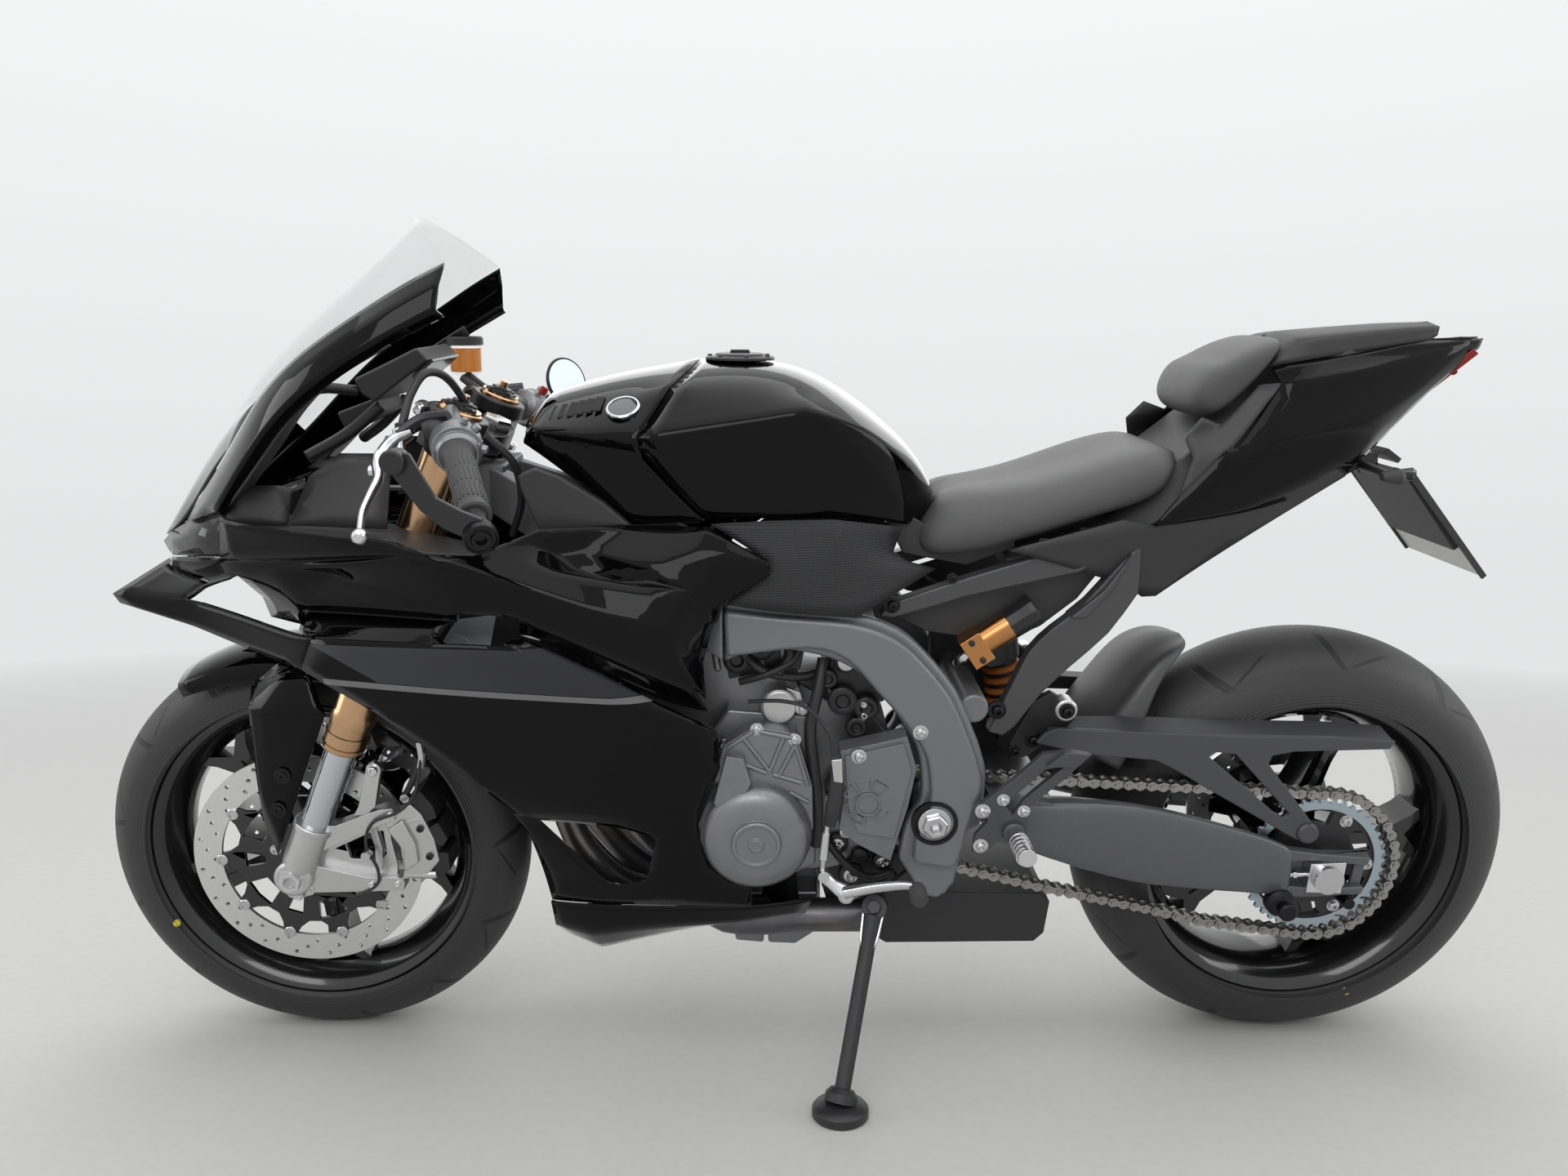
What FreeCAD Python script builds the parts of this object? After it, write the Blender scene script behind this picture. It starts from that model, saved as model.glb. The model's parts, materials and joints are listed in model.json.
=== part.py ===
import FreeCAD, Part
import math
import os

# A sport motorcycle, parked and leaning on its side stand.
# Everything is drawn upright first: +X to the front, +Y to the rider's left, +Z up, the origin on the
# ground midway between the axles. The last step leans it to the left about the ground line and moves
# it so that its box stands centred on the origin. Lengths are millimetres and angles are degrees.

WHEELBASE = 1420.0
LEAN = 12.0
RAKE = 22.58
TRAIL = 94.0
FORK_OFFSET = 28.0
FORK_HALF_SPREAD = 105.0
CLEAR = 5.0
SKIN = 5.0
ROW_CENTRE = (-7.5, 172.2)

FRONT_TYRE = {"radius": 300.0, "half_width": 60.0, "shoulder": 240.0, "bead_half": 44.0}
REAR_TYRE = {"radius": 315.0, "half_width": 92.0, "shoulder": 236.0, "bead_half": 68.0}
BEAD_RADIUS = 218.0
FLANGE_RADIUS = 232.5
RIM_INNER = 203.0
SPOKE_COUNT = 5
AXLE_RADIUS = 12.5
RUNNING_FIT = 0.05

FRONT_DISC = {"radius": 160.0, "inner": 122.0, "low": 66.0, "high": 71.0}
REAR_DISC = {"radius": 110.0, "inner": 62.0, "low": 74.0, "high": 79.0}
OUTER_TUBE_RADIUS = 27.5
STANCHION_RADIUS = 21.5
STEM_RADIUS = 15.0

SPROCKET_RADIUS = 93.5
CHAIN_RADIUS = 109.0
FRONT_SPROCKET_RADIUS = 40.0
CHAIN_HALF_HEIGHT = 9.0
CHAIN_LOW = 98.0
CHAIN_HIGH = 118.0

BOBBIN_HEIGHT = 277.0
STAND_PIVOT = (-87.0, 166.0, 283.0)
STAND_FOLDED = (-0.975, 0.2, -0.05)
PUCK_RADIUS = 36.5
PUCK_THICKNESS = 20.0
PUCK_ROW = (-37.0, 308.0)

sin_rake = math.sin(math.radians(RAKE))
cos_rake = math.cos(math.radians(RAKE))
tan_rake = math.tan(math.radians(RAKE))
sin_lean = math.sin(math.radians(LEAN))
cos_lean = math.cos(math.radians(LEAN))


def vec(x, y, z):
    return FreeCAD.Vector(x, y, z)


AXIS_Y = vec(0, 1, 0)
ORIGIN = vec(0, 0, 0)
STEER_DIRECTION = vec(-sin_rake, 0, cos_rake)


def axle_height(tyre):
    """A leaning round crown touches the floor lower than an upright one: the axle is raised by as much."""
    return tyre["radius"] + tyre["half_width"] * (1 / cos_lean - 1)


FRONT_AXLE = (WHEELBASE / 2, axle_height(FRONT_TYRE))
REAR_AXLE = (-WHEELBASE / 2, axle_height(REAR_TYRE))
STEER_GROUND_X = FRONT_AXLE[0] + TRAIL


def steer_point(along, ahead=0.0, y=0.0):
    """A point given by its distance up the steering axis and its distance ahead of it."""
    x = STEER_GROUND_X - along * sin_rake + ahead * cos_rake
    return vec(x, y, along * cos_rake + ahead * sin_rake)


def fuse(shapes):
    """One solid out of shapes that meet."""
    if len(shapes) == 1:
        return shapes[0]
    return shapes[0].multiFuse(shapes[1:]).removeSplitter()


def mirrored(shape):
    return shape.mirror(ORIGIN, AXIS_Y)


def both_sides(shape):
    """The left piece and its twin on the right, as one part."""
    return Part.makeCompound([shape, mirrored(shape)])


def prism(outline, y_low, y_high):
    """A plate with the side-view outline (x, z), between two distances from the middle."""
    corners = [vec(x, y_low, z) for x, z in outline]
    face = Part.Face(Part.makePolygon(corners + corners[:1]))
    return face.extrude(vec(0, y_high - y_low, 0))


def rod(start, end, radius):
    return Part.makeCylinder(radius, (end - start).Length, start, end - start)


def bent_rod(points, radius):
    """A round bar through the points, with a ball at each bend."""
    runs = [rod(a, b, radius) for a, b in zip(points, points[1:])]
    bends = [Part.makeSphere(radius, point) for point in points[1:-1]]
    return fuse(runs + bends)


def box(low, high):
    size = [b - a for a, b in zip(low, high)]
    return Part.makeBox(size[0], size[1], size[2], vec(*low))


def disc(axle, y_low, y_high, radius):
    return Part.makeCylinder(radius, y_high - y_low, vec(axle[0], y_low, axle[1]), AXIS_Y)


def ring(axle, y_low, y_high, radius, inner):
    return disc(axle, y_low, y_high, radius).cut(disc(axle, y_low, y_high, inner))


def sector(axle, inner, outer, start, end, y_low, y_high):
    """Part of a ring about an axle, from one angle to another, counted up from the front."""
    turn = math.radians(start), math.radians((start + end) / 2), math.radians(end)

    def at(radius, angle):
        return vec(axle[0] + radius * math.cos(angle), y_low, axle[1] + radius * math.sin(angle))

    edges = [
        Part.Arc(at(outer, turn[0]), at(outer, turn[1]), at(outer, turn[2])).toShape(),
        Part.LineSegment(at(outer, turn[2]), at(inner, turn[2])).toShape(),
        Part.Arc(at(inner, turn[2]), at(inner, turn[1]), at(inner, turn[0])).toShape(),
        Part.LineSegment(at(inner, turn[0]), at(outer, turn[0])).toShape(),
    ]
    return Part.Face(Part.Wire(edges)).extrude(vec(0, y_high - y_low, 0))


def loft(sections):
    """Straight-sided body through cross-sections with equal numbers of corners."""
    wires = [Part.makePolygon(section + section[:1]) for section in sections]
    return Part.makeLoft(wires, True, True)


def hull_sections(table):
    """Eight-cornered sections from rows of x, z low, z middle, z high, half low, half middle, half high."""
    sections = []
    for x, z_low, z_mid, z_high, half_low, half_mid, half_high in table:
        left = [(half_low, z_low), (half_mid, z_mid), (half_high, z_high)]
        right = [(-half, z) for half, z in reversed(left)]
        sections.append([vec(x, y, z) for y, z in left + right])
    return sections


def sheet(grid, depth):
    """A thin wall of flat facets: grid is rows of points, depth the vector to its other face."""
    rows, columns = len(grid), len(grid[0])
    faces = []

    def triangle(a, b, c):
        faces.append(Part.Face(Part.makePolygon([a, b, c, a])))

    for shift in (ORIGIN, depth):
        for i in range(rows - 1):
            for j in range(columns - 1):
                a, b = grid[i][j] + shift, grid[i + 1][j] + shift
                c, d = grid[i + 1][j + 1] + shift, grid[i][j + 1] + shift
                triangle(a, b, c)
                triangle(a, c, d)
    rim = [grid[0][j] for j in range(columns)]
    rim += [grid[i][-1] for i in range(1, rows)]
    rim += [grid[-1][j] for j in range(columns - 2, -1, -1)]
    rim += [grid[i][0] for i in range(rows - 2, 0, -1)]
    for a, b in zip(rim, rim[1:] + rim[:1]):
        triangle(a, b, b + depth)
        triangle(a, b + depth, a + depth)
    return Part.Solid(Part.makeShell(faces))


def fan_panel(rim, centre, depth):
    """A thin wall of flat facets that fan out from its centre to the rim. Rows are x, z, y."""
    edge = [vec(x, y, z) for x, z, y in rim]
    middle = vec(centre[0], centre[2], centre[1])
    inward = vec(0, -depth, 0)
    faces = []
    for a, b in zip(edge, edge[1:] + edge[:1]):
        corners = [(middle, a, b), (middle + inward, a + inward, b + inward)]
        corners += [(a, b, b + inward), (a, b + inward, a + inward)]
        faces += [Part.Face(Part.makePolygon([p, q, r, p])) for p, q, r in corners]
    return Part.Solid(Part.makeShell(faces))


def hose(points, radius):
    """A tube of straight runs joined by tangent arcs."""
    edges = []
    begin = points[0]
    for before, corner, after in zip(points, points[1:], points[2:]):
        into, out = corner - before, after - corner
        half_turn = into.getAngle(out) / 2
        reach = 0.45 * min(into.Length, out.Length)
        into.normalize()
        out.normalize()
        first, last = corner - into * reach, corner + out * reach
        bulge = out - into
        bulge.normalize()
        bend = reach / math.tan(half_turn)
        middle = corner + bulge * (bend / math.cos(half_turn) - bend)
        edges.append(Part.LineSegment(begin, first).toShape())
        edges.append(Part.Arc(first, middle, last).toShape())
        begin = last
    edges.append(Part.LineSegment(begin, points[-1]).toShape())
    path = Part.Wire(edges)
    profile = Part.Wire([Part.Circle(points[0], points[1] - points[0], radius).toShape()])
    return path.makePipeShell([profile], True, True)


# ---------------------------------------------------------------- wheels

def tyre(axle, size):
    """A tyre with a round crown, drawn as half a section and turned about its axle."""
    crown = size["half_width"]
    centre_r = size["radius"] - crown
    side = math.sqrt(crown ** 2 - (size["shoulder"] - centre_r) ** 2)

    def at(y, r):
        return vec(axle[0], y, axle[1] + r)

    bead = size["bead_half"]
    corners = [(side, size["shoulder"]), (bead + 6, FLANGE_RADIUS + 1), (bead, FLANGE_RADIUS + 1)]
    corners += [(bead, BEAD_RADIUS)]
    points = [at(y, r) for y, r in corners] + [at(-y, r) for y, r in reversed(corners)]
    edges = [Part.LineSegment(a, b).toShape() for a, b in zip(points, points[1:])]
    edges.append(Part.Arc(points[-1], at(0, size["radius"]), points[0]).toShape())
    return Part.Face(Part.Wire(edges)).revolve(vec(axle[0], 0, axle[1]), AXIS_Y, 360)


def rim(axle, size, hub_half, hub_radius):
    """Barrel with two flanges, a hub and straight spokes in pairs."""
    bead = size["bead_half"]
    barrel = ring(axle, -bead - 5, bead + 5, BEAD_RADIUS, RIM_INNER)
    flanges = [ring(axle, s * (bead + 2.5) - 2.5, s * (bead + 2.5) + 2.5, FLANGE_RADIUS, RIM_INNER + 2)
               for s in (-1, 1)]
    hub = disc(axle, -hub_half, hub_half, hub_radius)
    spokes = []
    for i in range(SPOKE_COUNT):
        for fan in (-14.0, 14.0):
            blade = box((axle[0] - 9, -16, axle[1] + hub_radius - 8), (axle[0] + 9, 16, axle[1] + RIM_INNER + 6))
            blade.rotate(vec(axle[0], 0, axle[1] + hub_radius), AXIS_Y, fan)
            blade.rotate(vec(axle[0], 0, axle[1]), AXIS_Y, i * 360.0 / SPOKE_COUNT)
            spokes.append(blade)
    whole = fuse([barrel, hub] + flanges + spokes)
    return whole.cut(disc(axle, -hub_half - 1, hub_half + 1, AXLE_RADIUS + RUNNING_FIT))


def front_discs():
    """Two brake discs on carriers that stand on the ends of the hub."""
    rotor = ring(FRONT_AXLE, FRONT_DISC["low"], FRONT_DISC["high"], FRONT_DISC["radius"], FRONT_DISC["inner"])
    carrier = ring(FRONT_AXLE, FRONT_DISC["low"] - 4, FRONT_DISC["high"] - 2, FRONT_DISC["inner"] + 4, 34)
    return both_sides(fuse([rotor, carrier]))


def rear_disc():
    low, high = -REAR_DISC["high"], -REAR_DISC["low"]
    return ring(REAR_AXLE, low, high, REAR_DISC["radius"], 30)


def rear_sprocket():
    plate = ring(REAR_AXLE, 104.5, 111.5, SPROCKET_RADIUS, 30)
    carrier = ring(REAR_AXLE, 74, 104.5, 68, 30)
    return fuse([plate, carrier])


# ---------------------------------------------------------------- front end

def fork_point(z, y=0.0):
    """A point on the fork's line at a height."""
    x = STEER_GROUND_X + FORK_OFFSET / cos_rake - z * tan_rake
    return vec(x, y, z)


FORK_TOP_Z = 945.0
OUTER_TUBE_BOTTOM_Z = 490.0
STANCHION_BOTTOM_Z = 330.0
UPPER_CLAMP = (955.0, 982.0)
LOWER_CLAMP = (792.0, 824.0)
HEAD_TUBE = (830.0, 949.0)


def fork_tubes():
    outer = rod(fork_point(OUTER_TUBE_BOTTOM_Z, FORK_HALF_SPREAD), fork_point(FORK_TOP_Z, FORK_HALF_SPREAD),
                OUTER_TUBE_RADIUS)
    return both_sides(outer)


def fork_stanchions():
    inner = rod(fork_point(STANCHION_BOTTOM_Z + 48, FORK_HALF_SPREAD),
                fork_point(OUTER_TUBE_BOTTOM_Z, FORK_HALF_SPREAD), STANCHION_RADIUS)
    return both_sides(inner)


def fork_bottoms():
    """Cast lower ends: a socket round the stanchion, the axle boss and the arm for the caliper."""
    y = FORK_HALF_SPREAD
    socket = rod(fork_point(FRONT_AXLE[1] + 8, y), fork_point(STANCHION_BOTTOM_Z + 48, y), STANCHION_RADIUS + 5)
    boss = disc(FRONT_AXLE, y - 22, y + 22, 26)
    arm = prism([(700, 340), (655, 372), (590, 398), (572, 396), (572, 372), (650, 345), (655, 325),
                 (606, 300), (566, 296), (566, 284), (604, 280), (700, 280)], y - 8, y + 10)
    bore = disc(FRONT_AXLE, y - 30, y + 30, AXLE_RADIUS)
    return both_sides(fuse([socket, boss, arm]).cut(bore))


def front_axle():
    half = FORK_HALF_SPREAD + 20
    return disc(FRONT_AXLE, -half, half, AXLE_RADIUS).cut(disc(FRONT_AXLE, -half - 1, half + 1, 8.5))


def front_calipers():
    """Radial calipers that straddle the discs with room on either side."""
    outer = sector(FRONT_AXLE, 118, 192, 152, 183, FRONT_DISC["high"] + CLEAR, 96)
    inner = sector(FRONT_AXLE, 118, 192, 152, 183, 42, FRONT_DISC["low"] - 4 - CLEAR)
    bridge = sector(FRONT_AXLE, FRONT_DISC["radius"] + CLEAR, 192, 152, 183, 42, 96)
    return both_sides(fuse([outer, inner, bridge]))


def triple_clamps():
    """Upper and lower clamps with the steering stem between them."""
    clamps = []
    for low, high in (UPPER_CLAMP, LOWER_CLAMP):
        plan = [(-26, -42), (-26, 42), (0, 142), (56, 142), (58, 60), (30, 30), (30, -30), (58, -60),
                (56, -142), (0, -142)]
        corners = [steer_point(low, ahead, y) for ahead, y in plan]
        face = Part.Face(Part.makePolygon(corners + corners[:1]))
        clamps.append(face.extrude(STEER_DIRECTION * (high - low)))
    stem = rod(steer_point(LOWER_CLAMP[0]), steer_point(UPPER_CLAMP[1] + 14), STEM_RADIUS)
    whole = fuse(clamps + [stem])
    for side in (-1, 1):
        y = side * FORK_HALF_SPREAD
        whole = whole.cut(rod(fork_point(600, y), fork_point(1000, y), OUTER_TUBE_RADIUS))
    return whole


BAR_INNER = vec(450, 122, 940)
GRIP_INNER = vec(414, 232, 904)
BAR_OUTER = vec(366, 352, 852)
BAR_END_HOLE = 4.0
BAR_END_LENGTH = 16.0


def handlebars():
    """Clip-on clamps round the fork tubes, each with its bar."""
    low, high = UPPER_CLAMP[1] + 2, UPPER_CLAMP[1] + 24
    clamp = rod(steer_point(low, FORK_OFFSET, FORK_HALF_SPREAD), steer_point(high, FORK_OFFSET, FORK_HALF_SPREAD),
                OUTER_TUBE_RADIUS + 9)
    bar = bent_rod([BAR_INNER, GRIP_INNER, BAR_OUTER], 11)
    bore = rod(fork_point(800, FORK_HALF_SPREAD), fork_point(1000, FORK_HALF_SPREAD), OUTER_TUBE_RADIUS)
    inside = rod(steer_point(900), steer_point(1100), 60)
    return both_sides(fuse([clamp, bar]).cut(bore).cut(inside))


def grips():
    along = BAR_OUTER - GRIP_INNER
    along.normalize()
    sleeve = rod(GRIP_INNER, BAR_OUTER, 17).cut(rod(GRIP_INNER, BAR_OUTER, 11))
    weight = rod(BAR_OUTER, BAR_OUTER + along * BAR_END_LENGTH, 16)
    hole = rod(BAR_OUTER, BAR_OUTER + along * (BAR_END_LENGTH + 4), BAR_END_HOLE)
    return both_sides(fuse([sleeve, weight]).cut(hole))


def hand_levers():
    """Clutch and brake levers with their perches."""
    perch = fuse([rod(vec(420, 205, 912), vec(448, 198, 926), 18), rod(vec(444, 200, 922), vec(486, 214, 916), 11)])
    perch = perch.cut(bent_rod([BAR_INNER, GRIP_INNER], 11))
    blade = bent_rod([vec(486, 214, 912), vec(500, 262, 882), vec(497, 310, 858), vec(489, 350, 836)], 6)
    ball = Part.makeSphere(9, vec(489, 350, 834))
    return both_sides(fuse([perch, blade, ball]))


def lever_guard():
    """Flat blade from the left bar end to in front of the lever tip, on a collar against the bar end."""
    outline = [(366, 838), (352, 852), (372, 866), (398, 880), (420, 926), (446, 930), (450, 914), (414, 868)]
    along = BAR_OUTER - GRIP_INNER
    along.normalize()
    collar = rod(BAR_OUTER + along * BAR_END_LENGTH, BAR_OUTER + along * (BAR_END_LENGTH + 18), 13)
    hole = rod(BAR_OUTER, BAR_OUTER + along * 60, BAR_END_HOLE + 1)
    return fuse([prism(outline, 375, 381), collar]).cut(hole)


def brake_reservoir():
    """Fluid pot on its stalk by the right clip-on."""
    pot = Part.makeCylinder(22, 48, vec(504, -162, 964), vec(0, 0, 1))
    stalk = rod(vec(462, -196, 930), vec(504, -164, 968), 7)
    return fuse([pot, stalk]).cut(hand_levers().Solids[1])


def bar_end_mirror():
    """Round mirror on an arm from the right bar end."""
    arm = bent_rod([vec(360, -372, 846), vec(350, -390, 862), vec(392, -390, 910)], 5)
    glass = rod(vec(406, -391, 936), vec(397, -383.5, 939), 40)
    return fuse([arm, glass])


def front_fender():
    """Guard that follows the tyre, with a blade down each fork leg."""
    crown = sector(FRONT_AXLE, 311, 316, 62, 128, -74, 74)
    blade = prism([(746, 560), (700, 588), (650, 592), (640, 545), (668, 500), (690, 435), (729, 335),
                   (741, 388), (746, 453)], 120, 124)
    link = prism([(742, 560), (700, 584), (655, 588), (655, 560), (700, 540), (742, 530)], 74, 120)
    side = sector(FRONT_AXLE, 262, 316, 64, 106, 70, 74)
    leg = rod(fork_point(400, FORK_HALF_SPREAD), fork_point(700, FORK_HALF_SPREAD), OUTER_TUBE_RADIUS + 1)
    wall = fuse([side, link, blade]).cut(leg)
    return fuse([crown, wall, mirrored(wall)])


def brake_hoses():
    """Hoses from the lower clamp to the calipers, and the clutch cable on its way to the frame."""
    caliper_hose = hose([vec(548, 60, 742), vec(540, 72, 690), vec(530, 92, 620), vec(522, 108, 540),
                         vec(524, 110, 480), vec(545, 100, 434), vec(562, 88, 404)], 4.5)
    return both_sides(caliper_hose)


# ---------------------------------------------------------------- frame, engine and rear end

def main_frame():
    """Head tube, two spars that run back and down, cross tubes and the stand's bracket."""
    spar = prism([(116, 711), (-46, 695), (-105, 675), (-143, 643), (-182, 595), (-208, 542), (-230, 469),
                  (-228, 401), (-205, 388), (-196, 314), (-175, 296), (-151, 300), (-120, 352), (-143, 435),
                  (-135, 514), (-110, 556), (-71, 604), (-34, 629), (10, 642), (68, 648), (116, 626)], 136, 172)
    rear_section = [vec(116, 136, 626), vec(116, 172, 626), vec(116, 172, 711), vec(116, 136, 711)]
    front_section = [vec(428, 26, 800), vec(428, 58, 800), vec(428, 58, 868), vec(428, 26, 868)]
    beam = loft([rear_section, front_section])
    head = rod(steer_point(HEAD_TUBE[0]), steer_point(HEAD_TUBE[1]), 34)
    web = box((418, -60, 800), (440, 60, 866))
    cross_tubes = [rod(vec(x, -140, z), vec(x, 140, z), r) for x, z, r in ((-212, 560, 20), (-182, 296, 9))]
    bore = rod(steer_point(HEAD_TUBE[0] - 20), steer_point(HEAD_TUBE[1] + 20), STEM_RADIUS + RUNNING_FIT)
    whole = fuse([spar, mirrored(spar), beam, mirrored(beam), head, web] + cross_tubes + [stand_bracket()])
    return whole.cut(bore)


def stand_axis():
    """Direction of the stand's pivot: square to the leg both down and folded."""
    direction = stand_down().cross(vec(*STAND_FOLDED))
    direction.normalize()
    return direction


def row_to_upright(x, y, z):
    """A point given on the floor under the leaning machine, in the upright drawing."""
    return vec(x, y * cos_lean - z * sin_lean, y * sin_lean + z * cos_lean)


def stand_down():
    """Direction of the leg from its pivot to the top of the puck."""
    leg = row_to_upright(PUCK_ROW[0], PUCK_ROW[1], PUCK_THICKNESS) - vec(*STAND_PIVOT)
    leg.normalize()
    return leg


def stand_bracket():
    """The frame's lug for the side stand, with the pivot pin."""
    axis = stand_axis()
    pivot = vec(*STAND_PIVOT)
    lug = rod(pivot - axis * 30, pivot - axis * 13, 17)
    pin = rod(pivot - axis * 14, pivot + axis * 14, 6)
    arm = loft([[vec(-150, 138, 300), vec(-150, 150, 300), vec(-150, 150, 345), vec(-150, 138, 345)],
                [vec(-92, 138, 262), vec(-92, 150, 262), vec(-92, 150, 292), vec(-92, 138, 292)]])
    return fuse([lug, pin, arm])


def stand_leg():
    """Side stand: a boss on the pin, the leg and its foot."""
    axis = stand_axis()
    pivot = vec(*STAND_PIVOT)
    top = row_to_upright(PUCK_ROW[0], PUCK_ROW[1], PUCK_THICKNESS)
    up = row_to_upright(0, 0, 1)
    boss = rod(pivot - axis * 8, pivot + axis * 8, 16)
    leg = rod(pivot + stand_down() * 12, top + up * 12, 11)
    foot = rod(top, top + up * 16, 21)
    bore = rod(pivot - axis * 20, pivot + axis * 20, 6 + RUNNING_FIT)
    return fuse([boss, leg, foot]).cut(bore)


def stand_puck():
    """Round pad under the stand's foot."""
    base = row_to_upright(PUCK_ROW[0], PUCK_ROW[1], 0)
    return Part.makeCylinder(PUCK_RADIUS, PUCK_THICKNESS, base, row_to_upright(0, 0, 1))


def engine_block():
    """Crankcase, cylinders, sump and round side covers as one block."""
    case = prism([(150, 330), (150, 500), (120, 560), (-60, 560), (-110, 500), (-118, 380), (-40, 296),
                  (90, 296)], -132, 132)
    cylinders = prism([(140, 500), (232, 560), (196, 690), (60, 690), (10, 560)], -106, 106)
    sump = prism([(110, 160), (110, 300), (-20, 300), (-20, 175), (20, 158)], -60, 60)
    left_cover = disc((73, 394), 120, 200, 68)
    right_cover = disc((10, 408), -196, -120, 78)
    lobe = prism([(128, 480), (112, 530), (60, 548), (20, 538), (-30, 500), (-6, 400), (140, 420)], 120, 176)
    chain_room = box((-200, CHAIN_LOW - CLEAR, 340), (-12, 140, 490))
    return fuse([case.cut(chain_room), cylinders, sump, left_cover, right_cover, lobe])


def exhaust():
    """Three header pipes that meet under the sump, and the flat silencer behind."""
    headers = []
    for y in (-84.0, 0.0, 84.0):
        points = [vec(226, y, 610), vec(300, y, 560), vec(330, y * 1.1, 400), vec(280, y, 300), vec(150, y * 0.3, 232)]
        headers.append(bent_rod(points, 19))
    collector = rod(vec(160, 0, 232), vec(112, 90, 226), 26)
    link = rod(vec(112, 90, 226), vec(-80, 90, 226), 24)
    silencer = prism([(-84, 205), (-84, 262), (-110, 272), (-330, 268), (-343, 258), (-338, 206), (-326, 192),
                      (-110, 190)], -108, 108)
    return fuse(headers + [collector, link, silencer]).cut(engine_block())


def radiator():
    return prism([(392, 440), (364, 436), (330, 664), (358, 668)], -150, 150)


def swingarm():
    """Pivot tube, cross box and two arms with open ends for the axle, and the stand bobbins."""
    arm = prism([(-250, 440), (-300, 424), (-416, 426), (-520, 406), (-660, 356), (-770, 345), (-772, 288),
                 (-665, 284), (-457, 298), (-407, 314), (-250, 368)], 122, 142)
    pivot = rod(vec(-162, -122, 412), vec(-162, 122, 412), 24)
    cross = prism([(-150, 388), (-150, 436), (-250, 440), (-330, 424), (-340, 340), (-250, 368)], -86, 86)
    wings = [prism([(-240, 372), (-240, 438), (-330, 424), (-330, 344)], s * 104 - 38, s * 104 + 38) for s in (-1, 1)]
    slot = disc(REAR_AXLE, 100, 160, AXLE_RADIUS)
    bobbin = rod(vec(-652, 142, BOBBIN_HEIGHT), vec(-652, 166, BOBBIN_HEIGHT), 9)
    lug = prism([(-636, 300), (-668, 300), (-664, 262), (-642, 262)], 122, 142)
    side = fuse([arm, lug, bobbin]).cut(slot)
    return fuse([side, mirrored(side), cross, pivot] + wings)


def rear_axle():
    """Axle with its nuts and the adjuster blocks on it."""
    bar = disc(REAR_AXLE, -150, 150, AXLE_RADIUS)
    nut = disc(REAR_AXLE, 142, 156, 20)
    return fuse([bar, nut, mirrored(nut)])


def rear_shock():
    """Damper with its spring, and the remote reservoir on the left."""
    damper = rod(vec(-288, 0, 470), vec(-268, 0, 640), 27)
    reservoir = rod(vec(-206, 116, 634), vec(-292, 116, 694), 20)
    link = rod(vec(-206, 116, 634), vec(-262, 16, 628), 8)
    return fuse([damper, reservoir, link])


def rear_hugger():
    """Inner mudguard close to the tyre, with the long chain guard."""
    shell = sector(REAR_AXLE, 328, 334, 27, 57, -98, 98)
    cheek = sector(REAR_AXLE, 262, 334, 33, 52, 98, 102)
    guard = prism([(-300, 510), (-329, 529), (-555, 517), (-783, 514), (-778, 500), (-610, 493), (-603, 478),
                   (-687, 384), (-669, 373), (-484, 483), (-365, 493)], 124, 130)
    tab = prism([(-372, 512), (-372, 524), (-480, 518), (-480, 506)], 98, 126)
    return fuse([shell, cheek, mirrored(cheek), guard, tab])


def drive_chain():
    """The chain as one closed band: taut above, slack below."""
    front = (-69.0, 420.0)
    inner, outer = [], []
    stations = [(front, FRONT_SPROCKET_RADIUS, angle) for angle in (-100, -60, -20, 20, 60, 88)]
    stations += [(REAR_AXLE, CHAIN_RADIUS, angle) for angle in (88, 110, 140, 170, 200, 230, 255, 280)]
    for (x, z), radius, angle in stations:
        c, s = math.cos(math.radians(angle)), math.sin(math.radians(angle))
        for loop, shift in ((inner, -CHAIN_HALF_HEIGHT), (outer, CHAIN_HALF_HEIGHT)):
            stretch = 1.03 if radius == CHAIN_RADIUS and 88 < angle < 280 else 1.0
            loop.append((x + (radius * stretch + shift) * c, z + (radius * stretch + shift) * s))
    for x, z in ((-470, 252), (-346, 279), (-219, 311)):
        inner.append((x, z + CHAIN_HALF_HEIGHT))
        outer.append((x, z - CHAIN_HALF_HEIGHT))
    return prism(outer, CHAIN_LOW, CHAIN_HIGH).cut(prism(inner, CHAIN_LOW - 1, CHAIN_HIGH + 1))


def rear_caliper():
    """Caliper over the top of the rear disc, inside the right arm."""
    outer = sector(REAR_AXLE, 78, 128, 72, 108, -100, -REAR_DISC["high"] - CLEAR)
    inner = sector(REAR_AXLE, 78, 128, 72, 108, -REAR_DISC["low"] + CLEAR, -54)
    bridge = sector(REAR_AXLE, REAR_DISC["radius"] + CLEAR, 128, 72, 108, -100, -54)
    carrier = prism([(-735, 330), (-735, 400), (-690, 400), (-640, 344), (-640, 330)], -121, -100)
    return fuse([outer, inner, bridge, carrier.cut(disc(REAR_AXLE, -130, -90, AXLE_RADIUS))])


def subframe():
    """Rails that carry the seat and the tail, two on each side."""
    upper = prism([(-90, 684), (-98, 700), (-334, 777), (-360, 790), (-400, 770), (-337, 743)], 108, 128)
    lower = prism([(-232, 530), (-282, 640), (-345, 690), (-400, 770), (-372, 700), (-347, 659), (-303, 615),
                   (-262, 536)], 108, 128)
    ties = [rod(vec(x, -112, z), vec(x, 112, z), 10) for x, z in ((-384, 768), (-330, 672))]
    side = fuse([upper, lower])
    return fuse([side, mirrored(side)] + ties)


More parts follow.
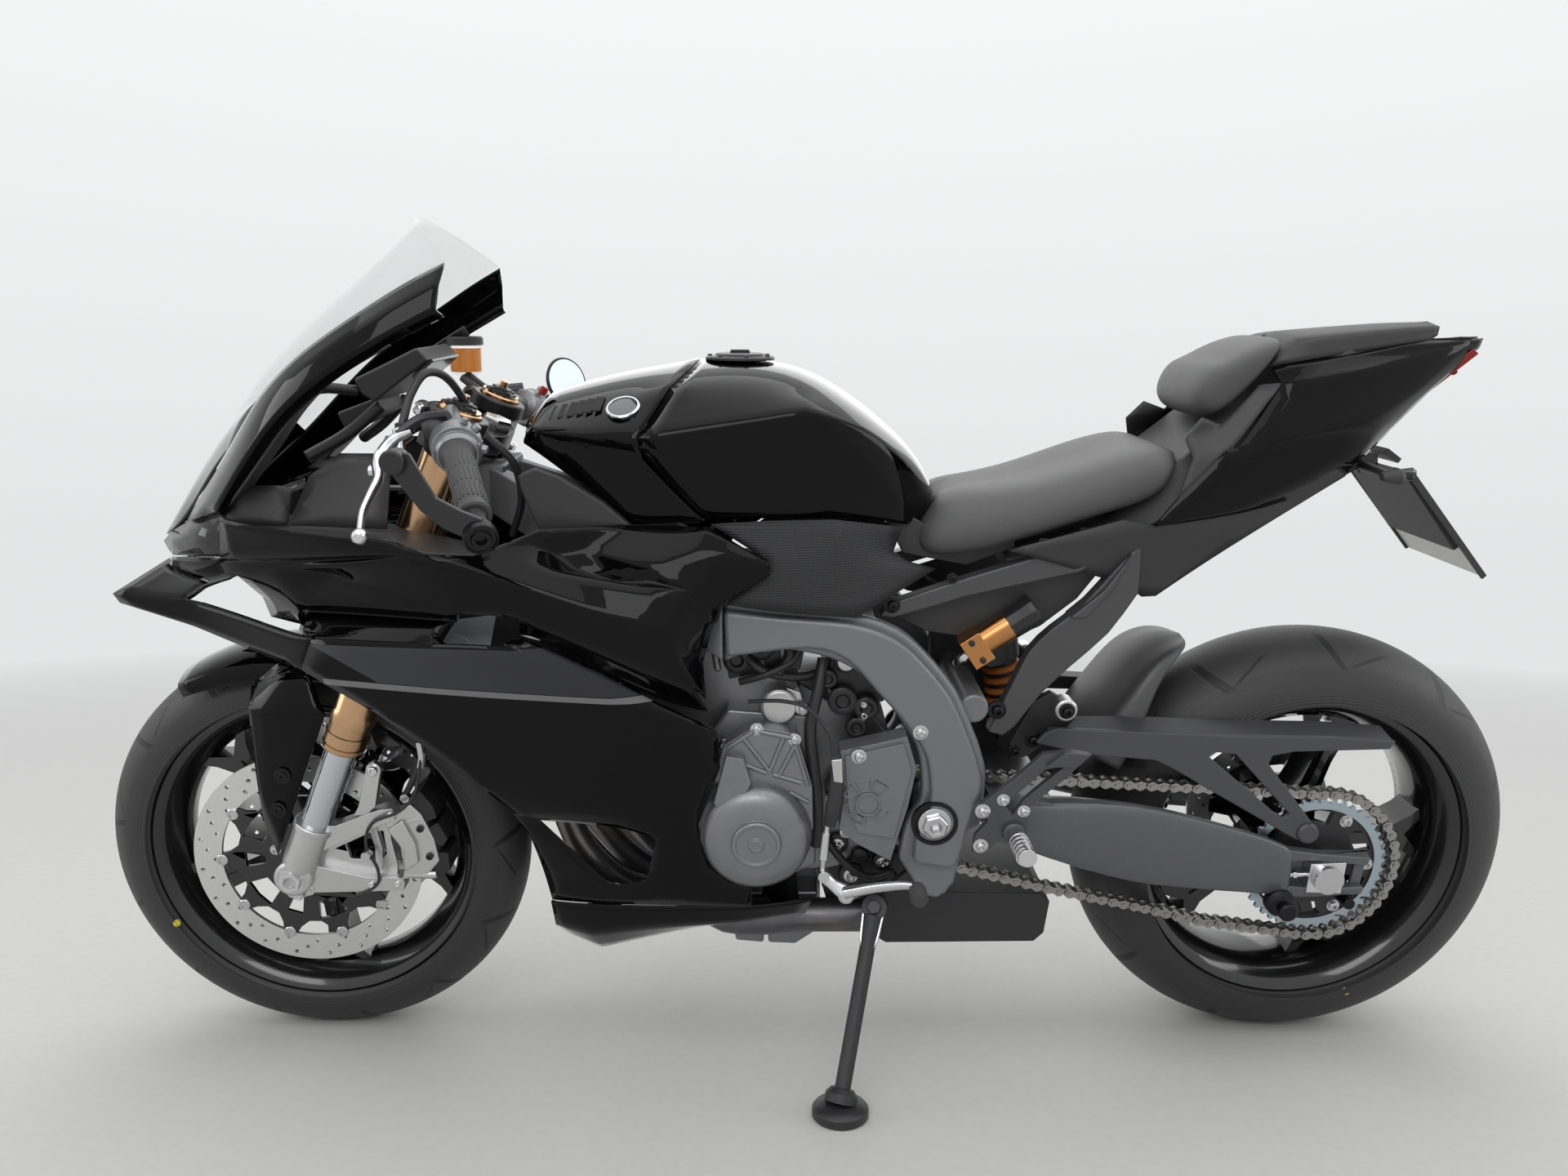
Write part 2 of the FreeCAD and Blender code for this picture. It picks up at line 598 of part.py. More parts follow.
def footrests():
    """Hanger plates with the rider's pegs."""
    plate = prism([(-214, 376), (-222, 446), (-296, 516), (-357, 516), (-276, 436), (-294, 374)], 175, 183)
    peg = rod(vec(-264, 182, 405), vec(-266, 258, 408), 13)
    mount = rod(vec(-220, 172, 430), vec(-220, 176, 430), 9)
    return both_sides(fuse([plate, peg, mount]))


def foot_levers():
    """Gear lever on the left and brake pedal on the right."""
    shift = bent_rod([vec(-52, 190, 326), vec(-128, 204, 336), vec(-138, 236, 328)], 7)
    link = bent_rod([vec(-52, 190, 326), vec(-30, 190, 404)], 5)
    brake = bent_rod([vec(-200, -194, 392), vec(-120, -196, 340), vec(-96, -222, 336)], 8)
    return Part.makeCompound([fuse([shift, link]), brake])


# ---------------------------------------------------------------- bodywork

def fuel_tank():
    table = [
        (206, 832, 905, 974, 120, 158, 66),
        (137, 816, 925, 996, 128, 168, 84),
        (60, 818, 935, 1000, 132, 172, 90),
        (-20, 820, 920, 984, 130, 162, 84),
        (-91, 812, 892, 924, 112, 124, 66),
        (-142, 818, 846, 862, 74, 84, 44),
    ]
    return loft(hull_sections(table))


def tank_cover():
    table = [
        (352, 896, 915, 946, 70, 122, 52),
        (278, 846, 914, 970, 110, 150, 62),
        (209, 824, 904, 976, 130, 162, 68),
    ]
    return loft(hull_sections(table))


def knee_covers():
    outline = [(133, 812), (-21, 815), (-112, 798), (-102, 767), (-118, 756), (-146, 740), (-51, 702), (55, 714),
               (100, 722), (60, 753), (62, 770)]
    return both_sides(prism(outline, 118, 158))


def rider_seat():
    table = [
        (-152, 752, 790, 812, 100, 112, 60),
        (-200, 748, 800, 836, 114, 124, 80),
        (-320, 800, 830, 860, 132, 142, 96),
        (-425, 838, 866, 896, 130, 142, 100),
        (-468, 872, 884, 896, 112, 126, 90),
    ]
    return loft(hull_sections(table))


def tail_pad():
    outline = [(-497, 999), (-483, 976), (-480, 953), (-492, 938), (-514, 942), (-564, 984), (-596, 1032),
               (-548, 1023), (-516, 1000)]
    return prism(outline, -92, 92)


def tail_fairing():
    table = [
        (-446, 818, 846, 868, 118, 134, 112),
        (-520, 838, 900, 932, 116, 132, 96),
        (-604, 858, 980, 1034, 96, 122, 84),
        (-700, 908, 996, 1044, 76, 100, 66),
        (-806, 975, 1020, 1050, 48, 64, 46),
        (-886, 1020, 1030, 1036, 30, 38, 30),
    ]
    body = loft(hull_sections(table)).cut(rider_seat()).cut(tail_light())
    return body.cut(prism([(-470, 925), (-482, 950), (-470, 1010), (-520, 1004), (-548, 1026), (-600, 1040),
                           (-567, 984), (-516, 939), (-494, 934)], -140, 140))


def tail_undertray():
    outline = [(-244, 772), (-384, 812), (-440, 812), (-582, 846), (-700, 900), (-690, 868), (-528, 762),
               (-450, 708), (-430, 708), (-406, 722), (-300, 752)]
    return prism(outline, -100, 100).cut(rider_seat()).cut(subframe())


def tail_light():
    return prism([(-812, 970), (-868, 1016), (-860, 1022), (-806, 982)], -34, 34)


def plate_bracket():
    """Arm under the tail with the lamp bar and the two rear indicators."""
    arm = prism([(-640, 826), (-695, 842), (-730, 868), (-768, 868), (-764, 884), (-722, 886), (-692, 872)], -22, 22)
    stalks = rod(vec(-738, -100, 866), vec(-738, 100, 866), 6)
    lamps = [rod(vec(-722, s * 104, 866), vec(-764, s * 104, 866), 12) for s in (-1, 1)]
    return fuse([arm.cut(tail_undertray()), stalks] + lamps)


def number_plate():
    """Blank plate, 180 wide and 180 tall, with its two screw holes."""
    plate = prism([(-772, 864), (-775, 866), (-893, 731), (-890, 728)], -90, 90)
    for y in (-60, 60):
        plate = plate.cut(rod(vec(-760, y, 862), vec(-860, y, 774), 3))
    return plate


def upper_fairings():
    """Side panels from the nose back to the tank: x, z, y around the rim."""
    rim_table = [
        (846, 745, 62), (735, 818, 150), (627, 804, 200), (498, 804, 232), (402, 786, 236), (344, 806, 200),
        (222, 812, 192), (138, 806, 188), (62, 768, 180), (62, 750, 180), (114, 720, 184), (138, 640, 188),
        (134, 590, 196), (376, 684, 240), (513, 682, 232), (604, 684, 218), (691, 690, 190), (724, 727, 172),
        (795, 706, 130),
    ]
    return both_sides(fan_panel(rim_table, (430, 752, 242), SKIN))


def winglets():
    """Small wings ahead of the fairing, held at both ends."""
    rim_table = [
        (910, 701, 104), (850, 706, 116), (790, 706, 140), (726, 692, 172), (679, 683, 192), (608, 678, 216),
        (622, 641, 212), (741, 648, 164), (857, 677, 122),
    ]
    return both_sides(fan_panel(rim_table, (730, 670, 176), SKIN))


def lower_fairings():
    """Large side panels down to the belly, with the opening over the header pipes."""
    rim_table = [
        (372, 676, 240), (271, 626, 220), (199, 584, 210), (126, 541, 200), (116, 532, 192), (120, 500, 188),
        (148, 440, 186), (156, 394, 184), (140, 350, 182), (111, 326, 180), (79, 318, 178), (79, 294, 176),
        (209, 294, 172), (307, 286, 158), (352, 282, 140), (360, 336, 150), (371, 387, 165), (388, 428, 180),
        (428, 479, 200), (484, 530, 206), (539, 577, 208), (582, 606, 210), (618, 636, 212), (604, 674, 218),
        (513, 674, 231),
    ]
    panel = fan_panel(rim_table, (220, 360, 192), SKIN)
    opening = prism([(350, 408), (256, 402), (212, 390), (226, 338), (262, 330)], 60, 300)
    return both_sides(panel.cut(opening))


def belly_pan():
    """Open trough under the engine."""
    outline = [(354, 273), (350, 234), (332, 192), (294, 182), (240, 182), (211, 208), (158, 227), (30, 240),
               (-4, 262), (-4, 284), (79, 288), (209, 288), (307, 281)]
    inside = [(370, 300), (344, 236), (328, 197), (292, 187), (242, 187), (213, 213), (205, 100), (-10, 100),
              (-10, 300)]
    return prism(outline, -140, 140).cut(prism(inside, -140 + SKIN, 140 - SKIN))


def nose_cowl():
    """Nose and the two bands that rise beside the screen."""
    edge = [(828, 786, 58), (780, 838, 90), (732, 885, 118), (657, 970, 152), (578, 1030, 158), (482, 1091, 146),
            (441, 1112, 138)]
    skirt = [(846, 752, 64), (800, 782, 108), (737, 824, 150), (660, 916, 192), (570, 990, 195), (482, 1044, 180),
             (436, 1098, 152)]
    inner = [[vec(x, y, z) for x, z, y in row] for row in (edge, skirt)]
    band = sheet(inner, vec(-3.5, -3, -2))
    tip = loft([[vec(882, 12, 762), vec(882, -12, 762), vec(870, -14, 742), vec(870, 14, 742)],
                [vec(826, 60, 792), vec(826, -60, 792), vec(826, -72, 760), vec(826, 72, 760)],
                [vec(744, 112, 872), vec(744, -112, 872), vec(744, -108, 858), vec(744, 108, 858)]])
    lid_front = [(878, 766), (801, 883), (744, 940)]
    lid_half = [14, 84, 112]
    grid = []
    for (x, z), half, drop in zip(lid_front, lid_half, (4, 40, 55)):
        grid.append([vec(x - 6, y * half, z - drop * abs(y) ** 2) for y in (-1, -0.5, 0, 0.5, 1)])
    lid = sheet(grid, vec(-4, 0, -4))
    return Part.makeCompound([fuse([band, mirrored(band), tip, lid])])


def windscreen():
    """Clear screen, highest along its middle: rows of x, z on the middle line and x, z, y at its edge."""
    table = [
        (508, 1168, 445, 1116, 134), (542, 1139, 486, 1094, 140), (625, 1064, 580, 1034, 150),
        (720, 976, 662, 974, 144), (742, 946, 734, 892, 108),
    ]
    grid = []
    for x, z, edge_x, edge_z, half in table:
        line = []
        for share in (-1, -0.7, -0.35, 0, 0.35, 0.7, 1):
            drop = abs(share) ** 2.2
            line.append(vec(x + (edge_x - x) * drop, half * share, z + (edge_z - z) * drop))
        grid.append(line)
    return sheet(grid, vec(-2.5, 0, -2.5))


def inner_cowl():
    """Matt inner walls beside the instruments and the arms down to the tank."""
    wall = prism([(706, 814), (696, 850), (640, 876), (540, 870), (534, 814)], 142, 147)
    arm = prism([(370, 880), (344, 876), (228, 806), (334, 803), (346, 833), (358, 858)], 150, 156)
    return Part.makeCompound([wall, mirrored(wall), arm, mirrored(arm)])


def headlight():
    sections = [
        [vec(852, 26, 744), vec(852, -26, 744), vec(846, -22, 730), vec(846, 22, 730)],
        [vec(800, 66, 752), vec(800, -66, 752), vec(800, -62, 728), vec(800, 62, 728)],
        [vec(740, 96, 790), vec(740, -96, 790), vec(740, -92, 726), vec(740, 92, 726)],
    ]
    return loft(sections)


def instrument_panel():
    outline = [(584, 975), (503, 1014), (489, 998), (560, 950), (574, 956)]
    return prism(outline, -70, 70)


# ---------------------------------------------------------------- writing the pieces

PIECES = {
    "main_frame": main_frame,
    "engine_block": engine_block,
    "exhaust": exhaust,
    "radiator": radiator,
    "fuel_tank": fuel_tank,
    "tank_cover": tank_cover,
    "knee_covers": knee_covers,
    "rider_seat": rider_seat,
    "tail_pad": tail_pad,
    "tail_fairing": tail_fairing,
    "tail_undertray": tail_undertray,
    "tail_light": tail_light,
    "plate_bracket": plate_bracket,
    "number_plate": number_plate,
    "subframe": subframe,
    "upper_fairings": upper_fairings,
    "winglets": winglets,
    "lower_fairings": lower_fairings,
    "belly_pan": belly_pan,
    "nose_cowl": nose_cowl,
    "windscreen": windscreen,
    "inner_cowl": inner_cowl,
    "headlight": headlight,
    "instrument_panel": instrument_panel,
    "swingarm": swingarm,
    "rear_axle": rear_axle,
    "rear_shock": rear_shock,
    "rear_hugger": rear_hugger,
    "drive_chain": drive_chain,
    "rear_caliper": rear_caliper,
    "footrests": footrests,
    "foot_levers": foot_levers,
    "fork_tubes": fork_tubes,
    "fork_stanchions": fork_stanchions,
    "fork_bottoms": fork_bottoms,
    "front_axle": front_axle,
    "front_calipers": front_calipers,
    "triple_clamps": triple_clamps,
    "handlebars": handlebars,
    "grips": grips,
    "hand_levers": hand_levers,
    "lever_guard": lever_guard,
    "brake_reservoir": brake_reservoir,
    "bar_end_mirror": bar_end_mirror,
    "front_fender": front_fender,
    "brake_hoses": brake_hoses,
    "front_tyre": lambda: tyre(FRONT_AXLE, FRONT_TYRE),
    "front_rim": lambda: rim(FRONT_AXLE, FRONT_TYRE, FRONT_DISC["low"] - 4, 33),
    "front_discs": front_discs,
    "rear_tyre": lambda: tyre(REAR_AXLE, REAR_TYRE),
    "rear_rim": lambda: rim(REAR_AXLE, REAR_TYRE, 74, 40),
    "rear_sprocket": rear_sprocket,
    "rear_disc": rear_disc,
    "stand_leg": stand_leg,
    "stand_puck": stand_puck,
}


def parked(shape):
    """The upright drawing, leaned onto its stand and centred."""
    leaning = shape.copy()
    leaning.rotate(ORIGIN, vec(1, 0, 0), -LEAN)
    leaning.translate(vec(-ROW_CENTRE[0], -ROW_CENTRE[1], 0))
    return leaning


def main():
    os.makedirs("parts", exist_ok=True)
    for name, make in PIECES.items():
        parked(make()).exportStep(os.path.join("parts", name + ".step"))


main()
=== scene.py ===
import sys
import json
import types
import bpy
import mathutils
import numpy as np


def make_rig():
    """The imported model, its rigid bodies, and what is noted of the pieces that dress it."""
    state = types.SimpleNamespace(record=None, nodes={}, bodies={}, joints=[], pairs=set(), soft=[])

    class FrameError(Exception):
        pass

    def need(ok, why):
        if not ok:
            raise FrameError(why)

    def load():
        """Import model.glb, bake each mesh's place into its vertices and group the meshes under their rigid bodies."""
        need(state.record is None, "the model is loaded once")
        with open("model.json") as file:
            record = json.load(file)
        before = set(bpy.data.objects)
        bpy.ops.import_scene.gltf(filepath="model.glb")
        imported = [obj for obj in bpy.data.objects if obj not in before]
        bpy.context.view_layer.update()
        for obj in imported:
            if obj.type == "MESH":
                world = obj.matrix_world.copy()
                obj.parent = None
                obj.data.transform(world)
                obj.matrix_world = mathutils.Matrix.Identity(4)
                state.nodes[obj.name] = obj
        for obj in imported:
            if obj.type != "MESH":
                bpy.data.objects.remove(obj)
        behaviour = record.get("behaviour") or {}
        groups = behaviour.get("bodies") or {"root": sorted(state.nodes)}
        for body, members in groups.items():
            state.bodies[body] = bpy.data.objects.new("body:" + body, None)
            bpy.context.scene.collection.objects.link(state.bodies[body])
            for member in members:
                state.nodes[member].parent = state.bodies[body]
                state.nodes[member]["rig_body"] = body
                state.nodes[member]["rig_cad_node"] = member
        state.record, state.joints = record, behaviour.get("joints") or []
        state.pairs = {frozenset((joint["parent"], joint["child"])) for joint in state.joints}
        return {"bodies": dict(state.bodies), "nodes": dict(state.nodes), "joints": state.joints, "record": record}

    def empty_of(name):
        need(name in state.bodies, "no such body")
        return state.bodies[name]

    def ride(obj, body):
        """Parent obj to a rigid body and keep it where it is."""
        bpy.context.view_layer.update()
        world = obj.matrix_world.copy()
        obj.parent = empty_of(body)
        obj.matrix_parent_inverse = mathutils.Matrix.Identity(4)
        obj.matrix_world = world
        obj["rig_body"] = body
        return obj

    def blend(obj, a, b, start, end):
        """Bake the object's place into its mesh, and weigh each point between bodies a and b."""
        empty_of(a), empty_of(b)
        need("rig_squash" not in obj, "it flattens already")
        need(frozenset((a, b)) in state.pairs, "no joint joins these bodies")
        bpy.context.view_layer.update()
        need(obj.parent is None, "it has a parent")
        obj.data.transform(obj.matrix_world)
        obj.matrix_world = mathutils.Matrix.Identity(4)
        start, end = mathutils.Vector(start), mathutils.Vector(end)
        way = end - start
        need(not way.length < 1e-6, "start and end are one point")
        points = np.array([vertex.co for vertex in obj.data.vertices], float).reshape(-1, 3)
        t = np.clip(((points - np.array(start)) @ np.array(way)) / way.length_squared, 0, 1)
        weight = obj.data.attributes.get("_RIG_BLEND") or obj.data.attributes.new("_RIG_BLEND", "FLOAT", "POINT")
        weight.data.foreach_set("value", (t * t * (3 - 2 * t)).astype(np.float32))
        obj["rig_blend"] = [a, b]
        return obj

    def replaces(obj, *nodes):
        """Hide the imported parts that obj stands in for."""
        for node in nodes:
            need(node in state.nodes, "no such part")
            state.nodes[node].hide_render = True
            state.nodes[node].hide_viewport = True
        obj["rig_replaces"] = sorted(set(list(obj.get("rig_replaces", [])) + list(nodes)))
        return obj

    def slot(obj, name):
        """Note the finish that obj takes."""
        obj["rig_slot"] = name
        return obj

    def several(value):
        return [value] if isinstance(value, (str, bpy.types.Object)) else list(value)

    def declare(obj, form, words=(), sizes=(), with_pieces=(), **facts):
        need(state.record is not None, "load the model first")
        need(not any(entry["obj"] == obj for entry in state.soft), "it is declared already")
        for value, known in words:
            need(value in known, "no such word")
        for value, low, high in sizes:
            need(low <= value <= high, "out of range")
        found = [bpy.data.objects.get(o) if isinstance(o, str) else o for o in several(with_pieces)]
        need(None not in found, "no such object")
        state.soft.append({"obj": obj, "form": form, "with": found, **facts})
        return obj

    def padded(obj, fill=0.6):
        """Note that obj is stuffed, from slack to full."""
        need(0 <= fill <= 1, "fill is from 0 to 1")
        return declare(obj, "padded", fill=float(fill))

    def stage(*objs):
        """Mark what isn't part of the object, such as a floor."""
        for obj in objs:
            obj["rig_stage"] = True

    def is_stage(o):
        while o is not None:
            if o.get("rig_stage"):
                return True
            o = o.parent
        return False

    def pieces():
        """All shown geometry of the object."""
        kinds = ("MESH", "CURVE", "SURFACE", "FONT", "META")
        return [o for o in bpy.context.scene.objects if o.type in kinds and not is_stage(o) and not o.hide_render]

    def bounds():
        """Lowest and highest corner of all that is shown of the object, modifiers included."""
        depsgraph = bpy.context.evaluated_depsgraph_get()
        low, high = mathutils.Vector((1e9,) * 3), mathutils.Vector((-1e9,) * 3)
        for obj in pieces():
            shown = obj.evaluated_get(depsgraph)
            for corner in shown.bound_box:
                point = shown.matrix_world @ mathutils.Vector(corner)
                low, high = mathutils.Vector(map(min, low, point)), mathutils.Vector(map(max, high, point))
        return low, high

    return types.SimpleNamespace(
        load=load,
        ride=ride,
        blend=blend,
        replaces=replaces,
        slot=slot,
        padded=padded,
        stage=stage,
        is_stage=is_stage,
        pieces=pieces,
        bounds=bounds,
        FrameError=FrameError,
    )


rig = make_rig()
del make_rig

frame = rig.load()

import json
import math

import bmesh
import bpy
from mathutils import Matrix, Vector
from mathutils.geometry import tessellate_polygon

bl_info = {"name": "Parked sport motorcycle", "version": (1, 0, 0), "blender": (4, 5, 0),
           "location": "3D View > Sidebar > Motorcycle", "category": "Object",
           "description": "Bodywork, wheels, running gear and finishes of a sport motorcycle on its stand"}

CAD_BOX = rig.bounds()
JOINTS = {joint["name"]: joint for joint in frame["joints"]}
FRONT_HUB, REAR_HUB = (Vector(JOINTS[end + "_wheel_spin"]["pos_m"]) for end in ("front", "rear"))
AXLE_LINE = Vector(JOINTS["front_wheel_spin"]["axis"])
LEAN = math.atan2(-AXLE_LINE.z, AXLE_LINE.y)
WHEELBASE = FRONT_HUB.x - REAR_HUB.x
RAKE = math.radians(22.58)
MM = 0.001

# Everything below is drawn upright in millimetres: x to the front, y to the rider's left, z up from the
# ground midway between the axles. PARK leans a drawing onto the side stand, in metres.
FRONT_AXLE = (WHEELBASE / 2 / MM, 301.3)
REAR_AXLE = (-WHEELBASE / 2 / MM, 317.1)
SWING_PIVOT = (-162, 412)
GENERATOR = (73, 394)
DRIVE_SHAFT = (-74, 436)
LEAN_TURN = Matrix.Rotation(-LEAN, 4, "X")
FOOT = FRONT_HUB - LEAN_TURN @ Vector((FRONT_AXLE[0] * MM, 0, FRONT_AXLE[1] * MM))
PARK = Matrix.Translation((FOOT.x, FOOT.y, 0)) @ LEAN_TURN @ Matrix.Scale(MM, 4)
UP = Vector((0, 0, 1))
SIDE = Vector((0, 1, 0))
AHEAD = Vector((1, 0, 0))
SIDES = (1, -1)
FULL_TURN = 2 * math.pi


# ------------------------------------------------------------------ tables written as text

def at(text):
    """Points: spaces between the numbers of a point, commas between points."""
    return [tuple(float(number) for number in point.split()) for point in text.split(",")]


def sheet(text):
    """Rows of points, with semicolons between the rows."""
    return [at(row) for row in text.split(";")]


def named(text):
    """Numbers by name, with commas between the names. A line that starts with # is a remark."""
    told = " ".join(line for line in text.splitlines() if not line.strip().startswith("#"))
    return {name: tuple(float(number) for number in numbers)
            for name, *numbers in (entry.split() for entry in told.split(","))}


def pairs(text):
    """Words by the word before them, with commas between the pairs."""
    return dict(pair.split() for pair in text.split(","))


def on_axis(centre, y=0.0):
    """The place at y on the sideways axis through a centre (x, z)."""
    return centre[0], y, centre[1]


def ray(angle):
    """The direction at an angle above AHEAD, seen from the side."""
    return Vector((math.cos(angle), 0, math.sin(angle)))


def around(centre, radius, angle):
    """The point (x, z) of a circle at an angle in radians, counted from the front over the top."""
    return centre[0] + radius * math.cos(angle), centre[1] + radius * math.sin(angle)


# ------------------------------------------------------------------ nodes

class Value:
    """An output of a node tree that can be used in plain arithmetic."""

    def __init__(self, graph, socket):
        self.graph = graph
        self.socket = socket

    def port(self, key):
        """Another output of the same node, by name or place."""
        return Value(self.graph, self.socket.node.outputs[key])

    def maths(self, operation, *others):
        return self.graph.node("ShaderNodeMath", {"operation": operation}, self, *others)

    def __add__(self, other): return self.maths("ADD", other)
    def __radd__(self, other): return self.maths("ADD", other)
    def __sub__(self, other): return self.maths("SUBTRACT", other)
    def __mul__(self, other): return self.maths("MULTIPLY", other)
    def __rmul__(self, other): return self.maths("MULTIPLY", other)
    def __truediv__(self, other): return self.maths("DIVIDE", other)
    def __gt__(self, other): return self.maths("GREATER_THAN", other)
    def __lt__(self, other): return self.maths("LESS_THAN", other)

    def __rsub__(self, other):
        return self.graph.node("ShaderNodeMath", {"operation": "SUBTRACT"}, other, self)


class Graph:
    """A node tree to which one method adds every node."""

    def __init__(self, tree):
        self.tree = tree

    def node(self, kind, settings=None, *values, **inputs):
        """A node from its type, its settings and its inputs, in order or by name: its first live output."""
        made = self.tree.nodes.new(kind)
        for key, value in (settings or {}).items():
            if key == "stops":
                ramp = made.color_ramp
                while len(ramp.elements) < len(value):
                    ramp.elements.new(1.0)
                for element, (share, colour) in zip(ramp.elements, value):
                    element.position = share
                    element.color = (*colour, 1.0)
            else:
                setattr(made, key, value)
        live = [socket for socket in made.inputs if socket.enabled]
        by_name = {socket.name.replace(" ", "_"): socket for socket in reversed(live)}
        for socket, value in [*zip(live, values), *((by_name[key], value) for key, value in inputs.items())]:
            self.feed(socket, value)
        return Value(self, next((socket for socket in made.outputs if socket.enabled), None))

    def feed(self, socket, value):
        """Links a value to an input, or each of a list of values, or sets its number, word or colour."""
        for one in value if isinstance(value, list) else [value]:
            if isinstance(one, Value):
                self.tree.links.new(one.socket, socket)
            elif socket.type == "RGBA":
                socket.default_value = (*one, 1.0)
            else:
                socket.default_value = one

    def seen(self):
        """1 for rays from the camera, from a mirror or through glass."""
        path = self.node("ShaderNodeLightPath")
        camera, mirrored, through = (path.port(f"Is {kind} Ray")
                                     for kind in ("Camera", "Glossy", "Transmission"))
        return camera.maths("MAXIMUM", mirrored).maths("MAXIMUM", through)


class Finish(Graph):
    """One material: its nodes, its surface and the places that a pattern is measured from."""

    def __init__(self, name):
        self.name = name
        self.material = bpy.data.materials.new(name)
        self.material.use_nodes = True
        super().__init__(self.material.node_tree)
        self.surface = self.tree.nodes["Principled BSDF"]
        self.output = self.tree.nodes["Material Output"]

    def place(self):
        return self.node("ShaderNodeTexCoord").port("Object")

    def upright(self, centre=(0, 0, 0)):
        """Place in the upright drawing, in metres, counted from a point of that drawing."""
        start = LEAN_TURN.inverted() @ (PARK @ Vector(centre))
        turned = self.node("ShaderNodeMapping", {"vector_type": "POINT"}, self.place(),
                           Location=tuple(-start), Rotation=(LEAN, 0, 0))
        parts = self.node("ShaderNodeSeparateXYZ", None, turned)
        return [parts.port(index) for index in range(3)]

    def noise(self, scale, detail=2.0, rough=0.5):
        return self.node("ShaderNodeTexNoise", Vector=self.place(), Scale=scale, Detail=detail,
                         Roughness=rough)

    def steps(self, value, low, high, low_to=0.0, high_to=1.0):
        """The value with one range stretched to another."""
        return self.node("ShaderNodeMapRange", None, value, low, high, low_to, high_to)

    def blend(self, share, first, second):
        return self.node("ShaderNodeMix", {"data_type": "RGBA"}, share, first, second)

    def bump(self, height, strength, distance):
        self.set(Normal=self.node("ShaderNodeBump", Height=height, Strength=strength, Distance=distance))

    def set(self, **ports):
        for key, value in ports.items():
            self.feed(self.surface.inputs[key.replace("_", " ")], value)
        return self


class Tree(Graph):
    """A geometry node tree with named inputs."""

    def __init__(self, name, **inputs):
        super().__init__(bpy.data.node_groups.new(name, "GeometryNodeTree"))
        for key, kind in (("Geometry", "Geometry"), *inputs.items()):
            self.tree.interface.new_socket(key.replace("_", " "), in_out="INPUT",
                                           socket_type="NodeSocket" + kind)
        self.tree.interface.new_socket("Geometry", in_out="OUTPUT", socket_type="NodeSocketGeometry")
        self.start = self.node("NodeGroupInput")

    def given(self, name):
        return self.start.port(name)

    def close(self, geometry):
        """Ends the tree: copies made real and one finish set."""
        real = self.node("GeometryNodeRealizeInstances", None, geometry)
        painted = self.node("GeometryNodeSetMaterial", Geometry=real, Material=self.given("Finish"))
        self.node("NodeGroupOutput", None, painted)
        return self

    def apply(self, source, name, paint, turn=True, **values):
        """Runs the tree over an object, which its result takes the place of as a plain mesh."""
        modifier = source.modifiers.new(name, "NODES")
        modifier.node_group = self.tree
        sockets = {item.name: item.identifier for item in self.tree.interface.items_tree
                   if item.item_type == "SOCKET" and item.in_out == "INPUT"}
        for key, value in {**values, "Finish": PAINT[paint]}.items():
            modifier[sockets[key.replace("_", " ")]] = value
        bpy.context.view_layer.update()
        shown = source.evaluated_get(bpy.context.evaluated_depsgraph_get())
        mesh = bpy.data.meshes.new_from_object(shown)
        source.modifiers.remove(modifier)
        bpy.data.objects.remove(source)
        if turn:
            mesh.transform(PARK)
        mesh.name = name
        made = show(name, mesh)
        shade(made)
        return made


# ------------------------------------------------------------------ finishes

PAINT = {}

LACQUER = {"Roughness": 0.06, "Specular_IOR_Level": 0.03, "Coat_Weight": 1.0, "Coat_IOR": 1.24,
           "Coat_Roughness": 0.012}

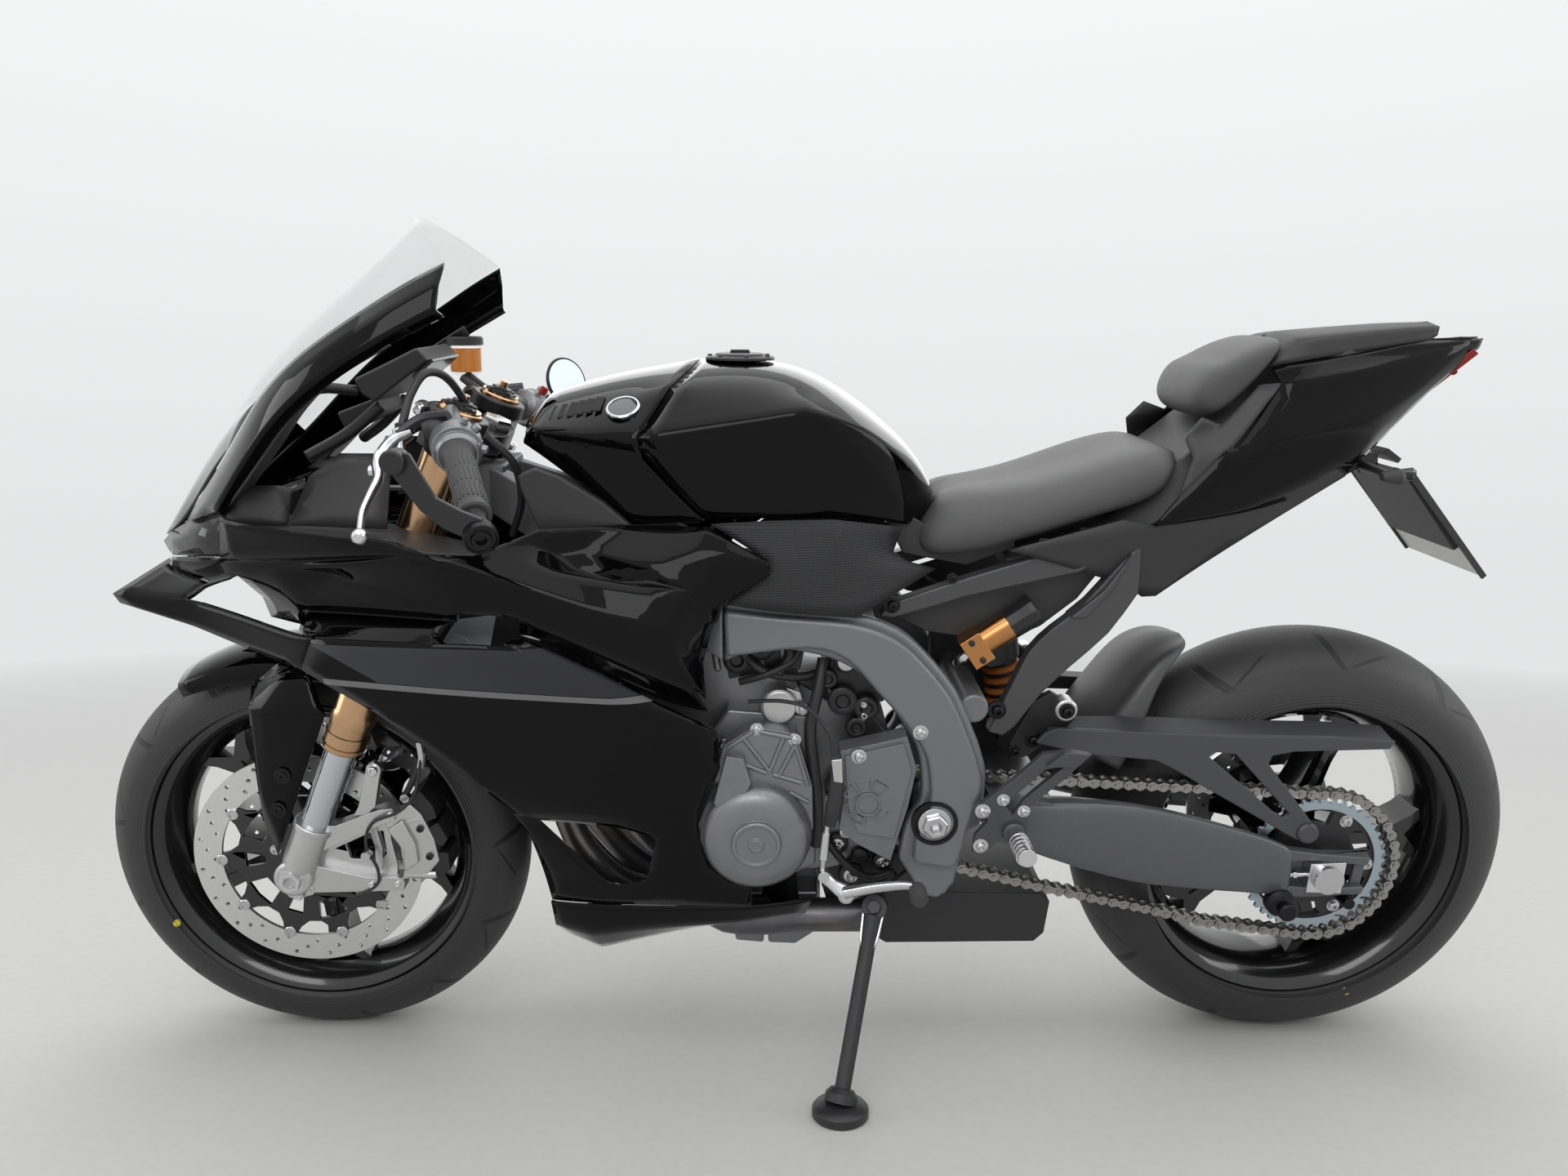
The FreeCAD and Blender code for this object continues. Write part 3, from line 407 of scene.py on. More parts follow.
# red, green and blue, then the smoothest and the roughest spot, grain size, relief and metal
PLAIN_FINISHES = named("""
    satin_black 0.024 0.024 0.026 0.32 0.42 500 0.1 0.35,
    frame_grey 0.19 0.193 0.203 0.34 0.44 500 0.1 0.35,
    rail_black 0.075 0.075 0.079 0.33 0.43 500 0.1 0.35,
    guard_grey 0.075 0.076 0.081 0.4 0.5 500 0.1 0.35,
    textured_guard 0.085 0.085 0.088 0.42 0.52 500 0.1 0.35,
    arm_black 0.11 0.112 0.118 0.26 0.36 500 0.1 0.35,
    badge_enamel 0.12 0.12 0.125 0.18 0.23 300 0 0.8,
    cast_aluminium 0.56 0.56 0.56 0.32 0.44 420 0.12 1,
    machined_aluminium 0.66 0.66 0.67 0.2 0.26 300 0 1,
    bolt_steel 0.55 0.55 0.56 0.2 0.26 300 0 1,
    black_bolt 0.03 0.03 0.032 0.35 0.45 300 0.08 1,
    reservoir_bronze 0.5 0.23 0.085 0.24 0.27 300 0 1,
    chrome 0.56 0.58 0.61 0.07 0.1 200 0 1,
    chain_steel 0.33 0.325 0.32 0.28 0.38 500 0 1,
    zinc 0.4 0.47 0.52 0.3 0.4 300 0.02 1,
    mirror_glass 0.26 0.285 0.3 0.03 0.04 50 0 1,
    silencer_black 0.04 0.04 0.043 0.42 0.54 500 0.2 0.5,
    grip_rubber 0.045 0.045 0.046 0.5 0.6 700 0.3 0,
    hose_rubber 0.02 0.02 0.022 0.38 0.48 600 0.1 0,
    dark_void 0.004 0.004 0.004 0.7 0.8 600 0.1 0,
    screen_face 0.012 0.013 0.016 0.12 0.22 100 0 0,
    radiator_black 0.02 0.02 0.021 0.5 0.6 600 0.1 0,
    plate_white 0.72 0.72 0.7 0.35 0.45 600 0.1 0,
    duct_grey 0.6 0.66 0.72 0.4 0.5 600 0.1 0,
    brake_red 0.3 0.01 0.01 0.4 0.5 600 0.1 0,
    spring_orange 0.55 0.17 0.03 0.4 0.5 600 0.1 0,
    yellow_dot 0.6 0.5 0.06 0.6 0.7 600 0.1 0,
    red_lens 0.22 0.004 0.004 0.15 0.25 200 0.05 0,
    brake_fluid 0.8 0.26 0.008 0.1 0.2 100 0 0""")

# red, green, blue and how opaque
CLEAR_FINISHES = named("""
    clear_screen 0.55 0.57 0.58 0.1, clear_pot 0.6 0.6 0.6 0.1, lamp_cover 0.012 0.012 0.014 0.86""")

# the record's finish that a finish stands for, where it has another name
SLOT_OF = pairs("""
    banded_black gloss_black, cast_aluminium bare_aluminium, clear_pot clear_screen,
    screen_face gloss_black, satin_black frame_black, knee_texture textured_black, lamp_cover lamp_lens,
    bolt_steel zinc_steel, zinc zinc_steel, silencer_black frame_black, bronze bronze_anodised,
    machined_aluminium bare_aluminium, hose_rubber grip_rubber, black_bolt frame_black,
    brake_red red_lens, brake_fluid fluid_amber, frame_grey frame_black, rail_black frame_black,
    duct_grey zinc_steel, radiator_black engine_grey, heated_pipe exhaust_black,
    arm_black frame_black, guard_grey matt_black, textured_guard matt_black,
    spring_orange bronze_anodised, reservoir_bronze bronze_anodised, yellow_dot tyre_rubber""")


def plain(name, colour, smooth, rough, grain_size, relief, metallic=0.0, detail_rough=0.5, depth=0.0005):
    """One colour with a fine grain in its roughness and relief."""
    finish = Finish(name)
    grain = finish.noise(grain_size, 3.0, detail_rough)
    finish.set(Base_Color=colour, Metallic=metallic, Roughness=finish.steps(grain, 0.3, 0.7, smooth, rough))
    finish.bump(grain, relief, depth)
    return finish


def clear(name, colour, alpha):
    """Thin clear plastic: mostly seen through, with a sharp gloss."""
    finish = Finish(name)
    haze = finish.steps(finish.noise(60.0), 0.3, 0.7, alpha * 0.85, alpha)
    return finish.set(Base_Color=colour, Roughness=0.03, Alpha=haze, Specular_IOR_Level=0.6)


def gloss_black(colours):
    """Deep black lacquer with a very light ripple."""
    finish = Finish("gloss_black").set(Base_Color=tuple(colours.bodywork), **LACQUER)
    finish.bump(finish.noise(90.0), 0.012, 0.001)
    return finish


def banded_black(colours):
    """The lower fairing's lacquer, with a dark grey field and a lighter stripe under it."""
    finish = Finish("banded_black")
    x, y, z = finish.upright()
    slope = finish.steps(x, 0.25, 0.62, 0.606, 0.628)
    front = 0.612 - (0.672 - z) * 1.6
    in_field = (z > slope) * (z < 0.6715) * (x < front)
    in_line = (z > slope - 0.009) * (z < slope - 0.001) * (x < 0.602)
    fade = finish.steps(x, 0.1, 0.6, 0.5, 1.0)
    field = finish.blend(in_field * fade, tuple(colours.bodywork), (0.05, 0.051, 0.055))
    finish.set(Base_Color=finish.blend(in_line, field, tuple(colours.stripe)), **LACQUER)
    finish.bump(finish.noise(90.0), 0.012, 0.001)
    return finish


def knee_texture():
    """Grip plastic with a fine diamond relief, its pits painted darker than the raised diamonds as painted shade."""
    finish = Finish("knee_texture")
    x, y, z = finish.upright()
    pitch = FULL_TURN / 0.0062
    waves = ((x + z) * pitch).maths("SINE") * ((x - z) * pitch).maths("SINE")
    # colour follows the relief: darker in the pits, as painted shade
    finish.set(Roughness=0.6,
               Base_Color=finish.blend(finish.steps(waves, -0.2, 0.9), (0.008, 0.008, 0.0095),
                                       (0.022, 0.023, 0.026)))
    finish.bump(waves, 0.5, 0.0008)
    return finish


def engine_grey():
    """Dark satin paint over castings."""
    finish = Finish("engine_grey")
    cast = finish.noise(350.0, 4.0)
    finish.set(Base_Color=finish.blend(finish.noise(40.0), (0.2, 0.202, 0.21), (0.25, 0.252, 0.262)),
               Metallic=0.7, Roughness=finish.steps(cast, 0.3, 0.7, 0.3, 0.42))
    finish.bump(cast, 0.18, 0.0008)
    return finish


def wheel_black():
    """Gloss powder coat of the rims."""
    finish = Finish("wheel_black")
    finish.set(Base_Color=(0.008, 0.008, 0.009), Metallic=0.2, Roughness=0.17, Coat_Weight=0.6,
               Coat_Roughness=0.05)
    finish.bump(finish.noise(260.0), 0.05, 0.0008)
    return finish


def seat_leather():
    """Seat cover with pebbled grain."""
    finish = Finish("seat_leather")
    pebbles = finish.node("ShaderNodeTexVoronoi", {"feature": "DISTANCE_TO_EDGE"}, Vector=finish.place(),
                          Scale=700.0)
    grain = pebbles * 4.0 + finish.noise(120.0) * 0.5
    finish.set(Base_Color=finish.blend(finish.noise(25.0), (0.06, 0.06, 0.061), (0.075, 0.075, 0.076)),
               Roughness=finish.steps(grain, 0.0, 1.0, 0.58, 0.46))
    finish.bump(grain, 0.3, 0.0006)
    return finish


def tyre_rubber(name, axle, crown, slashes):
    """Rubber: worn crown with slanted grooves whose depth is painted near-black as painted shade, smooth walls with
    fine raised rings near the rim.
    """
    finish = Finish(name)
    x, y, z = finish.upright(on_axis(axle))
    radius = (x * x + z * z).maths("SQRT")
    depth = crown - radius
    tread = finish.steps(depth, 0.036, 0.031)
    rings = (radius * (FULL_TURN / 0.0042)).maths("SINE") * finish.steps(radius, 0.2465, 0.2435)
    turn = x.maths("ARCTAN2", z) * (slashes / FULL_TURN)
    swept = turn + (depth * 9.0).maths("SINE") * 0.42 + (y > 0.0) * 0.5
    near = (swept.maths("FRACT") - 0.5).maths("ABSOLUTE")
    reach = finish.steps(depth, 0.002, 0.006) * finish.steps(depth, 0.042, 0.034)
    groove = finish.steps(near, 0.04, 0.03) * reach
    cross = ((turn - depth * 16.0 + 0.25).maths("FRACT") - 0.5).maths("ABSOLUTE")
    cut = finish.steps(cross, 0.026, 0.018) * finish.steps(depth, 0.012, 0.015)
    marks = groove.maths("MAXIMUM", cut * finish.steps(depth, 0.036, 0.03))
    grain = finish.noise(400.0, 3.0)
    worn = finish.blend(tread, (0.026, 0.026, 0.027), (0.036, 0.036, 0.037))
    # the grooves are painted near-black: painted shade in their depth, on top of their bump relief
    finish.set(Base_Color=finish.blend(marks, worn, (0.006, 0.006, 0.006)),
               Roughness=finish.steps(grain, 0.3, 0.7, 0.48, 0.62))
    finish.bump(rings * 0.4 + grain * 0.3 - marks * 2.0, 0.6, 0.0008)
    return finish


def turned_steel(name, axle):
    """Brake disc steel, ground in circles."""
    finish = Finish(name)
    x, y, z = finish.upright(on_axis(axle))
    scratch = finish.node("ShaderNodeTexNoise", {"noise_dimensions": "1D"}, W=(x * x + z * z).maths("SQRT"),
                          Scale=2600.0, Detail=3.0)
    colour = finish.blend(finish.steps(scratch, 0.3, 0.7), (0.55, 0.55, 0.55), (0.78, 0.78, 0.77))
    return finish.set(Base_Color=colour, Metallic=0.9, Roughness=finish.steps(scratch, 0.3, 0.7, 0.24, 0.4))


def heated_pipe():
    """Header pipe that heat has tinted from straw to blue."""
    finish = Finish("heated_pipe")
    tints = [(0.25, (0.24, 0.22, 0.19)), (0.5, (0.15, 0.145, 0.15)), (0.75, (0.10, 0.105, 0.125))]
    finish.set(Base_Color=finish.node("ShaderNodeValToRGB", {"stops": tints}, finish.noise(14.0, 3.0)),
               Metallic=0.9, Roughness=0.34)
    finish.bump(finish.noise(120.0), 0.2, 0.0008)
    return finish


def mix_finishes(colours):
    """Every finish, by name."""
    made = [gloss_black(colours), banded_black(colours), knee_texture(), engine_grey(), wheel_black(),
            seat_leather(), heated_pipe(), turned_steel("front_disc_steel", FRONT_AXLE),
            turned_steel("rear_disc_steel", REAR_AXLE), tyre_rubber("front_rubber", FRONT_AXLE, 0.3, 13.0),
            tyre_rubber("rear_rubber", REAR_AXLE, 0.315, 11.0),
            plain("matt_black", (0.028, 0.028, 0.03), 0.46, 0.6, 900.0, 0.25, 0.0, 0.6, 0.0006),
            plain("bronze", tuple(colours.fork_tube), 0.2, 0.25, 300.0, 0.0, 1.0)]
    made += [plain(name, tuple(row[:3]), *row[3:]) for name, row in PLAIN_FINISHES.items()]
    made += [clear(name, tuple(row[:3]), row[3]) for name, row in CLEAR_FINISHES.items()]
    for finish in made:
        PAINT[finish.name] = finish.material


# ------------------------------------------------------------------ shapes

def show(name, mesh):
    """A mesh as an object of the scene."""
    made = bpy.data.objects.new(name, mesh)
    bpy.context.scene.collection.objects.link(made)
    return made


def wires(name, points, edges=()):
    """Bare points, or lines between them, for a node tree to work on."""
    mesh = bpy.data.meshes.new(name)
    mesh.from_pydata(points, edges, [])
    return show(name, mesh)


def smoothed(points, steps):
    """A polyline run through its points as one smooth curve, with some steps between each pair."""
    points = [Vector(p) for p in points]
    if steps < 2:
        return points
    path = []
    for i, (b, c) in enumerate(zip(points, points[1:])):
        a = points[i - 1] if i else b * 2 - c
        d = points[i + 2] if i + 2 < len(points) else c * 2 - b
        for step in range(steps):
            t = step / steps
            path.append(0.5 * (2 * b + (c - a) * t + (2 * a - 5 * b + 4 * c - d) * t * t
                               + (3 * b - a - 3 * c + d) * t ** 3))
    return path + [points[-1]]


class Draft:
    """The mesh of one piece while it is drawn, upright and in millimetres."""

    def __init__(self):
        self.points = []
        self.faces = []

    def add(self, points, faces):
        start = len(self.points)
        self.points += [Vector(p) for p in points]
        self.faces += [[start + i for i in face] for face in faces]
        return start

    def turned(self, profile, start, axis, sides=32):
        """A form turned about an axis, from (distance along, radius) steps. Sharp steps are kept."""
        axis = Vector(axis).normalized()
        across = axis.orthogonal().normalized()
        third = axis.cross(across)
        closed = profile[0] == profile[-1] and profile[0][1] > 0
        points, rings = [], []
        for along, radius in profile[:-1] if closed else profile:
            middle = Vector(start) + axis * along
            rings.append(range(len(points), len(points) + (sides if radius > 0 else 1)))
            if radius > 0:
                for i in range(sides):
                    turn = FULL_TURN * i / sides
                    points.append(middle + across * radius * math.cos(turn) + third * radius * math.sin(turn))
            else:
                points.append(middle)
        if closed:
            rings.append(rings[0])
        faces = []
        for low, high in zip(rings, rings[1:]):
            for i in range(sides):
                j = (i + 1) % sides
                corners = (low[i % len(low)], low[j % len(low)], high[j % len(high)], high[i % len(high)])
                faces.append(list(dict.fromkeys(corners)))
        if not closed:
            faces += [list(rings[0])[::-1], list(rings[-1])]
        self.add(points, [face for face in faces if len(face) > 2])

    def bolt(self, place, axis, radius, height=None, hexagon=True, washer=True):
        """A flanged bolt or a socket screw, standing on its place."""
        height = height or radius
        if washer:
            self.turned([(-0.5, 0), (-0.5, radius * 1.35), (0.8, radius * 1.3), (1.0, 0)], place, axis, 16)
        self.turned([(0, 0), (0, radius), (height * 0.85, radius), (height, radius * 0.8),
                     (height, radius * 0.45), (height * 0.45, radius * 0.4), (height * 0.45, 0)], place, axis,
                    6 if hexagon else 16)

    def plate(self, outline, low, high, holes=()):
        """A plate with an (x, z) outline between two places across the bike, with holes if any."""
        loops = [outline, *holes]
        points = [(x, level, z) for level in (low, high) for loop in loops for x, z in loop]
        half = len(points) // 2
        caps = [list(range(half))]
        if holes:
            caps = tessellate_polygon([[Vector((x, z, 0)) for x, z in loop] for loop in loops])
        faces = [list(cap) for cap in caps] + [[i + half for i in reversed(cap)] for cap in caps]
        first = 0
        for loop in loops:
            for i in range(len(loop)):
                a, b = first + i, first + (i + 1) % len(loop)
                faces.append((b, a, a + half, b + half))
            first += len(loop)
        self.add(points, faces)

    def block(self, low, high):
        """A block between two corners."""
        (x0, y0, z0), (x1, y1, z1) = low, high
        self.plate([(x0, z0), (x1, z0), (x1, z1), (x0, z1)], y0, y1)

    def pipe(self, points, radius, sides=12, steps=4, flatten=1.0):
        """A round, or flattened, bar along a smooth path. The radius may be one per given point."""
        path = smoothed(points, steps)
        given = radius if isinstance(radius, list) else [radius] * len(points)
        rings = []
        side = None
        for i, here in enumerate(path):
            after = path[i + 1] if i + 1 < len(path) else here * 2 - path[i - 1]
            before = path[i - 1] if i else here * 2 - path[i + 1]
            run = (after - before).normalized()
            side = side or run.orthogonal()
            side = (side - run * side.dot(run)).normalized()
            up = run.cross(side)
            share = i / (len(path) - 1) * (len(given) - 1)
            k = min(int(share), len(given) - 1)
            size = given[k] + (given[(k + 1) % len(given)] - given[k]) * (share - k)
            turns = [FULL_TURN * j / sides for j in range(sides)]
            rings.append([here + side * size * math.cos(turn) + up * size * flatten * math.sin(turn)
                          for turn in turns])
        self.loft(rings)

    def loft(self, rings, open_rings=False):
        """A skin over rings that all have the same number of points, with ends unless the rings are open."""
        count = len(rings[0])
        points = [p for ring in rings for p in ring]
        faces = []
        for r in range(len(rings) - 1):
            for i in range(count - 1 if open_rings else count):
                j = (i + 1) % count
                faces.append((r * count + i, r * count + j, (r + 1) * count + j, (r + 1) * count + i))
        if not open_rings:
            faces.append(list(range(count - 1, -1, -1)))
            faces.append([len(points) - count + i for i in range(count)])
        self.add(points, faces)

    def cage(self, points, faces):
        """Named points (x, y, z), and faces as words of names."""
        names = list(points)
        self.add(points.values(), [[names.index(name) for name in face.split()] for face in faces])

    def mirror(self):
        """Adds the same thing on the other side of the bike."""
        start = len(self.points)
        self.points += [Vector((p.x, -p.y, p.z)) for p in self.points]
        self.faces += [[start + i for i in reversed(face)] for face in self.faces]

    def object(self, name, paint=None, turn=True):
        """The drawing as an object at the origin, leaned onto the stand, facing outwards."""
        mesh = bpy.data.meshes.new(name)
        mesh.from_pydata(self.points, [], self.faces)
        if paint:
            mesh.materials.append(PAINT[paint])
        work = bmesh.new()
        work.from_mesh(mesh)
        bmesh.ops.remove_doubles(work, verts=work.verts, dist=0.01)
        bmesh.ops.dissolve_degenerate(work, edges=work.edges, dist=0.001)
        bmesh.ops.recalc_face_normals(work, faces=work.faces)
        work.to_mesh(mesh)
        work.free()
        if turn:
            mesh.transform(PARK)
        return show(name, mesh)


def shade(piece, angle=38.0):
    """Smooth shading, kept sharp at corners."""
    piece.data.shade_smooth()
    piece.data.set_sharp_from_angle(angle=math.radians(angle))


def modify(piece, name, kind, **settings):
    """A modifier with its settings."""
    modifier = piece.modifiers.new(name, kind)
    for key, value in settings.items():
        setattr(modifier, key, value)


def place(draft, name, paint, instead=(), body="chassis", slot=None, rounds=0, thick=0.0, soften=0.0,
          angle=38.0):
    """Finishes a drawing as a piece: rounding, wall thickness, softened edges, and the body it rides on."""
    piece = draft.object(name, paint)
    if rounds:
        modify(piece, "Rounded", "SUBSURF", levels=rounds, render_levels=rounds,
               boundary_smooth="PRESERVE_CORNERS")
        piece.data.shade_smooth()
    else:
        shade(piece, angle)
    if thick:
        modify(piece, "Wall", "SOLIDIFY", thickness=thick * MM, offset=-1.0, use_even_offset=not rounds)
    if soften:
        modify(piece, "Softened", "BEVEL", width=soften * MM, segments=2, limit_method="ANGLE",
               angle_limit=math.radians(32), harden_normals=True)
    return settle(piece, body, slot or SLOT_OF.get(paint, paint), instead)


def settle(piece, body, slot, instead=()):
    """Declares what a piece rides on, which of the record's finishes it has and what it stands for."""
    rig.ride(piece, body)
    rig.slot(piece, slot)
    if instead:
        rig.replaces(piece, *instead)
    return piece


# ------------------------------------------------------------------ sizes and colours a user would change

class MOTORCYCLE_PG_sizes(bpy.types.PropertyGroup):
    """Sizes of the details"""
    bolt_radius: bpy.props.FloatProperty(name="Bolt head", description="Radius of the common bolt heads",
                                         default=0.005, unit="LENGTH")
    link_pitch: bpy.props.FloatProperty(name="Chain pitch", description="Distance between chain pins",
                                        default=0.01588, unit="LENGTH")
    panel_thickness: bpy.props.FloatProperty(name="Panel wall", description="Wall of the fairing panels",
                                             default=0.003, unit="LENGTH")
    disc_hole: bpy.props.FloatProperty(name="Disc hole", description="Radius of the holes in the brake discs",
                                       default=0.0031, unit="LENGTH")
    louvre_count: bpy.props.IntProperty(name="Louvres", description="Louvres in each vent of the tank cover",
                                        default=6, min=1, max=12)


class MOTORCYCLE_PG_colours(bpy.types.PropertyGroup):
    """Colours of the finishes"""
    bodywork: bpy.props.FloatVectorProperty(name="Bodywork", description="Lacquer of the panels", size=3,
                                            subtype="COLOR", default=(0.002, 0.002, 0.0025))
    fork_tube: bpy.props.FloatVectorProperty(name="Fork tubes",
                                             description="Anodised colour of the fork tubes", size=3,
                                             subtype="COLOR", default=(0.53, 0.335, 0.19))
    stripe: bpy.props.FloatVectorProperty(name="Side stripe", description="Light stripe on the lower fairing",
                                          size=3, subtype="COLOR", default=(0.17, 0.17, 0.175))
    floor: bpy.props.FloatVectorProperty(name="Floor", description="Floor under the motorcycle", size=3,
                                         subtype="COLOR", default=(0.62, 0.62, 0.61))


# ------------------------------------------------------------------ finishes of the carried-over CAD pieces

CARRIED = {"fork_stanchions": "chrome", "front_axle": "machined_aluminium", "rear_axle": "bolt_steel"}


class MOTORCYCLE_OT_finishes(bpy.types.Operator):
    """Every finish, set on the pieces that keep their CAD shape"""
    bl_idname = "motorcycle.finishes"
    bl_label = "Finishes"

    def execute(self, context):
        mix_finishes(context.scene.motorcycle_colours)
        for node, paint in CARRIED.items():
            mesh = frame["nodes"][node].data
            mesh.materials.clear()
            mesh.materials.append(PAINT[paint])
        return {"FINISHED"}


# ------------------------------------------------------------------ stage

WALL_COLOUR = (0.93, 0.935, 0.94)
HORIZON_COLOUR = (0.78, 0.785, 0.79)
CAMERA_PLACE = (0.0716, 1.4956, 0.7545)
# axis (0 ahead, 1 right, 2 up) and angle in radians, one after the other
CAMERA_TURNS = ((2, -0.0180), (1, -0.0546), (0, -0.0064))
# place, width, height and power
LAMPS = named("""
    overhead 0 0.2 3.2 5.4 3.6 60, left 0.6 3.6 2.6 3 1.6 48, right -0.4 -3.8 2.6 5 2.6 42,
    front 4.2 0.6 2 2 1.6 26, rear -4.2 0.6 2 2 1.6 26""")


class MOTORCYCLE_OT_stage(bpy.types.Operator):
    """Floor, soft lights and camera"""
    bl_idname = "motorcycle.stage"
    bl_label = "Stage"

    def execute(self, context):
        floor = Finish("floor_paint")
        speck = floor.noise(60.0, 4.0)
        colour = tuple(context.scene.motorcycle_colours.floor)
        floor.set(Base_Color=floor.blend(floor.steps(speck, 0.3, 0.7), colour,
                                         tuple(c * 1.04 for c in colour)), Roughness=0.7)
        floor.bump(speck, 0.05, 0.001)
        self.fade_floor(floor)
        half = 30.0
        mesh = bpy.data.meshes.new("floor")
        mesh.from_pydata([(-half, -half, 0), (half, -half, 0), (half, half, 0), (-half, half, 0)], [],
                         [(0, 1, 2, 3)])
        mesh.materials.append(floor.material)
        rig.stage(show("floor", mesh))
        self.light_world(context)
        self.hang_lamps(context)
        self.set_camera(context)
        context.scene.view_settings.view_transform = "Standard"
        return {"FINISHED"}

    def fade_floor(self, floor):
        """Far from the machine the floor passes into the pale wall, where it is looked at or mirrored."""
        x, y, z = floor.upright()
        far = floor.steps((x * x + y * y).maths("SQRT"), 1.8, 6.0) * floor.seen()
        near = Value(floor, floor.surface.outputs[0])
        wall = floor.node("ShaderNodeEmission", Color=HORIZON_COLOUR, Strength=1.0)
        floor.feed(floor.output.inputs["Surface"], floor.node("ShaderNodeMixShader", None, far, near, wall))

    def light_world(self, context):
        """A pale room, brighter overhead, where it is looked at or mirrored; a soft even light elsewhere."""
        world = bpy.data.worlds.new("studio")
        world.use_nodes = True
        context.scene.world = world
        world.node_tree.nodes.clear()
        room = Graph(world.node_tree)
        even = room.node("ShaderNodeBackground", Color=(1.0, 1.0, 1.0), Strength=0.45)
        low = room.node("ShaderNodeBackground", Color=HORIZON_COLOUR, Strength=1.0)
        high = room.node("ShaderNodeBackground", Color=WALL_COLOUR, Strength=1.0)
        direction = room.node("ShaderNodeSeparateXYZ", None, room.node("ShaderNodeTexCoord"))
        height = (direction.port("Z") * 2.2).maths("MAXIMUM", 0.0).maths("MINIMUM", 1.0)
        walls = room.node("ShaderNodeMixShader", None, height, low, high)
        room.node("ShaderNodeOutputWorld", None,
                  room.node("ShaderNodeMixShader", None, room.seen(), even, walls))

    def hang_lamps(self, context):
        """Large soft boxes: one overhead, one on each side, one ahead and one behind."""
        for name, (x, y, z, width, height, power) in LAMPS.items():
            lamp = bpy.data.lights.new(name + "_lamp", "AREA")
            lamp.shape = "RECTANGLE"
            lamp.size = width
            lamp.size_y = height
            lamp.energy = power
            holder = bpy.data.objects.new(name + "_lamp", lamp)
            holder.location = (x, y, z)
            holder.rotation_euler = (UP / 2 - Vector((x, y, z))).to_track_quat("-Z", "Y").to_euler()
            context.scene.collection.objects.link(holder)

    def set_camera(self, context):
        """Eye height beside the left flank, turned a little to the rear."""
        eye = bpy.data.cameras.new("camera")
        eye.lens = 25.0
        eye.sensor_width = 36.0
        ahead, right, up = Vector((0, -1, 0)), Vector((-1, 0, 0)), Vector((0, 0, 1))
        for axis, angle in CAMERA_TURNS:
            turn = Matrix.Rotation(angle, 3, (ahead, right, up)[axis])
            ahead, right, up = turn @ ahead, turn @ right, turn @ up
        holder = bpy.data.objects.new("camera", eye)
        basis = Matrix((right, up, -ahead)).transposed().to_4x4()
        holder.matrix_world = Matrix.Translation(CAMERA_PLACE) @ basis
        context.scene.collection.objects.link(holder)
        context.scene.camera = holder


# ------------------------------------------------------------------ bodywork

def panel(name, tables, paint, instead=(), slot=None, body="chassis", thick=3.0, limit=13.0, both=True):
    """Thin bodywork from cages of named points: corners sharper than the limit stay crisp."""
    draft = Draft()
    for points, faces in tables:
        draft.cage(points, faces)
    if both:
        draft.mirror()
    piece = draft.object(name, paint)
    crisp(piece.data, limit)
    modify(piece, "Rounded", "SUBSURF", levels=2, render_levels=2)
    modify(piece, "Wall", "SOLIDIFY", thickness=thick * MM, offset=-1.0)
    piece.data.shade_smooth()
    return settle(piece, body, slot or SLOT_OF.get(paint, paint), instead)


def crisp(mesh, limit, sharpness=0.88):
    """Creases the edges that turn more than the limit, and pins the corners of open borders."""
    work = bmesh.new()
    work.from_mesh(mesh)
    edge_crease = work.edges.layers.float.new("crease_edge")
    vertex_crease = work.verts.layers.float.new("crease_vert")
    for edge in work.edges:
        if len(edge.link_faces) == 2 and abs(edge.calc_face_angle_signed(0.0)) > math.radians(limit):
            edge[edge_crease] = sharpness
        elif edge.is_boundary:
            edge[edge_crease] = 1.0
    for vertex in work.verts:
        rims = [edge for edge in vertex.link_edges if edge.is_boundary]
        if len(rims) == 2:
            a, b = (edge.other_vert(vertex).co - vertex.co for edge in rims)
            if a.angle(-b, 0.0) > math.radians(22):
                vertex[vertex_crease] = 1.0
    work.to_mesh(mesh)
    work.free()


def net(rows, prefix="p"):
    """A cage from a grid of points: neighbours in and between rows are joined."""
    points = {f"{prefix}{r}_{c}": point for r, row in enumerate(rows) for c, point in enumerate(row)}
    faces = [" ".join(f"{prefix}{i}_{j}" for i, j in ((r, c), (r + 1, c), (r + 1, c + 1), (r, c + 1)))
             for r in range(len(rows) - 1) for c in range(len(rows[0]) - 1)]
    return points, faces


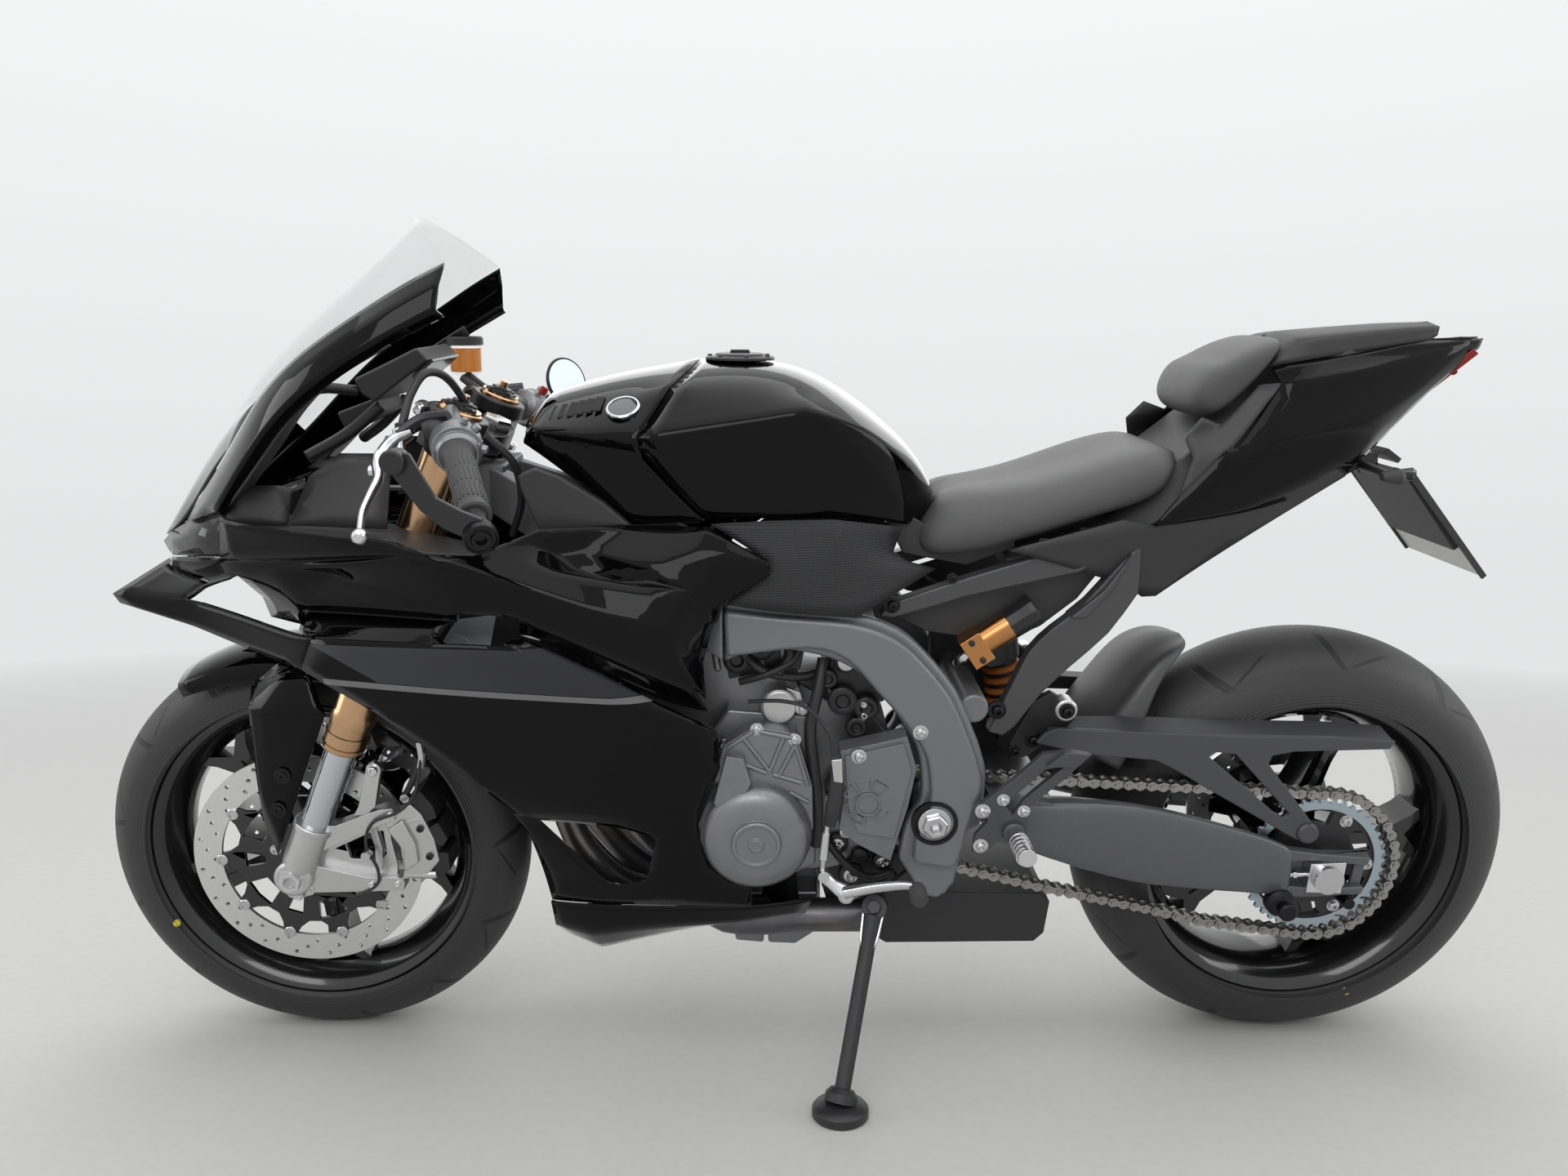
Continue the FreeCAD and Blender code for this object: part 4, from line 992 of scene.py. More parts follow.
SIDE_POINTS = named("""
    # upper edge, lower edge and lip of the shoulder
    s1 734 150 814, s2 700 171 808, s3 607 200 803, s4 503 221 802, t1 740 149 760, t2 646 182 769,
    t3 553 212 780, e0 459 238 788, n1 856 48 738, n2 800 98 749, m1 849 56 722, m2 794 92 714,
    v1 738 138 755, v2 645 170 762, v3 553 200 774, a0 804 120 701, a1 776 126 721, a2 727 138 736,
    a3 673 161 748, a4 636 176 756, a5 558 204 769, d0 596 172 749, d1 558 192 739, d2 514 212 732,
    d3 440 236 737, h1 705 124 704, h2 700 118 676, h3 645 148 674, h4 638 178 685,
    # lip over the side intake
    L1 632 184 715, L2 589 196 716, L3 514 216 717, L4 427 238 717, L5 353 243 714, l1 632 180 703,
    l2 592 190 705, l3 514 209 706, l4 429 231 707,
    # crest that runs back to the frame
    c2 345 247 753, c3 270 250 725, c4 201 247 698, c5 183 242 684, c6 172 233 660, c7 140 206 606,
    L6 268 240 676, L65 205 226 641, L7 148 209 609, u1 405 232 785, u2 359 224 775, u3 304 222 763,
    u5 205 226 747, u6 152 220 740, w0 110 200 731, w1 131 207 712, w2 126 196 692, w3 140 192 642,
    w4 136 200 598,
    # hollow and cover under the tank
    b1 335 186 808, b2 343 196 794, b3 321 182 778, b4 297 192 759, b5 248 196 746, r1 282 176 780,
    r2 269 186 767, r3 233 203 754, r4 178 216 746, k1 237 160 808, k2 178 168 809, k3 133 183 812,
    k4 90 189 788, k5 60 194 770, k6 57 194 754, k7 113 190 717, k8 121 188 694, x1 201 208 770,
    x2 147 205 782, x3 89 199 780, x4 66 197 766, x5 189 216 757,
    # black channel under the crest
    D1 358 216 684, D2 318 202 664, D3 277 192 632, D4 196 182 586, D5 135 186 574""")
SIDE_FACES = ["s1 s2 t2 t1", "s2 s3 t3 t2", "s3 s4 e0 t3", "t1 t2 v2 v1", "t2 t3 v3 v2", "t3 e0 v3",
              "n1 n2 m2 m1", "n2 t1 v1", "n2 v1 a2 m2", "m2 a2 a1 a0", "v1 v2 a4 a3 a2", "v2 v3 a5 a4",
              "v3 e0 a5", "a2 a3 L1 h1", "h1 L1 l1 h4 h3 h2", "a3 a4 d0 L1", "a4 a5 d1 d0", "a5 e0 d3 d2 d1",
              "d0 d1 L2 L1", "d1 d2 L3 L2", "d2 d3 L4 L3", "e0 c2 L5 L4 d3", "c2 c3 L6 L5", "c3 c4 L65 L6",
              "c4 c5 c6 L65", "c6 c7 L7 L65", "L1 L2 l2 l1", "L2 L3 l3 l2", "L3 L4 l4 l3", "e0 u1 u2 c2",
              "u2 u3 c3 c2", "u3 u5 c4 c3", "u5 u6 c5 c4", "u6 w1 w2 c5", "c5 w2 w3 c6", "c6 w3 w4 c7",
              "u1 b1 b2 u2", "u2 b2 b3 b4 u3", "u3 b4 b5 u5", "b1 k1 r1 b3 b2", "b3 r1 r2 b4", "b4 r2 r3 b5",
              "b5 r3 r4 u5", "u5 r4 u6", "k1 k2 x1 r1", "k2 k3 x2 x1", "k3 k4 x3 x2", "k4 k5 x4 x3",
              "k5 k6 x4", "r1 x1 r3 r2", "x1 x5 r4 r3", "x1 x2 u6 x5", "x5 u6 r4", "x2 x3 w0 u6",
              "x3 x4 k6 w0", "k6 k7 w1 w0", "w0 w1 u6", "k7 k8 w2 w1", "L5 L6 D3 D2 D1", "L6 L65 D4 D3",
              "L65 L7 D5 D4"]
WING_POINTS = named("""
    p0 909 100 701, p0b 902 99 688, p1 866 34 733, p2 781 108 719, p3 855 111 699, p4 804 121 701,
    p5 792 132 667, p6 712 163 647, p7 628 211 637, p8 783 130 698, p9 716 165 690, p10 630 211 679,
    p11 608 219 680, p12 700 96 722, p13 840 60 722""")
WING_FACES = ["p0 p3 p13 p1", "p3 p4 p2 p13", "p0 p0b p5 p3", "p3 p5 p8 p4", "p8 p5 p6 p9", "p9 p6 p7 p10",
              "p10 p7 p11"]
INTAKE_POINTS = named("""
    l1 632 180 703, l2 592 190 705, l3 514 209 706, l4 429 231 707, i1 634 160 702, i2 592 168 704,
    i3 514 186 705, i4 433 204 706, k1 636 182 677, k2 600 206 681, k3 513 216 682, k4 456 222 682,
    o1 612 214 676, o2 513 224 674, o3 440 228 673""")
INTAKE_FACES = ["l1 l2 i2 i1", "l2 l3 i3 i2", "l3 l4 i4 i3", "i1 i2 k2 k1", "i2 i3 k3 k2", "i3 i4 k4 k3",
                "k1 k2 o1", "k2 k3 o2 o1", "k3 k4 o3 o2"]
LOWER_POINTS = named("""
    T0 628 211 637, T1 608 219 678, T2 513 231 678, B1 372 241 677, B2 258 226 610, B3 122 203 552,
    C1 373 236 680, C2 354 231 685, C3 269 219 639, C4 190 204 590, C5 128 196 558, f1 582 212 606,
    f15 539 209 577, g1 450 224 600, f2 484 206 530, g2 380 212 520, h2 250 208 525, f25 428 196 479,
    q25 119 190 500, f3 388 180 428, g3 330 190 436, h3 240 194 434, q3 150 187 412, O1 358 174 417,
    O2 256 182 412, O3 203 184 396, O4 218 177 331, O5 256 170 319, O6 276 168 326, f35 371 166 387,
    f4 360 152 336, q4 138 184 355, q5 109 181 330, q6 79 179 322, b1 352 142 281, b2 303 158 285,
    b3 209 172 291, b4 79 178 291, T5 620 206 628""")
LOWER_FACES = ["T0 T1 g1 f1", "T1 T2 g1", "T2 B1 B2 g1", "f1 g1 g2 f2 f15", "g1 B2 h2 g2", "B2 B3 h2",
               "f2 g2 g3 f3 f25", "g2 h2 h3 g3", "h2 B3 q25 q3 h3", "f3 g3 O1", "g3 h3 O2 O1", "h3 q3 O3 O2",
               "q3 q4 O4 O3", "f3 O1 O6 f4 f35", "f4 O6 O5 b2 b1", "O5 O4 b3 b2", "O4 q4 q5 b3",
               "q5 q6 b4 b3", "C1 C2 C3 B2 B1", "C3 C4 C5 B3 B2"]
BELLY_ROWS = sheet("""
    354 142 278, 307 158 282, 209 171 288, 79 177 288, -2 172 300;
    351 132 236, 300 148 232, 209 160 250, 100 164 258, 6 156 268;
    338 100 200, 292 112 186, 208 122 214, 120 126 234, 12 124 258;
    330 50 190, 292 56 178, 208 60 208, 120 62 230, 14 62 256;
    328 0 188, 292 0 176, 208 0 206, 120 0 229, 14 0 256""")


class MOTORCYCLE_OT_fairings(bpy.types.Operator):
    """Upper and lower side fairings, small wings and side intakes"""
    bl_idname = "motorcycle.fairings"
    bl_label = "Fairings"

    def execute(self, context):
        wall = context.scene.motorcycle_sizes.panel_thickness / MM
        panel("side_fairings", [(SIDE_POINTS, SIDE_FACES)], "gloss_black", ["upper_fairings"], thick=wall)
        panel("wings", [(WING_POINTS, WING_FACES)], "gloss_black", ["winglets"], thick=wall * 2)
        panel("intake_throats", [(INTAKE_POINTS, INTAKE_FACES)], "gloss_black", thick=wall)
        panel("lower_side_panels", [(LOWER_POINTS, LOWER_FACES)], "banded_black", ["lower_fairings"],
              thick=wall)
        panel("belly_trough", [net(BELLY_ROWS)], "gloss_black", ["belly_pan"], thick=wall)
        return {"FINISHED"}


NOSE_LID_ROWS = sheet("""
    742 0 940, 736 60 926, 730 116 888;
    768 0 920, 764 54 900, 755 104 866;
    801 0 883, 796 46 862, 781 88 838;
    842 0 824, 838 32 810, 826 57 789;
    881 0 766, 876 16 762, 857 38 771""")
LENS_POINTS = named("""
    a 879 19 753, b 855 39 771, c 806 80 795, d 745 131 815, e 744 141 763, f 800 96 751,
    g 851 52 741, h 866 32 742, m 800 92 776, n 852 46 757""")
LENS_FACES = ["a b n h", "b c m n", "c d e m", "m e f", "n m f g", "n g h"]


class MOTORCYCLE_OT_nose(bpy.types.Operator):
    """Nose, the bands beside the screen and the headlight"""
    bl_idname = "motorcycle.nose"
    bl_label = "Nose"

    def execute(self, context):
        wall = context.scene.motorcycle_sizes.panel_thickness / MM
        upper = at("826 58 788, 780 90 838, 732 120 885, 686 146 940, 657 156 972, 618 162 1006, "
                   "578 163 1034, 526 158 1067, 482 149 1095, 441 138 1116")
        lower = at("745 134 814, 737 152 822, 696 178 869, 648 196 925, 617 198 955, 582 197 982, "
                   "558 195 999, 519 190 1023, 476 180 1046, 446 168 1062")
        middle = [tuple(a * 0.55 + b * 0.45 for a, b in zip(p, q)) for p, q in zip(upper, lower)]
        middle = [(x, y + 7, z + 1) for x, y, z in middle]
        inner = [(x - 6, y - 14, z - 8) for x, y, z in lower]
        panel("screen_bands", [net([upper, middle, lower, inner])], "gloss_black", ["nose_cowl"], thick=wall,
              limit=24)
        panel("nose_lid", [net(NOSE_LID_ROWS)], "gloss_black", thick=wall, limit=30)
        self.headlight()
        return {"FINISHED"}

    def headlight(self):
        """A dark clear lens over a centre duct, two side lamps and their chrome steps."""
        draft = Draft()
        draft.cage(LENS_POINTS, LENS_FACES)
        draft.mirror()
        piece = draft.object("lamp_lenses", "lamp_cover")
        crisp(piece.data, 9, 1.0)
        shade(piece, 10)
        modify(piece, "Wall", "SOLIDIFY", thickness=2.5 * MM)
        settle(piece, "chassis", "lamp_lens", ["headlight"])
        draft = Draft()
        for side in SIDES:
            for step in range(4):
                drop = step * 9
                a = Vector((862 - step * 14, side * (28 + step * 9), 764 - drop * 0.7))
                b = Vector((800 - step * 10, side * (76 + step * 6), 787 - drop))
                c = Vector((752, side * (120 + step * 3), 805 - drop * 1.15))
                draft.pipe([a, b, c], [1.6, 2.4, 2.4], 6, 3)
            draft.turned(at("0 0, 0 17, 14 19, 16 15, 9 12, 6 0"), (806, side * 58, 758),
                         (1, side * 0.5, -0.05))
            draft.turned(at("0 0, 0 11, 5 9, 9 5, 10 0"), (812, side * 60, 758), (1, side * 0.5, -0.05), 24)
        place(draft, "lamp_reflectors", "cast_aluminium", slot="lamp_lens")
        back = Draft()
        back.loft(sheet("868 14 748, 868 -14 748, 862 -16 738, 862 16 738; 800 74 772, 800 -74 772, "
                        "800 -84 736, 800 84 736; 735 120 806, 735 -120 806, 735 -128 730, 735 128 730"))
        place(back, "lamp_housing", "matt_black", soften=2)


class MOTORCYCLE_OT_windscreen(bpy.types.Operator):
    """Clear double-bubble windscreen with its rounded top edge"""
    bl_idname = "motorcycle.windscreen"
    bl_label = "Windscreen"

    def execute(self, context):
        middle = at("506 1172, 524 1157, 542 1139, 581 1104, 625 1064, 674 1020, 720 976, 744 942")
        edges = at("443 136 1118, 462 142 1108, 484 147 1096, 528 156 1068, 580 161 1036, 659 154 974, "
                   "688 144 940, 732 118 888")
        shares = (-1, -0.86, -0.66, -0.34, 0, 0.34, 0.66, 0.86, 1)
        rows = []
        for (x, z), (edge_x, half, edge_z) in zip(middle, edges):
            row = []
            for share in shares:
                drop = abs(share) ** 2.1
                row.append((x + (edge_x - x) * drop, half * share, z + (edge_z - z) * drop))
            rows.append(row)
        panel("screen", [net(rows)], "clear_screen", ["windscreen"], thick=2.6, limit=60, both=False)
        rim = Draft()
        rim.pipe(rows[0], 1.8, 8)
        place(rim, "screen_edge", "clear_pot")
        return {"FINISHED"}


SHELF_ROWS = sheet("""
    737 148 812, 700 168 805, 607 197 801, 503 218 800, 462 232 789, 402 228 786;
    735 120 800, 700 130 798, 607 150 798, 503 168 794, 462 176 782, 402 176 778;
    733 92 806, 700 96 806, 607 104 806, 503 118 796, 462 128 782, 402 134 776""")
WALL_ROWS = sheet("""
    735 138 818, 700 164 850, 655 178 900, 618 184 945, 566 182 988, 500 176 1024;
    728 104 822, 700 118 856, 660 124 900, 622 142 948, 566 148 996, 500 150 1036""")
FRONT_HUMP_POINTS = named("""
    a 735 140 800, b 724 136 834, c 714 126 849, d 671 126 850, e 656 132 816, f 656 140 802,
    g 724 96 836, h 664 96 840""")
FRONT_HUMP_FACES = ["a b c d e f", "c b g", "c g h d", "d h e"]
REAR_HUMP_POINTS = named("""
    a 652 150 804, b 646 140 820, c 630 126 860, d 606 120 879, e 548 124 879, f 528 130 864,
    g 528 160 802, h 604 88 884, i 546 88 884""")
REAR_HUMP_FACES = ["a b c d e f g", "c h i e d", "e i f"]


class MOTORCYCLE_OT_cockpit_walls(bpy.types.Operator):
    """Matt walls inside the nose, instrument housing and display"""
    bl_idname = "motorcycle.cockpit_walls"
    bl_label = "Cockpit walls"

    def execute(self, context):
        panel("cockpit_shelves",
              [net(SHELF_ROWS, "s"), (FRONT_HUMP_POINTS, FRONT_HUMP_FACES),
               (REAR_HUMP_POINTS, REAR_HUMP_FACES)], "matt_black", ["inner_cowl"], thick=3, limit=20)
        panel("cockpit_walls", [net(WALL_ROWS, "w")], "matt_black", thick=3, limit=30)
        arm = Draft()
        arm.plate(at("366 868, 342 878, 314 868, 262 836, 228 806, 342 799, 352 822, 362 850"), 144, 158)
        arm.mirror()
        place(arm, "tank_arms", "matt_black", soften=4)
        dash = Draft()
        dash.plate(at("586 975, 548 993, 503 1015, 489 999, 522 976, 562 946, 578 956"), -68, 68)
        dash.plate(at("566 950, 620 930, 610 905, 560 930"), -46, 46)
        place(dash, "instrument_housing", "matt_black", ["instrument_panel"], soften=4)
        face = Draft()
        face.loft([[(512, y, 975), (485.5, y, 997), (487, y, 1001), (514, y, 979)] for y in (-60, 60)])
        place(face, "display", "screen_face", soften=1)
        stay = Draft()
        for side in SIDES:
            stay.pipe([(585, side * 60, 960), (620, side * 92, 965), (640, side * 120, 950)], 7, 10)
            stay.pipe([(560, side * 50, 940), (600, side * 70, 905), (640, side * 100, 880)], 8, 10)
        place(stay, "nose_stays", "satin_black")
        return {"FINISHED"}


TANK_ROWS = sheet("""
    150 0 1001, 160 70 990, 180 118 972, 216 165 917, 214 168 902, 184 165 862, 137 161 816;
    98 0 1005, 99 76 996, 104 132 972, 113 174 934, 104 173 915, 90 167 866, 76 162 818;
    20 0 998, 20 78 989, 18 130 972, 14 168 950, 8 168 930, 2 164 874, -6 159 820;
    -45 0 961, -45 64 956, -45 108 947, -43 142 934, -42 145 914, -42 144 866, -46 142 818;
    -95 0 921, -95 50 918, -94 84 913, -90 114 904, -88 121 886, -88 123 846, -92 120 807;
    -140 0 880, -140 34 878, -139 60 872, -136 80 860, -130 92 844, -124 104 820, -118 106 800;
    -168 0 826, -167 26 825, -164 44 822, -158 58 817, -151 68 813, -144 76 810, -138 82 806""")
COVER_ROWS = sheet("""
    152 0 1002, 162 70 991, 182 118 973, 218 165 917, 212 167 890, 172 164 846, 139 161 814;
    222 0 991, 222 66 983, 228 116 962, 248 158 918, 246 157 893, 240 152 846, 228 146 806;
    278 0 979, 278 60 971, 281 106 950, 284 149 918, 284 149 899, 282 146 872, 278 140 843;
    343 0 960, 343 50 955, 347 86 940, 353 120 919, 350 122 906, 342 122 894, 331 120 880;
    372 0 928, 371 40 927, 369 76 922, 364 104 912, 365 107 908, 366 108 905, 366 108 901""")
KNEE_POINTS = named("""
    a 131 163 811, b 60 163 816, c -21 160 817, d -112 112 798, e -101 119 768, f -118 121 756,
    g -156 123 746, h -51 168 693, i 55 184 704, j 112 186 715, k 60 179 753, l 62 178 770,
    m 0 176 760, n -62 158 757""")
KNEE_FACES = ["a b l", "b c m l", "l m k", "k m i j", "c d e n", "c n m", "n e f g", "n g h", "m n h i"]
BADGE_RING = at("-2 18, -2 21.5, 1.6 21.5, 2.6 20, 2.4 18.4, 1.4 18, -2 18")
BADGE_FACE = at("-2 0, -2 18.2, 1.0 18.2, 1.9 9, 2.1 0")
LOUVRE_ENDS = sheet("""
    -5 12 -7, 5 12 -7, 5.6 12 -5.4, -4.4 12 -5.4;
    -9 -12 7, 1 -12 7, 1.6 -12 8.6, -8.4 -12 8.6""")


class MOTORCYCLE_OT_tank(bpy.types.Operator):
    """Fuel tank, its front cover with vents and badge, and the knee covers"""
    bl_idname = "motorcycle.tank"
    bl_label = "Tank"

    def execute(self, context):
        panel("tank_shell", [net(TANK_ROWS)], "gloss_black", ["fuel_tank"], thick=4, limit=26)
        panel("tank_front_cover", [net(COVER_ROWS)], "gloss_black", ["tank_cover"], thick=3, limit=24)
        panel("knee_grips", [(KNEE_POINTS, KNEE_FACES)], "knee_texture", ["knee_covers"], thick=3, limit=40)
        self.details(context)
        return {"FINISHED"}

    def details(self, context):
        """Filler cap, bare badge and the slanted louvres beside it, in a near-black matt that paints the shade inside
        the vents.
        """
        metalwork = Draft()
        metalwork.turned(at("0 0, 0 46, 3 46, 5 43, 5 34, 8 32, 9 26, 9 0"), (98, 0, 1000), UP, 48)
        for i in range(7):
            x, y = around((98, 0), 40, FULL_TURN * i / 7)
            metalwork.bolt((x, y, 1004.5), UP, 3.2, 2.4, False, False)
        metalwork.plate(at("84 1008, 112 1008, 110 1013, 86 1013"), -9, 9)
        place(metalwork, "filler_cap", "satin_black", slot="gloss_black", soften=0.6)
        for name, profile, paint in (("badge_rings", BADGE_RING, "chrome"),
                                     ("blank_badges", BADGE_FACE, "badge_enamel")):
            badge = Draft()
            for side in SIDES:
                lift = Vector((0.12, side * 0.52, 0.85)).normalized()
                badge.turned(profile, Vector((238, side * 126, 946)) + lift * 2.5, lift, 48)
            place(badge, name, paint, slot="bare_aluminium")
        tree = Tree("louvre_row", Louvre="Object", Count="Int", Finish="Material")
        louvre = tree.node("GeometryNodeObjectInfo", Object=tree.given("Louvre")).port("Geometry")
        line = tree.node("GeometryNodeMeshToCurve", Mesh=tree.given("Geometry"))
        spaced = tree.node("GeometryNodeResampleCurve", {"mode": "COUNT"}, Curve=line,
                           Count=tree.given("Count"))
        tree.close(tree.node("GeometryNodeInstanceOnPoints", Points=spaced, Instance=louvre))
        for side, word in ((1, "left"), (-1, "right")):
            slat = Draft()
            slat.loft([[(x, side * y, z) for x, y, z in row] for row in LOUVRE_ENDS])
            pattern = slat.object("louvre_pattern", turn=False)
            source = wires("louvre_line", [(272, side * 112, 950), (328, side * 97, 937)], [(0, 1)])
            # the louvres take a near-black matt finish: painted shade inside the vents
            row = tree.apply(source, "louvres_" + word, "dark_void", Louvre=pattern,
                             Count=context.scene.motorcycle_sizes.louvre_count)
            bpy.data.objects.remove(pattern)
            settle(row, "chassis", "matt_black")


# half sections from the middle of the top, over the edge, to the middle underneath
SEAT_ROWS = sheet("""
    -176 0 836, -166 46 838, -146 84 828, -112 110 788, -114 110 762, -150 60 764, -178 0 768;
    -215 0 838, -212 55 840, -202 100 834, -178 128 800, -166 124 750, -190 60 757, -215 0 762;
    -290 0 851, -288 62 853, -280 116 848, -262 140 816, -250 137 776, -275 60 782, -290 0 786;
    -370 0 881, -368 64 883, -360 120 878, -346 145 850, -336 142 806, -352 60 810, -370 0 814;
    -428 0 900, -428 64 902, -426 118 899, -424 141 876, -410 138 826, -420 60 832, -428 0 836;
    -466 0 898, -467 60 899, -470 108 899, -473 128 890, -460 126 854, -462 60 856, -464 0 858""")


class MOTORCYCLE_OT_seat(bpy.types.Operator):
    """Rider's seat and the pad on the tail"""
    bl_idname = "motorcycle.seat"
    bl_label = "Seat"

    def execute(self, context):
        draft = Draft()
        draft.loft([half + [(x, -y, z) for x, y, z in reversed(half[1:-1])] for half in SEAT_ROWS])
        seat = place(draft, "seat_cushion", "seat_leather", ["rider_seat"], rounds=3)
        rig.padded(seat, fill=0.7)
        tail_pad = Draft()
        outline = at("-500 1000, -486 978, -482 955, -492 938, -508 934, -528 948, -560 982, -600 1038, "
                     "-580 1036, -548 1024, -518 1006")
        centre = (-535, 984)
        rings = []
        for y, share in at("-90 0.55, -84 0.85, -70 0.98, -30 1.03, 30 1.03, 70 0.98, 84 0.85, 90 0.55"):
            rings.append([(centre[0] + (x - centre[0]) * share, y, centre[1] + (z - centre[1]) * share)
                          for x, z in outline])
        tail_pad.loft(rings)
        pad = place(tail_pad, "tail_cushion", "seat_leather", ["tail_pad"], rounds=2)
        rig.padded(pad, fill=0.8)
        return {"FINISHED"}


TAIL_POINTS = named("""
    a -576 86 1001, f -584 102 982, g -682 86 996, h -846 37 1028, d -846 34 1035, c -793 45 1035,
    i -538 124 918, j -696 101 933, k -790 62 978, l -525 129 905, m -717 92 925, n -684 98 869,
    o -582 114 822, p -426 142 807, q -449 141 839, r -509 131 903, e -878 24 1037, s -877 22 1025,
    t -812 44 975, u -769 52 933, v -750 58 915, E -888 0 1038, S -885 0 1027, T -812 0 972, V -755 0 905""")
TAIL_FACES = ["a f g h d c", "f i j k h g", "i l j", "l m j", "l n m", "l r q o n", "q p o", "d h s e",
              "h k t s", "k j m u t", "m v u", "e s S E", "s t T S", "t u v V T", "m n v"]
COWL_POINTS = named("""
    x1 -574 84 1003, x2 -606 74 1036, x3 -765 51 1051, x4 -808 40 1052, x5 -808 38 1041, x6 -796 44 1035,
    z1 -600 0 1040, z2 -618 0 1047, z3 -765 0 1060, z4 -814 0 1058""")
COWL_FACES = ["x1 x6 x3 x2", "x6 x5 x4 x3", "x2 x3 z3 z2", "x3 x4 z4 z3", "x1 x2 z2 z1"]
FLANK_POINTS = named("""
    # matt panel from the seat up to the pad, and the skirt under the seat
    a -452 140 841, b -509 132 903, c -516 130 902, d -584 100 983, e -558 94 980, f -512 104 930,
    g -484 112 940, h -462 118 915, i -470 130 892""")
FLANK_FACES = ["a b i", "b c f h i", "c d e f", "f g h"]
SKIRT_POINTS = named("""
    a -244 139 774, b -320 142 796, c -386 143 815, d -426 140 806, e -582 108 834, f -707 86 903,
    g -692 78 862, h -528 90 758, i -450 104 706, j -430 108 706, k -406 116 722, l -345 130 745,
    m -470 122 776""")
SKIRT_FACES = ["a b l", "b c k l", "c d m k", "d e m", "e h m", "e f g h", "h i j m", "j k m"]


# x, three heights and half width
TAIL_STATIONS = at("""
    -250 740 752 764 94, -380 762 778 806 112, -470 790 830 888 118, -560 826 900 966 104,
    -680 874 940 1026 80, -780 944 995 1038 48""")
# x, bottom, top and half width
PLATE_ARM_STATIONS = at("""
    -632 826 852 26, -700 842 872 24, -735 862 886 22, -766 868 884 20""")


class MOTORCYCLE_OT_tail(bpy.types.Operator):
    """Tail panels, tail cowl, skirt, lamp, and the plate on its bracket"""
    bl_idname = "motorcycle.tail"
    bl_label = "Tail"

    def execute(self, context):
        panel("tail_panels", [(TAIL_POINTS, TAIL_FACES)], "gloss_black", ["tail_fairing"], thick=3, limit=9)
        panel("tail_cowl", [(COWL_POINTS, COWL_FACES)], "matt_black", thick=3, limit=22)
        panel("tail_flanks", [(FLANK_POINTS, FLANK_FACES), (SKIRT_POINTS, SKIRT_FACES)], "matt_black",
              ["tail_undertray"], thick=3, limit=14)
        core = Draft()
        core.loft([[(x, h, low), (x, h * 1.05, mid), (x, h * 0.8, high), (x, -h * 0.8, high),
                    (x, -h * 1.05, mid), (x, -h, low)] for x, low, mid, high, h in TAIL_STATIONS])
        place(core, "tail_core", "matt_black", soften=3)
        lamp = Draft()
        lamp.plate(at("-815 970, -870 1018, -862 1024, -808 984"), -33, 33)
        for i in range(6):
            lamp.turned(at("0 0, 0 4.5, 2 3.6, 2.6 0"), (-846, -25 + i * 10, 993), (-0.66, 0, -0.75), 16)
        place(lamp, "tail_lamp", "red_lens", ["tail_light"], soften=1.2)
        self.plate_holder()
        return {"FINISHED"}

    def plate_holder(self):
        arm = Draft()
        arm.loft([[(x, h, z0), (x, h * 0.8, z1), (x, -h * 0.8, z1), (x, -h, z0)]
                  for x, z0, z1, h in PLATE_ARM_STATIONS])
        arm.plate(at("-764 872, -773 866, -858 768, -852 764"), -78, 78)
        arm.pipe(at("-738 -96 866, -742 -40 868, -742 40 868, -738 96 866"), 6.5, 12, 3)
        for side in SIDES:
            arm.plate(at("-771 864, -776 869, -894 733, -889 728"), *sorted((side * 86.5, side * 91)))
            arm.pipe([(-752, side * 96, 868), (-744, side * 104, 867), (-724, side * 106, 866)], [9, 12.5, 6],
                     14, 3, flatten=0.8)
            arm.bolt((-776, side * 48, 850), (-0.75, 0, 0.66), 4, 3)
        place(arm, "plate_arm", "matt_black", ["plate_bracket"], soften=2)
        lens = Draft()
        for side in SIDES:
            lens.pipe([(-754, side * 96, 868), (-766, side * 99, 869), (-771, side * 101, 869)], [8.5, 10, 5],
                      14, 3, flatten=0.8)
        place(lens, "indicator_lenses", "lamp_cover")
        sign = Draft()
        sign.plate(at("-773.5 866, -775.5 868, -893.5 732, -891.5 730"), -90, 90)
        place(sign, "blank_plate", "plate_white", ["number_plate"], soften=0.6)
        screws = Draft()
        for y in (-60, 60):
            screws.bolt((-788, y, 853), (-0.75, 0, 0.66), 4.5, 2.5, False)
        lamp = at("-770 884, -790 872, -794 878, -774 892")
        screws.plate(lamp, -26, 26)
        place(screws, "plate_lamp", "matt_black", soften=1)


# ------------------------------------------------------------------ wheels, brakes and chain

def spun(points, angle, axle):
    """Outline points (radial, sideways) turned to an angle about an axle, as (x, z)."""
    c, s = math.cos(math.radians(angle)), math.sin(math.radians(angle))
    return [(axle[0] + u * c - v * s, axle[1] + u * s + v * c) for u, v in points]


def rayed(corners, count, axle):
    """An outline that repeats its (radius, angle) corners a number of times around an axle."""
    return [spun([(radius, 0)], i * 360 / count + shift, axle)[0] for i in range(count)
            for radius, shift in corners]


def round_hole(centre, radius, sides=14):
    return [around(centre, radius, FULL_TURN * i / sides) for i in range(sides)]


